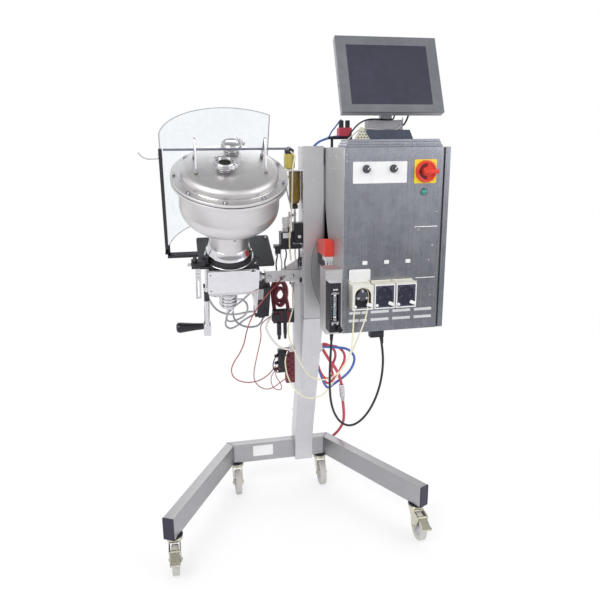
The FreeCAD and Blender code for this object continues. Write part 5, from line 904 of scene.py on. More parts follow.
FRONT, TOP = -490.0, 1398.0
dress(refined("cabinet_shell", "cabinet_box", 1.2, 2), wall_steel, "root", "cabinet_shell")
panel = sliced(merged("front_panel", "cabinet_front"), (0, 0, 1), [at(0, 0, TOP - 6 * i) for i in range(1, 9)])
face_y, curve_z = at(0, FRONT, 0).y, (TOP - 48) / 1000
for vertex in panel.data.vertices:
    if vertex.co.y < face_y + 0.0005 and vertex.co.z > curve_z:
        vertex.co.y += 0.0016 * ((vertex.co.z - curve_z) / 0.048) ** 2
dress(softened(panel, 0.8, 2), front_steel, "root", "front_panel")
dress(refined("cabinet_cover", "cabinet_lid", 1.2, 2), front_steel, "root", "cabinet_cover")
coated("controller_unit", black_paint)
# A black strip in the gap between the front panel and the side flange: painted shade for the dark gap.
gap_shade = block("cabinet_gap_painted_shade", at(468.5, -487.8, 809), at(473.5, -486.4, 1396))
dress(softened(gap_shade, 0.4), rubber_black, "root", slot="front_panel")
flange = block("cabinet_side_flange", at(474.2, FRONT - 0.3, 808), at(491.6, -487.6, 1397.4))
dress(softened(flange, 0.7), front_steel, "root", slot="cabinet_shell")
# A strip of lighter steel along the panel's left edge: a painted highlight on the fold, over its real rounding.
edge = block("cabinet_front_edge_painted_highlight", at(141.7, FRONT - 0.4, 808), at(144, FRONT + 2, 1397.2))
dress(softened(edge, 1.0, 3), turned_steel, "root", slot="cabinet_shell")

# %% [markdown]
# Each vent in the front is a narrow louvre pressed out of the sheet over its slot, and its face leans back to the
# light. The louvres are also in a lighter polished steel than the sheet, a painted highlight besides that lean. One
# louvre is modelled and copied. The two service doors on the right are flat plates whose raised rims catch the light,
# and the rims are in a lighter steel than the doors, a painted highlight as well. Small tags, screws and a white
# plate for the selectors complete the front.

# %% Vents, doors and tags
def strip(name, x0, x1, z0, z1, rise, lean):
    """A thin bar on the front whose face leans back at the top."""
    bar = block(name, at(x0, FRONT - rise, z0), at(x1, FRONT + 0.4, z1))
    middle = at(0, FRONT - rise / 2, (z0 + z1) / 2)
    nudged(bar, lambda co: co.z > middle.z and co.y < middle.y, (0, lean, 0))
    return softened(bar, 0.35, 2)


slots = [(142 + 51 + 75 * column, 807 + 67 - 26 * row) for column in range(4) for row in range(2)]
louvres = [rounded(strip("louvre", x - 31, x + 31, z - 4.2, z + 4.4, 3.2, 2.4), (0, 1, 0), 1.4, 3) for x,
           z in slots]
# The louvres' polished steel is lighter than the front sheet: partly a painted highlight, partly the real lean of
# their faces.
dress(joined("vent_louvres", louvres), polished, "root", slot="front_panel")


def plate_on_front(name, x0, x1, z0, z1, thickness, corner, edge=0.3, y=FRONT):
    """A flat plate with round corners that stands on a surface facing the operator."""
    plate = block(name, at(x0, y - thickness, z0), at(x1, y + 0.2, z1))
    rounded(plate, (0, 1, 0), corner)
    return softened(plate, edge, 2)


DOORS = ((379, 457, 1030, 1149), (388, 455, 880, 981))
plates = [plate_on_front("service_door", *door, 0.6, 3, 0.25) for door in DOORS]
dress(joined("service_doors", plates), front_steel, "root", slot="front_panel")
# The door rims are in lighter steel than the doors: a painted highlight along their edges, besides their real lean.
rims = [strip("rim", x0, x1, z1 - 1.2, z1 + 1.2, 1.6, 1.1) for x0, x1, z0, z1 in DOORS]
rims += [strip("rim", x - 0.7, x + 0.7, DOORS[i][2] + 4, DOORS[i][3], 1.4, 0) for i, x in ((0, 379), (1, 455))]
dress(joined("service_door_highlight_rims", rims), turned_steel, "root", slot="front_panel")
tags = [plate_on_front("tag", x - 8, x + 8, 1033, 1045, 4.0, 2, 0.8) for x in (214, 287, 360)]
tags.append(plate_on_front("knob_plate", 171, 347, 1289, 1355, 0.8, 3))
dress(joined("white_tags", tags), label_white, "root", slot="front_panel")
dots = ((393, 1139), (443, 1088), (433, 1040), (393, 970), (443, 921), (152, 1376), (152, 1357), (452, 1196))
screws = [screw("screw", at(x, FRONT - 0.4, z), (0, -1, 0), 2.8, 1.5) for x, z in dots]
dress(joined("front_screws", screws), turned_steel, "root", slot="front_panel")

# %% [markdown]
# ## Controls
#
# The two selectors are small knobs with a skirt and a raised pointer. The main switch is a ring with a thick lever,
# on a square plate; the floor of the well inside the ring is a darker red disc, painted shade for the recess. A
# turned outline gives each body of revolution, and a block with softened edges its lever. The pilot lamp is a domed
# lens in a thin collar.

# %% Knobs, lamp and switch
SELECTOR_Z, SELECTOR_TURN = 1333, math.radians(-38)
LAMP, SWITCH = (406, 1259), (408, 1323)                 # across and up
PLATE_RISE = 2.8                                        # the switch plate stands this far off the front
FACE_ON = Matrix.Rotation(math.pi / 2, 4, "X")          # a piece drawn upright then looks at the operator
knob_outline = [(0, 18), (7.6, 18), (8.8, 17), (9.6, 6), (11.6, 5.2), (12.5, 4.2), (12.5, 0.4), (0, 0.4)]
for side, x in (("left", 214), ("right", 302)):
    knob = lathe("knob", knob_outline, 40)
    grip = slab("grip", mm(-2.2, -8.6, 6), mm(2.2, 8.6, 20.5), 1.2, 3)
    spindle = rod("spindle", 3, mm(0, 0, 1), mm(0, 0, -8), 16)
    turned = Matrix.Translation(at(x, FRONT, SELECTOR_Z)) @ FACE_ON @ Matrix.Rotation(SELECTOR_TURN, 4, "Z")
    knob = placed(joined("selector_%s_body" % side, [knob, grip, spindle]), turned)
    dress(knob, knob_grey, "knob_" + side, "selector_knob_" + side)
    pointer = slab("selector_%s_pointer" % side, mm(-1.5, -2, 20), mm(1.5, 8.4, 21), 0.3)
    dress(placed(pointer, turned), white, "knob_" + side, slot="selector_knob_" + side)
lamp_place = Matrix.Translation(at(LAMP[0], FRONT, LAMP[1])) @ FACE_ON
lens = lathe("pilot_lens", bow((0, -2), 10.5, 90, 20, 8) + [(9.6, 0), (0, 0)], 40)
dress(placed(lens, lamp_place), teal, "root", slot="front_panel")
collar = lathe("pilot_ring", [(9.7, 0), (9.8, 2.4), (10.8, 3.0), (11.6, 2.2), (11.8, 0)], 40)
dress(placed(collar, lamp_place), dark_zinc, "root", slot="front_panel")

switch_low, switch_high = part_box("switch_plate")
plate = block("switch_square", switch_low, switch_high)
rounded(plate, (0, 1, 0), 4)
dress(softened(plate, 0.7), switch_yellow, "root", "switch_plate")
switch_place = Matrix.Translation(at(SWITCH[0], FRONT - PLATE_RISE, SWITCH[1])) @ FACE_ON
ring = lathe("switch_ring", [(24, 8), (26, 10.5), (29, 11.5), (33, 9.5), (34, 6.5), (34, 0.6), (33, 0), (24, 0)],
             72)
boss = lathe("switch_boss", [(0, 15.5), (12, 15.5), (14, 14), (15, 6), (0, 6)], 48)
lever = slab("lever", mm(-15, -6.5, 8), mm(37, 6.5, 27.5), 3.2, 4)
nudged(lever, lambda co: co.x > 0.02 and co.z > 0.02, (0, 0, -2.5))
web = slab("web", mm(2, -27, 4), mm(25, 27, 9), 1.5, 2)
spindle = rod("spindle", 3, mm(0, 0, 1), mm(0, 0, -8), 16)
handle = placed(joined("switch_body", [ring, boss, lever, web, spindle]), switch_place)
dress(handle, switch_red, "switch", "switch_handle")
# The darker red floor of the well is painted shade for the recess inside the ring.
well = lathe("switch_well_painted_shade", [(0, 5), (24.5, 5), (24.5, 1), (0, 1)], 48)
dress(placed(well, switch_place), dark_red, "switch", slot="switch_handle")

# %% [markdown]
# ## Pumps
#
# Three peristaltic heads stand on the front. Each is a cream housing round a dark tube track, with a white frame,
# two white clips, a rotor with three rollers, and a lid hinged at the back. The first lid stands open and its pump
# holds the tube. The other two heads have a smoked window. One head is modelled and copied twice.

# %% Pump heads
FIRST_PUMP, PUMP_PITCH, PUMP_Z = 196, 72.5, 941
PUMPS = [(FIRST_PUMP + PUMP_PITCH * index, PUMP_Z) for index in range(3)]
PUMP_FRONT, HALF, ABOVE, BELOW = FRONT - 46.0, 34.25, 34.0, 45.0
dress(refined("pump_heads", "pump_housings", 1.0, 2), cream, "root", "pump_heads")
frames, liners, clips, panes = [], [], [], []
for index, (x, z) in enumerate(PUMPS):
    face = block("pump_frame", at(x - HALF, PUMP_FRONT - 1.6, z - BELOW), at(x + HALF, PUMP_FRONT, z + ABOVE))
    rounded(face, (0, 1, 0), 3)
    opening = block("opening", at(x - 30.6, PUMP_FRONT - 4, z - 41), at(x + 30.6, PUMP_FRONT + 4, z + 30.4))
    frames.append(softened(carved(face, [rounded(opening, (0, 1, 0), 2)]), 0.5))
    cup = lathe("track", [(26.5, 0), (26.5, 27.6), (4.2, 27.6), (4.2, 26.8), (25.9, 26.8), (25.9, 0)], 64)
    cup = placed(cup, Matrix.Translation(at(x, PUMP_FRONT + 0.2, z)) @ Matrix.Rotation(-math.pi / 2, 4, "X"))
    liners.append(carved(cup, [block("below", at(x - 30, PUMP_FRONT - 5, z - 40), at(x + 30, PUMP_FRONT + 29, z))]))
    for side in (-1, 1):
        liners.append(block("wall", at(x + side * 26.55, PUMP_FRONT + 0.3, z - BELOW + 0.5),
                            at(x + side * 26.0, PUMP_FRONT + 27.6, z)))
    back = block("back", at(x - 26.5, PUMP_FRONT + 26.9, z - BELOW + 0.5), at(x + 26.5, PUMP_FRONT + 27.6, z))
    hole = rod("hole", 4.3, at(x, PUMP_FRONT + 20, z), at(x, PUMP_FRONT + 30, z), 24)
    liners.append(carved(back, [hole]))
    clip = placed(lathe("clip", [(0, 5), (3.4, 5), (4.6, 3.6), (5, 0), (0, 0)], 24),
                  Matrix.Translation(at(x - 26, PUMP_FRONT - 1.4, z - 33)) @ FACE_ON)
    clips.append(clip)
    slanted = slab("clip", mm(-10, -5, -5.5), mm(10, 0, 5.5), 2.2, 3)
    clips.append(placed(slanted, Matrix.Translation(at(x + 21, PUMP_FRONT - 1.4, z - 29))
                        @ Matrix.Rotation(math.radians(24), 4, "Y")))
    if index:
        pane = block("pane", at(x - 30.3, PUMP_FRONT - 0.9, z - 40.8), at(x + 30.3, PUMP_FRONT - 0.2, z + 30.2))
        panes.append(softened(framed(pane, facing(0, -1, 0), 3, 0.25), 0.15, 1))
dress(joined("pump_frames", frames), white, "root", slot="pump_heads")
dress(joined("pump_tracks", liners), black_paint, "root", slot="pump_heads")
dress(joined("pump_clips", clips), white, "root", slot="pump_heads")
smoke = moulding("smoked_window", "86869c", "9c9cb2", 0.04, 0.10, 0.01, 0.0, Transmission_Weight=0.9, IOR=1.15)
dress(joined("pump_windows", panes), smoke, "root", slot="pump_heads")

# %% Rotors and lids
ROLLER_REACH, LID_OPEN = 14.5, math.radians(-88)
for index, (x, z) in enumerate(PUMPS):
    body, node = "rotor_%d" % (index + 1), "pump_rotor_%d" % (index + 1)
    spot = Matrix.Translation(at(x, PUMP_FRONT + 4, z)) @ Matrix.Rotation(-math.pi / 2, 4, "X")
    disc = [(4, 0), (12, 0), (13, 0.6), (16.6, 0.6), (17.5, 1.2), (17.5, 2.6), (17, 3), (4, 3)]
    far_side = shifted(0, 0, 20) @ Matrix.Rotation(math.pi, 4, "X")
    plates = [lathe("disc", disc, 48), placed(lathe("disc", disc, 48), far_side),
              lathe("hub", [(0, -0.8), (4.6, -0.8), (5.2, 0), (5.2, 3), (4, 20), (4, 48), (0, 48)], 24)]
    dress(placed(joined("pump_rotor_discs_%d" % (index + 1), plates), spot), knob_grey, body, node)
    rollers = []
    for turn in range(3):
        roller = lathe("roller", [(0, -0.6), (3, -0.6), (3.2, 1), (5, 1), (6, 2), (6, 18), (5, 19), (0, 19)], 24)
        angle = math.radians(-90 + 120 * turn)
        rollers.append(placed(roller, shifted(ROLLER_REACH * math.cos(angle), ROLLER_REACH * math.sin(angle), 0)))
    dress(placed(joined("pump_rollers_%d" % (index + 1), rollers), spot), light_grey, body, slot=node)
    hinge = at(x, -494, z + ABOVE + 3.3)
    lid = block("lid", hinge + mm(-HALF - 1.5, -42, -3), hinge + mm(HALF + 1.5, -4.54, 0))
    rounded(lid, (0, 0, 1), 6, test=lambda middle: middle.y < at(0, -510, 0).y)
    neck = slab("neck", hinge + mm(-28, -5.6, -3), hinge + mm(28, 0, 0), 0.4)
    barrel = peg("barrel", 3, hinge + mm(-28, 0, 0), hinge + mm(28, 0, 0), 24, 0.4)
    lid = joined("pump_lid_%d" % (index + 1), [softened(lid, 0.8, 3), neck, barrel])
    if index == 0:
        lid = placed(lid, Matrix.Translation(hinge) @ Matrix.Rotation(LID_OPEN, 4, "X")
                     @ Matrix.Translation(-hinge))
    dress(lid, cream if index else white, "cover_%d" % (index + 1), "pump_cover_%d" % (index + 1))
print("pumps at", PUMPS)

# %% [markdown]
# ## Flow meter and side fittings
#
# The flow meter is a black block with a glass tube in a groove, between two bright glands, with a needle valve
# under it. It stands on the front of the side box. Behind the box, a red connector hood sits on a row of pale
# fittings on the cabinet's wall. The mains inlet hangs under the floor of the cabinet, and both ends of its cable
# have a tapered sleeve.

# %% Flow meter
METER = -538.0
meter_low, meter_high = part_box("flow_meter")
meter = block("meter_block", at(86, METER, 828), at(123, -488.2, 989))
groove = slab("groove", at(94.5, METER - 8, 866), at(114.5, METER + 18, 959), 2, 3)
dress(softened(carved(meter, [groove]), 1.0), black_paint, "root", "flow_meter")
tube_low, tube_high = at(104.5, METER + 9, 866), at(104.5, METER + 9, 959)
tube = placed(lathe("meter_tube", [(4.6, 0), (6.6, 0), (7, 0.4), (7, 92.6), (6.6, 93), (4.6, 93)], 40),
              Matrix.Translation(tube_low))
dress(tube, tube_glass, "root", slot="flow_meter")
gland_outline = [(0, -2), (8, -2), (9, -1), (9, 7), (7.6, 8), (7.6, 12), (7, 13), (0, 13)]
upside = Matrix.Rotation(math.pi, 4, "X")
glands = [placed(lathe("gland", gland_outline, 32), Matrix.Translation(tube_low)),
          placed(lathe("gland", gland_outline, 32), Matrix.Translation(tube_high) @ upside)]
glands.append(placed(lathe("float", [(0, 0), (2, 1), (3.6, 7), (3.6, 11), (2.4, 13), (0, 13)], 24),
                     Matrix.Translation(tube_low + mm(0, 0, 40))))
glands += [slab("bracket", at(92, METER - 0.8, z), at(117, METER + 1, z + 5), 0.6) for z in (858, 953)]
glands += [screw("screw", at(x, METER - 0.6, z), (0, -1, 0), 3.2, 2) for x, z in ((96, 855), (112, 855))]
dress(joined("meter_glands", glands), polished, "root", slot="flow_meter")
cap = block("meter_cap", at(86.6, METER + 0.5, 988.4), at(122.4, -489, 990.6))
dress(softened(cap, 0.7, 2), light_grey, "root", slot="flow_meter")
ticks = [block("tick", at(90, METER - 0.3, 872 + 8 * i), at(92 if i % 5 else 93.6, METER + 0.2, 872.8 + 8 * i))
         for i in range(11)]
ticks += [block("tick", at(98 + 4 * i, METER - 0.3, 965), at(100.4 + 4 * i, METER + 0.2, 970)) for i in range(4)]
dress(softened(joined("meter_ticks", ticks), 0.1, 1), white, "root", slot="flow_meter")
knob = lathe("knob", [(0, 20), (7, 20), (8.6, 19), (9.4, 12), (10, 11), (10, 1.4), (9, 0.4), (0, 0.4)], 40)
round_knob = [(mm(10.8 * math.cos(a), 10.8 * math.sin(a), -1), mm(10.8 * math.cos(a), 10.8 * math.sin(a), 21))
              for a in (math.radians(36 * i) for i in range(10))]
knob = softened(carved(knob, [rod("flute", 1.6, low, high, 8) for low, high in round_knob]), 0.4, 1)
stem = rod("stem", 3, mm(0, 0, 1), mm(0, 0, -12), 16)
knob = placed(joined("meter_valve_knob", [knob, stem]), Matrix.Translation(at(116, METER, 840)) @ FACE_ON)
dress(knob, black_gloss, "meter_knob", "flow_meter_knob")
print("meter box", [round(v * 1000) for v in meter_high - meter_low])

# %% Hood, fittings and inlet
hood = block("connector_hood", at(112, -371, 1041), at(142, -262, 1102))
rounded(hood, (0, 1, 0), 14, 6, lambda middle: middle.x > at(140, 0, 0).x and middle.z > 1.09)
nudged(hood, lambda co: co.y > at(0, -300, 0).y and co.z > 1.08, (0, 0, -14))
softened(hood, 2.5, 3)
dress(hood, hood_red, "root", "wall_connectors")
fittings = [slab("fitting", at(113.5, -370, 1026), at(142, -330, 1042), 2.0, 3)]
for x in (119, 129, 138):
    outline = [(0, 22), (4.6, 22), (4.6, 16), (3.6, 15), (3.6, 9), (4.8, 8), (4.8, 0), (0, 0)]
    fittings.append(placed(lathe("fitting", outline, 20), Matrix.Translation(at(x, -364, 1004))))
dress(joined("hood_fittings", fittings), white, "root", slot="wall_connectors")
# A black block under the back part of the hood, beside the pale fittings.
socket = slab("hood_dark_block", at(114, -352, 1003), at(142, -265, 1041), 2.2, 3)
dress(socket, black, "root", slot="wall_connectors")
lip = block("side_box_lip", at(86, FRONT - 0.4, 1018.6), at(141.8, FRONT + 4, 1021.6))
nudged(lip, lambda co: co.z > 1.02 and co.y < at(0, FRONT + 2, 0).y, (0, 1.4, 0))
trim = [softened(lip, 0.4)]
trim += [screw("screw", at(142, y, z), (-1, 0, 0), 3.2) for y,
         z in ((-398, 1371), (-360, 1371), (-321, 1371), (-398, 1331), (-360, 1331), (-321, 1331), (-470, 1380),
               (-200, 1380), (-200, 830), (-300, 940))]
trim += [screw("screw", at(x, -488, z), (0, -1, 0), 2.6, 1.4) for x, z in ((134, 1008), (134, 820), (93, 1008))]
dress(joined("wall_trim", trim), turned_steel, "root", slot="cabinet_shell")
inlet = block("mains_inlet", at(240, -488, 784), at(286, -462, 807))
framed(inlet, facing(0, -1, 0), 3, 1.5)
framed(inlet, facing(0, 0, -1), 3, 2)
dress(softened(inlet, 1.2), black, "root", slot="wall_connectors")


def sleeve(start, toward, near, far, length):
    """A tapered rubber sleeve with rings, from a fitting along the first bit of a cable."""
    way = (Vector(toward) - Vector(start)).normalized()
    outline = [(far - 0.3, length), (far, length - 0.6)]
    for ring in range(4):
        height = length * (0.875 - ring / 4)
        radius = far + (near - far) * (ring + 0.5) / 4
        outline += [(radius, height + 1.6), (radius, height - 0.8), (radius - 0.7, height - 1.2),
                    (radius - 0.7, height - 2.2)]
    outline += [(near, 1.5), (near, -6), (0, -6), (0, length)]
    return placed(lathe("sleeve", outline, 28),
                  Matrix.Translation(start) @ way.to_track_quat("Z", "Y").to_matrix().to_4x4())


sleeves = [sleeve(at(122, -430, 796), at(120, -429, 740), 7.5, 5.0, 30),
           sleeve(at(281, -476, 786), at(290, -472, 728), 7.5, 5.0, 28)]
dress(joined("cable_sleeves", sleeves), rubber_black, "root", slot="wall_connectors")
print("sleeves", len(sleeves))

# %% [markdown]
# ## Monitor
#
# The monitor is one block whose faces are inset and pushed. The front gets a flat rim and then a mitred slope down
# to the glass, and the back face is drawn in and raised into the housing's bulge. Two ears hang below the back and
# hold the hinge pin. It's drawn upright about its own middle, and one matrix leans it back by 23.5 degrees.

# %% Housing and screen
MONITOR_LEAN = math.radians(-23.5)
MONITOR = Matrix.Translation(at(320, -385, 1622)) @ Matrix.Rotation(MONITOR_LEAN, 4, "X")
WIDE, TALL = 168.5, 128.5


def drawn_in(piece, test, margin, depth):
    """Insets faces and moves the inner face at once, which gives a slope all round."""
    picked(piece, test)
    bpy.ops.mesh.inset(thickness=margin / 1000, depth=depth / 1000)
    bpy.ops.object.mode_set(mode="OBJECT")
    return piece


bezel = block("monitor_bezel", mm(-WIDE, 0, -TALL), mm(WIDE, 7, TALL))
drawn_in(bezel, facing(0, -1, 0), 6, 0)
front = lambda face: face.normal.y < -0.9 and face.area > 0.05
drawn_in(bezel, front, 21.7, -4)
nudged(bezel, lambda co: co.y > 0.003 and co.y < 0.005 and co.x > 0, (-6.8, 0, 0))
nudged(bezel, lambda co: co.y > 0.003 and co.y < 0.005 and co.x < 0, (6.8, 0, 0))
dress(placed(softened(bezel, 0.8, 2, angle=20), MONITOR), bezel_grey, "monitor", "monitor_housing")
rear = block("monitor_rear", mm(-WIDE + 0.4, 7, -TALL + 0.4), mm(WIDE - 0.4, 26, TALL - 0.4))
drawn_in(rear, facing(0, 1, 0), 22, 22)
ears = []
for side in (-1, 1):
    inner, outer = sorted((side * 19.3, side * 33.3))
    ears.append(block("ear", mm(inner, 40, -95.5), mm(outer, 72, -69.5)))
    ears.append(rod("ear", 13, mm(inner, 72, -82.5), mm(outer, 72, -82.5), 40))
ears = [softened(ear, 0.8) for ear in ears]
vents = [block("vent", mm(-90 + 15 * i, 46, -10), mm(-84 + 15 * i, 60, 60)) for i in range(13)]
sockets = [block("socket", mm(-WIDE - 5, 12, z), mm(-WIDE + 3, 20, z + 9)) for z in (-88, -72, -40, -24)]
rear = softened(carved(rear, vents + sockets), 1.4, 3)
dress(placed(joined("monitor_back", [rear] + ears), MONITOR), housing_grey, "monitor", "monitor_housing")
glass = block("monitor_glass", mm(-134.6, 3.6, -100.8), mm(134.6, 6.9, 100.8))
dress(placed(softened(glass, 0.3), MONITOR), screen_glass, "monitor", "monitor_screen")
print("monitor turned", round(math.degrees(MONITOR.to_euler().x), 1))

# %% [markdown]
# The pedestal is a dark block with sloping sides, on a base behind the cover. A pale neck carries the lug of the
# hinge. Beside it stand a folded bracket with holes, a red valve with two black coils, and a short bar for hoses.

# %% Pedestal
base = block("pedestal_base", at(234, -387.9, 1398), at(406, -295.9, 1422))
foot = block("pedestal_foot", at(234, -387.9, 1421.9), at(406, -295.9, 1452))
middle = at(320, 0, 1440)
for side in (-1, 1):
    nudged(foot, lambda co, side=side: (co.x - middle.x) * side > 0 and co.z > middle.z, (-side * 14, 0, 0))
foot = joined("pedestal_foot", [softened(base, 1.0), softened(foot, 1.2)])
dress(foot, pedestal_blue, "root", "monitor_pedestal")
neck = slab("neck", at(261, -360.9, 1452), at(379, -314.9, 1483.6), 2, 3)
hinge = Vector(joints["monitor_tilt"]["pos_m"])
lug = slab("lug", at(301, -361.9, 1483), at(339, -341.9, 1517.6), 0.8)
eye = peg("eye", 10, hinge + mm(-19, 0, 0), hinge + mm(19, 0, 0), 40, 0.8)
pin = peg("pin", 5, hinge + mm(-34.5, 0, 0), hinge + mm(34.5, 0, 0), 24, 0.8)
dress(joined("pedestal_neck", [neck, lug, eye, pin]), light_grey, "root", "monitor_pedestal")

wing = block("wing", at(204, -391.6, 1422.2), at(256, -390.0, 1460))
nudged(wing, lambda co: co.z > at(0, 0, 1440).z and co.x < at(230, 0, 0).x, (20, 0, 0))
nudged(wing, lambda co: co.z > at(0, 0, 1440).z and co.x > at(240, 0, 0).x, (-25, 0, 0))
holes = [rod("hole", 2.6, at(x, -400, z), at(x, -380, z), 16)
         for x, z in ((217, 1428), (227, 1428), (237, 1428), (247, 1428), (222, 1437), (232, 1437), (242, 1437),
                      (227, 1446), (236, 1446))]
tongue = block("tongue", at(206, -396.5, 1421.9), at(254, -390.0, 1423.5))
dress(joined("holed_bracket", [softened(carved(wing, holes), 0.3, 1), softened(tongue, 0.3)]), zinc, "root",
      slot="monitor_pedestal")
bar = [slab("bar", at(150, -268, 1424), at(234, -252, 1434), 1.5, 3)]
bar += [slab("post", at(x, -264, 1397.8), at(x + 8, -256, 1426), 1.0) for x in (160, 218)]
dress(joined("hose_bar", bar), black, "root", slot="cabinet_cover")
valve = slab("red_valve", at(184, -276, 1434), at(230, -246, 1462), 2.5, 3)
dress(valve, hose_red, "root", slot="cabinet_cover")
coils = []
for x in (196, 218):
    coil = lathe("coil", [(0, 24), (7, 24), (8.2, 22.5), (8.2, 3), (9, 2), (9, -1), (0, -1)], 32)
    coils.append(placed(coil, Matrix.Translation(at(x, -261, 1462))))
dress(joined("valve_coils", coils), black_gloss, "root", slot="cabinet_cover")
print("pedestal", len(holes), "holes")

# %% [markdown]
# ## Drum
#
# The drum, its lid and its neck are turned, so one closed outline makes each. The drum is a thin shell, because its
# mouth shows through the open port. A drawn vessel has small features that catch the light: a weld seam above the
# round corner, a rolled band under the flange and a step where the neck meets its collar.

# %% Vessel
def leaning(name, outline, steps=128, sharp=30):
    """A turned piece about the drum's axis, carried to its place."""
    return placed(lathe(name, outline, steps, sharp), LEAN)


shell_outline = ([(150, 397), (179.2, 397), (180, 396.2), (180, 387.8), (179.2, 387), (160, 387), (158.8, 385.6),
                  (158.8, 371), (158, 370), (158, 312), (158.5, 311), (158.5, 307), (158, 306)]
                 + bow((98, 304), 60, 0, -90, 18)
                 + [(70, 240.6), (67.5, 239.4), (66, 236), (66, 150), (65, 149), (65, 92), (62, 92), (62, 242)]
                 + bow((98, 304), 57, -90, 0, 12) + [(155, 396), (150, 396)])
dress(leaning("vessel_shell", shell_outline, 160), vessel_steel, "drum", "drum_body")
stub_outline = [(0, 93), (64, 93), (64, 89), (20, 89), (15, 84), (15, -109), (14, -110), (0, -110)]
dress(leaning("vessel_shaft", stub_outline, 48), turned_steel, "drum", "drum_body")
collar_outline = [(66, 150), (68, 148), (72, 134), (76, 128), (77.4, 126), (77.4, 123), (76, 121.5), (66, 121.5)]
tabs = [slab("tab", mm(x, -71, 212), mm(x + 5, -64, 243), 1.2, 3) for x in (-14, 3)]
tabs += [rod("stud", 3.2, mm(11, -63, 206), mm(11, -80, 206), 16)]
collar = joined("vessel_collar", [lathe("collar", collar_outline, 96)] + tabs)
dress(placed(collar, LEAN), polished, "drum", slot="drum_body")
dress(leaning("lid_seal", [(151.5, 397), (159, 397), (160, 397.6), (160, 399.4), (159, 400), (151.5, 400)], 128),
      silicone_white, "drum", "lid_gasket")

# %% [markdown]
# ## Lid
#
# The lid's outline has a flat crown with a long radius, a 22 mm round edge and a wide flange. The open port is cut
# through it with a boolean. The port tubes have a flared weld collar at the dome and a ferrule at the top.

# %% Lid and ports
CROWN_TOP, CROWN_RADIUS = 446, 918
PORTS = ((-18, -30), (14, 85))        # the open one and the capped one
OPEN, CAPPED = PORTS
CLAMP_Z, BAIL_X, BAIL_FOOT = 464.5, 104, 48


def crown(radius):
    """The height of the lid's dome at a radius."""
    return CROWN_TOP - CROWN_RADIUS + math.sqrt(CROWN_RADIUS ** 2 - radius ** 2)


lid_outline = ([(0, crown(0))] + [(r, crown(r)) for r in (30, 60, 90, 115)]
               + [(r, z) for r, z in bow((130, 414.7), 22, 84, 2, 10)]
               + [(152.2, 410.4), (153, 409.3), (155, 409), (179, 409), (180, 408), (180, 401), (179, 400),
                  (149, 400)] + bow((130, 414.7), 19, 0, 84, 6) + [(r, crown(r) - 3) for r in (115, 60)]
               + [(0, 443)])
lid = lathe("vessel_lid", lid_outline, 160, 30)
carved(lid, [rod("bore", 17.5, mm(*OPEN, 420), mm(*OPEN, 470), 48)])
alone(lid)
bpy.ops.object.shade_smooth_by_angle(angle=math.radians(30))
dress(placed(lid, LEAN), vessel_steel, "drum", "drum_lid")
seam_outline = [(152.2, 409), (152.2, 411.2), (154.4, 410.4), (155.6, 409)]
dress(leaning("lid_bead", seam_outline, 128), polished, "drum", slot="drum_lid")
port_outline = [(17.5, 430), (17.5, 466), (24.6, 466), (25.25, 465.4), (25.25, 463.6), (24.6, 463), (20.5, 462.4),
                (19.5, 461), (19.5, 449), (21, 446.6), (24.5, 445.2), (24.5, 441.5), (20, 441), (19.5, 430)]
ports = [placed(lathe("port", port_outline, 64, 40), shifted(x, y, 0)) for x, y in PORTS]
cap_outline = [(0, 471), (21, 471), (22, 470.4), (23, 470.4), (25.25, 468), (25.25, 466), (0, 466)]
ports.append(placed(lathe("cap", cap_outline, 64), shifted(*CAPPED)))
dress(leant("lid_ports", ports), turned_steel, "drum", slot="drum_lid")
# A dark disc inside the open port: painted shade for the inside of the drum.
well = placed(lathe("port_painted_shade_disc", [(0, 437), (17.4, 437), (17.4, 436), (0, 436)], 48), shifted(*OPEN))
dress(placed(well, LEAN), dark_zinc, "drum", slot="drum_lid")

# %% [markdown]
# A clamp is a grooved ring in two halves with a hinge and a wing screw. The ring is turned, and the ears, the
# screw, its nut and the wing are small softened pieces that join it. One clamp is modelled, and the other is a copy.

# %% Clamps
def clamp(turn):
    """One clamp about its port's own axis; the ears lie on +X before the turn."""
    ring = [(25.6, 470.6), (27, 471.5), (30.5, 471.5), (32, 469.5), (32, 459.5), (30.5, 457.5), (27, 457.5),
            (25.6, 458.4)]
    parts = [lathe("ring", ring, 64)]
    for side in (-1, 1):
        near, far = sorted((side * 4, side * 10))
        parts.append(slab("ear", mm(29, near, 458.5), mm(42, far, 470.5), 1.6, 3))
    parts.append(rod("screw", 2.5, mm(37, -12, CLAMP_Z), mm(37, 38, CLAMP_Z), 16))
    parts.append(peg("nut", 6, mm(37, 10, CLAMP_Z), mm(37, 18, CLAMP_Z), 24, 1.0))
    for side in (-1, 1):
        wing = slab("wing", mm(35.4, 15, CLAMP_Z + side * 3 - 4), mm(38.6, 21, CLAMP_Z + side * 3 + 4), 1.2, 3)
        lifted = (shifted(37, 18, CLAMP_Z) @ Matrix.Rotation(side * math.radians(28), 4, "X")
                  @ Matrix.Translation(-mm(37, 18, CLAMP_Z)))
        parts.append(placed(wing, lifted))
    parts.append(peg("hinge", 3.4, mm(-34, 0, 458), mm(-34, 0, 471), 20, 0.8))
    parts.append(slab("link", mm(-35, -6, 461), mm(-31, 6, 468), 0.8))
    return placed(joined("clamp", parts), Matrix.Rotation(math.radians(turn), 4, "Z"))


clamps = [placed(clamp(turn), shifted(*port)) for turn, port in ((-40, OPEN), (20, CAPPED))]
dress(leant("clamps", clamps), polished, "drum", "port_clamps")
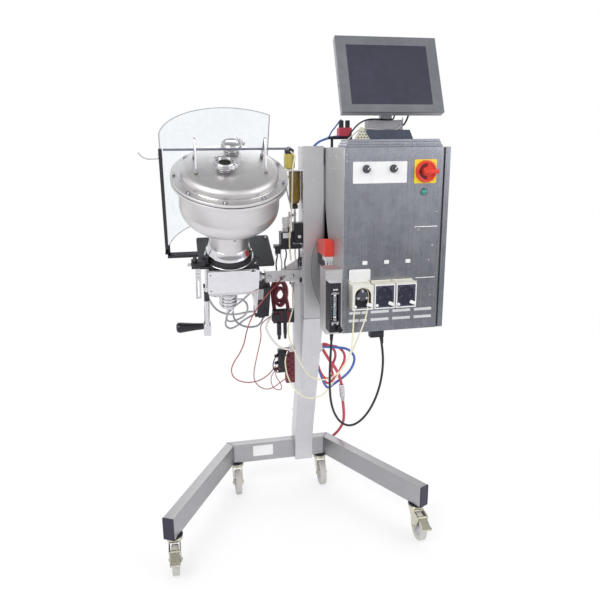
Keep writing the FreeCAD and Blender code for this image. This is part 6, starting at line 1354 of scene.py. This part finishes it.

# %% [markdown]
# The lid is held by nine bolts with shackles. Two bails stand on the dome as carrying handles, each one a bent
# wire: a curve with a given corner and a round bevel, turned into a mesh. The long rod rests against both.

# %% Bolts, bails and rod
def wire(name, radius, points, smooth=False, resolution=6):
    """A bent wire through points: a poly line or a smooth curve with a round section, as a mesh."""
    bpy.ops.object.select_all(action="DESELECT")
    path = bpy.data.curves.new(name, "CURVE")
    path.dimensions = "3D"
    path.bevel_depth = radius / 1000
    path.bevel_resolution = 3
    path.resolution_u = resolution
    path.use_fill_caps = True
    spline = path.splines.new("NURBS" if smooth else "POLY")
    spline.points.add(len(points) - 1)
    for point, place in zip(spline.points, points):
        point.co = (*place, 1)
    if smooth:
        spline.order_u = 3
        spline.use_endpoint_u = True
    piece = bpy.data.objects.new(name, path)
    scene.collection.objects.link(piece)
    alone(piece)
    bpy.ops.object.convert(target="MESH")
    bpy.ops.object.mode_set(mode="EDIT")
    tidy_shell()
    bpy.ops.object.mode_set(mode="OBJECT")
    bpy.ops.object.shade_smooth_by_angle(angle=math.radians(50))
    return piece


bolts, cheeks = [], []
bolt = joined("bolt",
              [lathe("head", [(0, 415), (3.6, 415), (5, 414), (5, 409), (0, 409)], 24),
               rod("shank", 2.4, mm(0, 0, 381), mm(0, 0, 410), 16),
               peg("nut", 5, mm(0, 0, 381), mm(0, 0, 387), 6, 0.5, 1)])
for index in range(9):
    turn = Matrix.Rotation(math.radians(-100 + 40 * index), 4, "Z")
    bolts.append(copied(bolt, "bolt", turn @ shifted(169, 0, 0)))
    for side in (-1, 1):
        cheek = slab("cheek", mm(165, side * 5.4 - 0.9, 409), mm(173.5, side * 5.4 + 0.9, 414.6), 0.5, 1)
        cheeks.append(placed(cheek, turn))
bpy.data.objects.remove(bolt)
dress(leant("lid_bolts_finished", bolts), turned_steel, "drum", "lid_bolts")
dress(leant("bolt_cheeks", cheeks), rod_steel, "drum", slot="lid_bolts")

bails, shoes = [], []
for side in (-1, 1):
    foot, top = crown(114), crown(BAIL_X) + 92
    bail = [mm(side * BAIL_X, -48, foot - 1), mm(side * BAIL_X, -46, foot + 4), mm(side * BAIL_X, -6, top - 6),
            mm(side * BAIL_X, -2.5, top - 3.6), mm(side * BAIL_X, 2.5, top - 3.6), mm(side * BAIL_X, 6, top - 6),
            mm(side * BAIL_X, 46, foot + 4), mm(side * BAIL_X, 48, foot - 1)]
    bails.append(wire("bail", 3.5, bail))
    for y in (-BAIL_FOOT, BAIL_FOOT):
        shoes.append(rod("pad", 6.5, mm(side * BAIL_X, y, foot - 3), mm(side * BAIL_X, y, foot + 2.5), 24, 5.5))
    shoes.append(slab("catch", mm(side * BAIL_X - 5, 40, foot), mm(side * BAIL_X + 5, 47, foot + 14), 1))
dress(leant("bails", bails), polished, "drum", "lid_handles")
dress(leant("bail_shoes", shoes), dark_zinc, "drum", slot="lid_handles")
long_rod = joined("long_rod",
                  [peg("rod", 3.5, mm(-196, 17, 484), mm(182, 17, 484), 24, 0.6),
                   peg("knob", 5.5, mm(176, 17, 484), mm(182, 17, 484), 24, 1)])
dress(placed(long_rod, LEAN), rod_steel, "drum", "lid_rod")

# %% [markdown]
# ## Drive
#
# The drive hangs under the drum: a black plate with two arms, a bright gearbox with the rotary union under it, and a
# motor beside it. The plate's outline is the CAD node's with softened edges. The gearbox is a block behind a
# separate bright front plate.

# %% Plate and gearbox
plate = placed(merged("drive_chassis", "drive_plate"), LEAN.inverted())
dress(placed(softened(plate, 0.9, 2), LEAN), black_paint, "tilt_unit", "drive_chassis")
seal = [(66.8, 98), (66.8, 116), (67.6, 117), (74, 120), (77, 119), (78, 116), (78, 98)]
dress(leaning("shaft_seal", seal, 96), rubber_black, "tilt_unit", slot="drive_chassis")
bits = [screw("screw", mm(x, y, 98), (0, 0, 1), 4.5) for x, y in ((-64, -48), (84, -50), (-96, -50), (140, 96))]
bits.append(slab("case", mm(-103, -55, 98), mm(-85, -37, 121.5), 1.5, 3))
bits.append(lathe("race", [(78.4, 98), (78.4, 100.5), (83, 100.5), (84, 99.6), (84, 98)], 96))
dress(leant("plate_fittings", bits), turned_steel, "tilt_unit", slot="drive_chassis")
face = block("gear_face", mm(-77, -74, -8), mm(97, -70.5, 86))
notch = block("notch", mm(66, -80, 80), mm(84, -60, 90))
dress(placed(softened(carved(face, [notch]), 0.7), LEAN), polished, "tilt_unit", "gearbox")
box = slab("gear_box", mm(-73.8, -70.6, -22), mm(89.8, 44.8, 87.8), 2, 3)
lug = slab("lug", mm(-92, -52, -10), mm(-73, -28, 2), 1.2)
dress(leant("gear_housing", [box, lug]), turned_steel, "tilt_unit", "gearbox")
dots = [screw("screw", mm(x, -74, z), (0, -1, 0), 2.6, 1.4) for x, z in ((-68, 72), (-66, 4))]
dots.append(peg("stud", 3.4, mm(75, -74.5, 83), mm(75, -60, 83), 16, 0.5))
dress(leant("gear_screws", dots), black, "tilt_unit", slot="gearbox")
motor_plate = slab("motor_plate", mm(90, -70, -114), mm(97, 45, 86), 0.9)
dress(placed(motor_plate, LEAN), turned_steel, "tilt_unit", "drive_motor")
body = slab("motor", mm(96.8, -26, -176), mm(149, 26, -36), 3, 3)
ribs = [block("rib", mm(150 - 0.9, y, -150), mm(152, y + 2, -50)) for y in range(-18, 20, 6)]
body = carved(body, ribs)
tail = slab("socket", mm(112, -20, -186), mm(136, 6, -175.5), 1.4, 3)
dress(leant("motor_body", [body, tail]), black_paint, "tilt_unit", "drive_motor")
tag = slab("tag", mm(99, -26.5, -88), mm(123, -25.9, -40), 0.2, 1)
dress(placed(tag, LEAN), light_grey, "tilt_unit", slot="drive_motor")

# %% [markdown]
# The rotary union is turned and polished: a collar and a body with four ribs, with short nipples for its hoses. The
# crank is a rod in two sleeves, with a square hub and a long tapered grip. Beside it hangs a slotted scale plate.

# %% Union
union = [(0, -22), (21.4, -22), (22, -24), (22, -60), (24, -62), (29, -62)]
for rib in range(4):
    top = -64 - 16 * rib
    union += [(29.5, top), (32.4, top - 0.6), (33, top - 2), (33, top - 8), (32.4, top - 9.4), (29.5, top - 10)]
union += [(29.5, -125.4), (28.5, -126), (0, -126)]
nipples = [lathe("union", union, 72)]
ENDS = (((-24, 6, -88), (-44, 6, -88)), ((24, -8, -96), (46, -10, -96)), ((-4, -22, -118), (-4, -24, -140)),
        ((14, -18, -118), (14, -20, -142)))
nipples += [peg("nipple", 5, mm(*start), mm(*end), 20, 0.8) for start, end in ENDS]
dress(leant("union_body", nipples), polished, "tilt_unit", "rotary_union")

# %% Crank and scale
CRANK = (-80, -40)
shaft = [rod("rod", 5.5, mm(*CRANK, -40), mm(*CRANK, 121), 32),
         rod("tube", 10.5, mm(*CRANK, -176), mm(*CRANK, -64), 40),
         rod("hub", 10.4, mm(*CRANK, -66), mm(*CRANK, -62), 40, 9)]
hub = slab("hub", mm(-93, -53, -228), mm(-67, -27, -176), 1.6, 3)
screw_dot = screw("screw", mm(-80, -53, -186), (0, -1, 0), 2.8)
crank = joined("crank_shaft", [softened(part, 0.6) for part in shaft] + [hub, screw_dot])
dress(placed(crank, LEAN), polished, "crank", "crank_rod")
boot = lathe("boot", [(5.6, -26), (8.6, -26), (9.5, -27), (9.5, -63), (8.6, -64), (5.6, -64)], 40)
dress(placed(boot, LEAN @ shifted(*CRANK)), black_gloss, "crank", slot="crank_rod")
grip = lathe("grip",
             [(0, 0), (9, 0), (11.6, 1), (12, 3), (13.5, 30), (17, 62), (19, 80), (19, 88), (16.5, 94), (11, 97.6),
              (0, 98)], 48)
lying = shifted(-93, -40, -189) @ Matrix.Rotation(-math.pi / 2, 4, "Y")
dress(placed(grip, LEAN @ lying), black_gloss, "grip", "crank_grip")

scale = slab("scale", mm(-116, -46.4, -50), mm(-98, -43.4, 98), 0.6)
slot = block("slot", mm(-110, -50, -44), mm(-104, -40, 30))
scale = carved(scale, [slot]
               + [rod("hole", 2.6, mm(x, -50, z), mm(x, -40, z), 16) for x in (-111, -103) for z in (48, 64)])
pins = [scale, slab("foot", mm(-122, -46, 90), mm(-98, -24, 99), 1.2)]
pins += [peg("bolt", 6, mm(-128, -35, 92), mm(-141, -35, 92), 24, 1.4, 3),
         peg("bolt", 4, mm(-98, -35, 92), mm(-132, -35, 92), 20, 0.5),
         peg("knob", 7, mm(-116, -35, 103), mm(-116, -35, 117.6), 28, 1.6, 3),
         peg("stem", 4, mm(-116, -35, 96), mm(-116, -35, 104), 20, 0.4)]
dress(leant("scale_plate", pins), turned_steel, "tilt_unit", slot="drive_chassis")

# %% [markdown]
# ## Guard
#
# A clear sheet curves behind the drum. It's modelled like a turned piece that stops part of the way round: a
# filled outline is spun through an angle, which closes both ends. Its cut edges look pale because light runs inside
# the sheet, so thin strips stand in for them. A black post with a wire bracket holds its free end.

# %% Sheet and post
GUARD_IN, GUARD_OUT, GUARD_LOW, GUARD_HIGH = 204, 208, 107, 532
START, END = 47, 174                   # where the sheet starts and ends about the drum's axis, in degrees


def swept(name, outline, start, end, steps):
    """A filled outline (radius, height) turned from one angle to another, in degrees."""
    bpy.ops.object.select_all(action="DESELECT")
    bpy.ops.mesh.primitive_circle_add(vertices=len(outline), radius=1, fill_type="NGON")
    piece = bpy.context.object
    turn = math.radians(start)
    for vertex, (radius, height) in zip(piece.data.vertices, outline):
        vertex.co = mm(radius * math.cos(turn), radius * math.sin(turn), height)
    bpy.ops.object.mode_set(mode="EDIT")
    bpy.ops.mesh.select_all(action="SELECT")
    bpy.ops.mesh.spin(steps=steps, angle=math.radians(start - end), center=(0, 0, 0), axis=(0, 0, 1))
    tidy_shell()
    bpy.ops.object.mode_set(mode="OBJECT")
    settled(piece, name)
    bpy.ops.object.shade_smooth_by_angle(angle=math.radians(32))
    return piece


def upright_edge(start, end):
    """One upright edge of the sheet."""
    outline = [(GUARD_IN, 108), (GUARD_OUT, 108), (GUARD_OUT, 531), (GUARD_IN, 531)]
    return swept("rim", outline, start, end, 1)


sheet = swept("guard_sheet_finished", [(204.2, 108), (207.8, 108), (207.8, 531), (204.2, 531)], START + 0.6,
              END - 0.6, 48)
dress(placed(sheet, LEAN), clear_sheet, "tilt_unit", "guard_sheet")
rims = [swept("rim", [(GUARD_IN, near), (GUARD_OUT, near), (GUARD_OUT, far), (GUARD_IN, far)], START, END, 48)
        for near, far in ((530.4, GUARD_HIGH), (GUARD_LOW, 108.4))]
rims += [upright_edge(START, START + 0.5), upright_edge(END - 0.5, END)]
dress(leant("guard_edges", rims), sheet_edge, "tilt_unit", slot="guard_sheet")
post = slab("post", mm(200.4, -4.5, 107), mm(211, 4.5, 484), 1.2)
foot = slab("foot", mm(200, -6, 107), mm(211, 16, 112), 0.8)
post = placed(joined("guard_post", [post, foot]), Matrix.Rotation(math.radians(END), 4, "Z"))
dress(placed(post, LEAN), black_gloss, "tilt_unit", "guard_sheet")
away, across = Vector((math.cos(math.radians(END)), math.sin(math.radians(END)))), Vector((0.1045, -0.9945))
brackets = []
for drop in (14, 26):
    start = away * 200 + across * -8
    end = away * 211 + across * -20
    brackets.append(rod("clip", 2, mm(start.x, start.y, 470 - drop), mm(end.x, end.y, 470 - drop), 12))
handle_points = [mm(*(away * (204 + out)), 484 - drop) for out, drop in ((1, 30), (32, 36), (56, 30), (66, 14))]
brackets.append(wire("handle", 2, handle_points, smooth=True))
dress(leant("guard_wire", brackets), light_grey, "tilt_unit", slot="guard_sheet")
print("sheet", len(sheet.data.polygons), "faces")

# %% [markdown]
# ## Shaft, bracket and filters
#
# The tilt shaft and its bracket carry the drive. The two air filters are yellow bowls with dark caps. Each bowl is a
# turned shell with a thin wall of clear plastic round a paler cartridge, which gives the warm depth of a real one.

# %% Bracket
dress(refined("tilt_bracket", "bracket_shell", 0.9, 2), wall_steel, "root", "tilt_bracket")
SHAFT_Y, SHAFT_Z = -227, 957
fittings = [peg("shaft", 12.5, at(-166, SHAFT_Y, SHAFT_Z), at(-71, SHAFT_Y, SHAFT_Z), 48, 1)]
fittings += [peg("washer", 8, at(x, -250, SHAFT_Z), at(x, -252, SHAFT_Z), 32, 0.5) for x in (-58, 24)]
fittings += [screw("bolt", at(x, -252, SHAFT_Z), (0, -1, 0), 5, 3) for x in (-58, 24)]
fittings += [peg("dowel", 3, at(x, -250, z), at(x, -251.4, z), 16, 0.3) for x, z in ((-38, 944), (48, 972))]
dress(joined("tilt_shaft", fittings), polished, "root", slot="tilt_bracket")
ring = [(12.6, 0), (18, 0), (19, 1), (19, 15), (18, 16), (12.6, 16)]
collar = placed(lathe("collar", ring, 48), Matrix.Translation(at(-100, SHAFT_Y, SHAFT_Z))
                @ Matrix.Rotation(math.pi / 2, 4, "Y"))
dress(collar, housing_grey, "root", slot="tilt_bracket")
bolts = [slab("bolt", at(50, -254.6, z), at(57.8, -248, z + 16), 1.4, 3) for z in (1008, 990, 932)]
plug = peg("plug", 5, at(-16, -249, 950), at(-16, -262.5, 950), 24, 1)
dress(joined("bracket_bolts", bolts + [plug]), black, "root", slot="tilt_bracket")

# %% Filters
UPPER, LOWER = (21, -235), (42, -212)   # the two bowls' places, across and along the machine


def upright(name, outline, x, y, z, steps=48):
    """A turned piece that stands at a place of the machine's drawing."""
    return placed(lathe(name, outline, steps), Matrix.Translation(at(x, y, z)))


def knobbly(name, radius, height, x, y, z, teeth=8):
    """A cap with grips: a turned cap whose rim is cut by a ring of rods."""
    cap = lathe(name, [(0, height), (radius * 0.6, height), (radius * 0.7, height - 3), (radius, height - 4),
                       (radius, 1), (radius - 1, 0), (0, 0)], 40)
    spots = [(radius * 1.06 * math.cos(a), radius * 1.06 * math.sin(a))
             for a in (math.tau * i / teeth for i in range(teeth))]
    cap = carved(cap, [rod("flute", radius * 0.19, mm(a, b, -2), mm(a, b, height - 3.4), 12) for a, b in spots])
    return placed(softened(cap, 0.5, 1), Matrix.Translation(at(x, y, z)))


bowl = [(0, -1), (12, 0), (17, 2.5), (19, 7), (19, 50), (17, 51), (17, 8), (14, 3.5), (0, 2)]
tall = [(0, 0), (8, 0.5), (14, 4), (18.4, 12), (20, 22), (20, 114), (18, 116), (18, 22), (15, 10), (9, 4), (0, 3)]
dress(upright("upper_bowl", bowl, *UPPER, 1327), yellow_bowl, "root", "air_filters")
dress(upright("lower_bowl", tall, *LOWER, 1204), amber_bowl, "root", "air_filters")
inside = [upright("cartridge", [(0, 40), (9, 40), (10, 38), (10, 6), (0, 6)], *UPPER, 1329),
          upright("ring", [(13, 0), (16, 1), (16, 3), (13, 4)], *UPPER, 1352)]
dress(joined("upper_cartridge", inside), silicone_cream, "root", slot="air_filters")
dress(upright("lower_cartridge", [(0, 84), (11, 84), (12, 82), (12, 10), (0, 10)], *LOWER, 1214), zinc, "root",
      slot="air_filters")
caps = [knobbly("cap", 16, 20, *UPPER, 1376.5), knobbly("collar", 18.8, 8, *LOWER, 1308, 12)]
caps += [upright("nut", [(0, 14), (11, 14), (13, 12), (13, 0), (0, 0)], *LOWER, 1190, 6),
         upright("neck", [(0, 6), (13, 6), (15, 4), (15, 0), (0, 0)], *LOWER, 1314)]
dress(joined("filter_caps", caps), black, "root", slot="air_filters")
metal_bits = [slab("plate", at(2, -254, 1320), at(64, -190, 1326), 0.8),
              upright("pipe", [(0, 48), (4.4, 48), (4.4, 34), (6, 33), (6, 24), (4.4, 23), (4.4, 0), (0, 0)],
                      *LOWER, 1143),
              upright("knob", [(0, 6), (5, 6), (6, 5), (6, 0), (0, 0)], *UPPER, 1396),
              peg("elbow", 4.4, at(40, -212, 1170), at(14, -222, 1160), 20, 0.6),
              peg("elbow", 4, at(20, -226, 1163), at(20, -226, 1182), 20, 0.6)]
dress(joined("filter_fittings", metal_bits), polished, "root", slot="air_filters")

# %% [markdown]
# ## Service blocks
#
# Small valve and manifold blocks sit along the mast. Close up, such a block is a body with ports, screws and push-in
# fittings, so each one is a softened block with a few turned parts in other finishes.

# %% Valves and manifolds
blocks = [slab("valve", at(-14, -250, 1065), at(30, -200, 1112), 2, 3),
          slab("valve", at(32, -250, 1072), at(64, -204, 1143), 2, 3),
          slab("bar", at(-36, -248, 1052), at(60, -206, 1066), 2, 3),
          slab("leg", at(-34, -246, 1036), at(-16, -226, 1058), 2, 3),
          slab("bank", at(-38, -194, 767), at(40, -162, 815), 2, 3),
          slab("knuckle", at(-44, -204, 775), at(-12, -180, 806), 5, 4),
          upright("plug", [(0, 68), (7, 68), (7, 22), (6, 20), (4.6, 0), (0, 0)], 8, -177, 701),
          upright("plug", [(0, 64), (8.4, 64), (8.4, 18), (6.4, 15), (5, 0), (0, 0)], -18, -196, 706, 24),
          slab("cluster", at(-22, -192, 571), at(6, -170, 662), 1.6, 3)]
blocks += [peg("gland", 6.4, at(x, -185, z), at(x - 12, -196, z), 20, 1) for x,
           z in ((-22, 640), (-22, 612), (-22, 588))]
dress(joined("valve_blocks", blocks), black, "root", "service_blocks")
red = [slab("manifold", at(6, -196, 528), at(40, -166, 663), 1.6, 3)]
red += [peg("stud", 4.4, at(17, -196, z), at(17, -203, z), 20, 0.8) for z in range(545, 660, 22)]
red += [peg("stud", 3.4, at(31, -196, z), at(31, -201, z), 20, 0.8) for z in range(556, 650, 22)]
dress(joined("manifold", red), dark_red, "root", "service_blocks")
chrome = [slab("tube_block", at(26, -206, 913), at(40, -177, 925), 1.2, 3),
          upright("barb", [(0, 9), (3.4, 9), (3.4, 1), (2.2, 0), (0, 0)], 33, -199, 905, 20),
          slab("port", at(18, -206, 655), at(34, -186, 680), 1.5, 3),
          upright("valve_cap", [(0, 6), (12, 6), (14, 4), (14, -10), (0, -10)], 8, -225, 1122),
          slab("drain", at(137, -175, 636), at(153, -147, 668), 1.5, 3),
          slab("outlet", at(144, 0, 132), at(172, 36, 164), 1.5, 3),
          peg("elbow", 4, at(-30, -236, 1030), at(-30, -236, 1050), 20, 0.6)]
dress(joined("service_metal", chrome), turned_steel, "root", "service_blocks")
pale = [upright("cap", [(0, 38), (10, 38), (14, 34), (14, 14), (12, 12), (12, 0), (0, 0)], 8, -225, 1125),
        slab("cover", at(-8, -251.5, 1092), at(20, -249.5, 1110), 0.6),
        peg("knob", 6, at(50, -250, 1096), at(50, -257, 1096), 24, 1)]
dress(joined("valve_caps", pale), white, "root", slot="service_blocks")
pads = [slab("pad", at(x, -195.2, 771), at(x + 10, -193.8, 811), 0.5) for x in (-34, -18, 14)]
dress(joined("bank_pads", pads), dark_red, "root", slot="service_blocks")
coupling_low, coupling_high = at(240, -138, 480), at(252, -118, 400)
sleeve_line = coupling_high - coupling_low
outline = [(0, 0), (8, 0), (10, 2), (10, 22), (11, 24), (11, 40), (9.6, 42), (9.6, 46), (11, 48), (11, 62), (8, 66),
           (8, 78), (6, 82.4), (0, 82.4)]
hose_end = placed(lathe("coupling_body", outline, 40),
                  Matrix.Translation(coupling_low) @ sleeve_line.to_track_quat("Z", "Y").to_matrix().to_4x4())
dress(hose_end, turned_steel, "root", "hose_coupling")
print("coupling", round(sleeve_line.length * 1000), "mm long")

# %% [markdown]
# ## Small hoses and leads
#
# A machine like this is full of short lines: air hoses behind the vessel, leads at the monitor, a red coil of hose
# behind the motor. They only dress the model, but each one is made as a cord too, on the body it rides. Its length
# follows from its points.

# %% Leads
def lead(name, points, diameter, material, body="root", place=None):
    """A small line through points in millimetres, with its own finish."""
    route = [Vector(point) / 1000 for point in points]
    halves = [route[0]] + [(a + b) / 2 for a, b in zip(route, route[1:])] + [route[-1]]
    length = sum(((b - a).length for line in (route, halves) for a, b in zip(line, line[1:]))) / 2
    line = cord(name, route, diameter / 1000, round(length, 4), body, place, stiffness="medium", lay="hanging")
    line.data.materials.append(material)
    return line


lead("monitor_cable",
     [(197, -330, 1426), (204, -364, 1450), (226, -366, 1473), (254, -367, 1485), (285, -368, 1486),
      (333, -368, 1482), (350, -360, 1490), (352, -350, 1520)], 5, cable_black)
lead("monitor_lead",
     [(199, -340, 1424), (212, -366, 1441), (230, -367, 1457), (275, -367, 1455), (327, -367, 1449),
      (358, -366, 1453), (372, -362, 1468), (380, -352, 1490)], 4, silicone_white)
lead("short_plug", [(378, -366, 1466), (383, -366, 1473), (390, -364, 1484), (396, -360, 1497)], 6, cable_black)
lead("air_hose_top",
     [(104, -236, 1398), (112, -250, 1412), (132, -262, 1423), (162, -263, 1431), (195, -264, 1435),
      (228, -264, 1437)], 8, hose_blue)
lead("air_hose_rise",
     [(155, -260, 1434), (160, -262, 1448), (172, -262, 1460), (190, -262, 1484), (196, -261, 1488)], 5, hose_blue)
lead("filter_tube",
     [(21, -254, 1386), (38, -262, 1374), (32, -262, 1357), (26, -262, 1326), (26, -262, 1288), (24, -262, 1236),
      (22, -262, 1194), (18, -261, 1138), (12, -260, 1088), (16, -258, 1031), (20, -250, 1012)], 5, silicone_cream)
for index, (x, sway) in enumerate(((-28, 5), (-12, -4), (4, 6), (40, -3), (52, 4))):
    lead("valve_line_%d" % index, [(x, -228, 1054), (x + sway, -230, 1030), (x - sway, -231, 1000), (x, -228, 972)],
         5, (cable_black, silicone_white)[index % 2])
lead("filter_link",
     [(42, -226, 1322), (24, -240, 1312), (8, -240, 1290), (10, -238, 1250), (26, -232, 1196), (30, -226, 1160)], 4,
     cable_grey)
lead("hood_cable",
     [(114, -262, 1077), (99.9, -260, 1054), (91.5, -260, 1010), (89.9, -260, 966), (94, -260, 927),
      (105, -260, 884), (122, -258, 849), (136, -257, 822)], 3, cable_grey)
hook = slab("lead_clip", at(132, -262, 816), at(142, -252, 826), 2, 3)
dress(hook, white, "root", slot="wall_connectors")

# %% [markdown]
# The union's other hoses bend round the first one and go back to the motor, so they ride with the tilting unit. The
# red hose is wound in a flat coil behind the motor, and hangs from the mast.

# %% Union hoses and the coil
lead("union_line_inner",
     [(-4, -26, -140), (-10, -27, -170), (-14, -25, -206), (4, -21, -232), (34, -14, -224), (62, 0, -204),
      (104, 8, -188)], 7, braid_grey, body="tilt_unit", place=LEAN)
lead("union_line_front",
     [(46, -10, -96), (62, -14, -104), (70, -16, -132), (66, -14, -168), (40, -8, -196), (10, 4, -218),
      (-6, 24, -226), (6, 60, -214), (60, 76, -180), (90, 44, -110)], 7, braid_grey, body="tilt_unit",
     place=LEAN)
lead("union_line_right",
     [(14, -20, -142), (16, -24, -176), (44, -24, -214), (84, -20, -232), (124, -14, -226), (132, -8, -186)], 7,
     cable_grey, body="tilt_unit", place=LEAN)
coil = [(-30, -160, 815), (-34, -156, 850), (-36, -150, 905), (-12, -146, 926), (14, -148, 902), (12, -152, 850),
        (-14, -156, 842), (-30, -152, 872), (-16, -146, 916), (16, -142, 914), (22, -148, 862), (-4, -156, 822),
        (-24, -160, 838), (-28, -158, 880), (2, -150, 900), (20, -156, 840), (22, -162, 812)]
lead("red_coil", coil, 12, dark_red)
lead("red_coil_back", [(x + 6, y + 16, z - 8) for x, y, z in coil], 12, hose_red)
lead("clear_line",
     [(-40, -190, 800), (-74, -205, 768), (-60, -212, 730), (-40, -214, 700), (-16, -212, 676), (18, -202, 664)], 7,
     silicone_white)
lead("thin_lead",
     [(-44, -192, 798), (-80, -208, 782), (-91, -213, 762), (-87, -215, 730), (-102, -215, 669), (-118, -215, 602),
      (-120, -213, 562), (-105, -210, 533), (-75, -207, 514), (-45, -205, 518), (-18, -204, 538), (10, -198, 552)],
     3.5, cable_red)
lead("loop_lead",
     [(-14, -190, 589), (-40, -200, 587), (-57, -204, 552), (-45, -206, 512), (-12, -206, 506), (-16, -205, 532),
      (-36, -203, 562), (-34, -200, 584), (-20, -190, 600)], 3, cable_red)
lead("black_loop", [(-18, -192, 655), (-38, -202, 636), (-48, -206, 602), (-34, -204, 578), (-20, -192, 574)], 4,
     cable_black)
lead("manifold_loop", [(20, -203, 640), (-6, -214, 652), (-26, -214, 640), (-20, -205, 612)], 4, cable_black)
print(len(cords), "cords in all")

# %% [markdown]
# Behind the mast, under the cabinet, more hoses run to the utilities: red ones for warm water, blue for air, with
# teal and red push-in fittings. They show between the mast and the lead, so a few of them are made the same way.

# %% Lines behind the mast
for index, (x, z) in enumerate(((158, 664), (196, 652), (236, 640))):
    lead("warm_hose_%d" % index,
         [(146, -160, 652), (x, -150, z), (x + 40, -140, z - 20), (x + 64, -132, z - 60), (x + 40, -126, z - 120),
          (210, -130, 520 - 20 * index), (180, -134, 500 - 20 * index), (150, -140, 540), (140, -146, 580)], 10,
         (hose_red, hose_red, hose_blue)[index])
print("lines behind", len(cords))
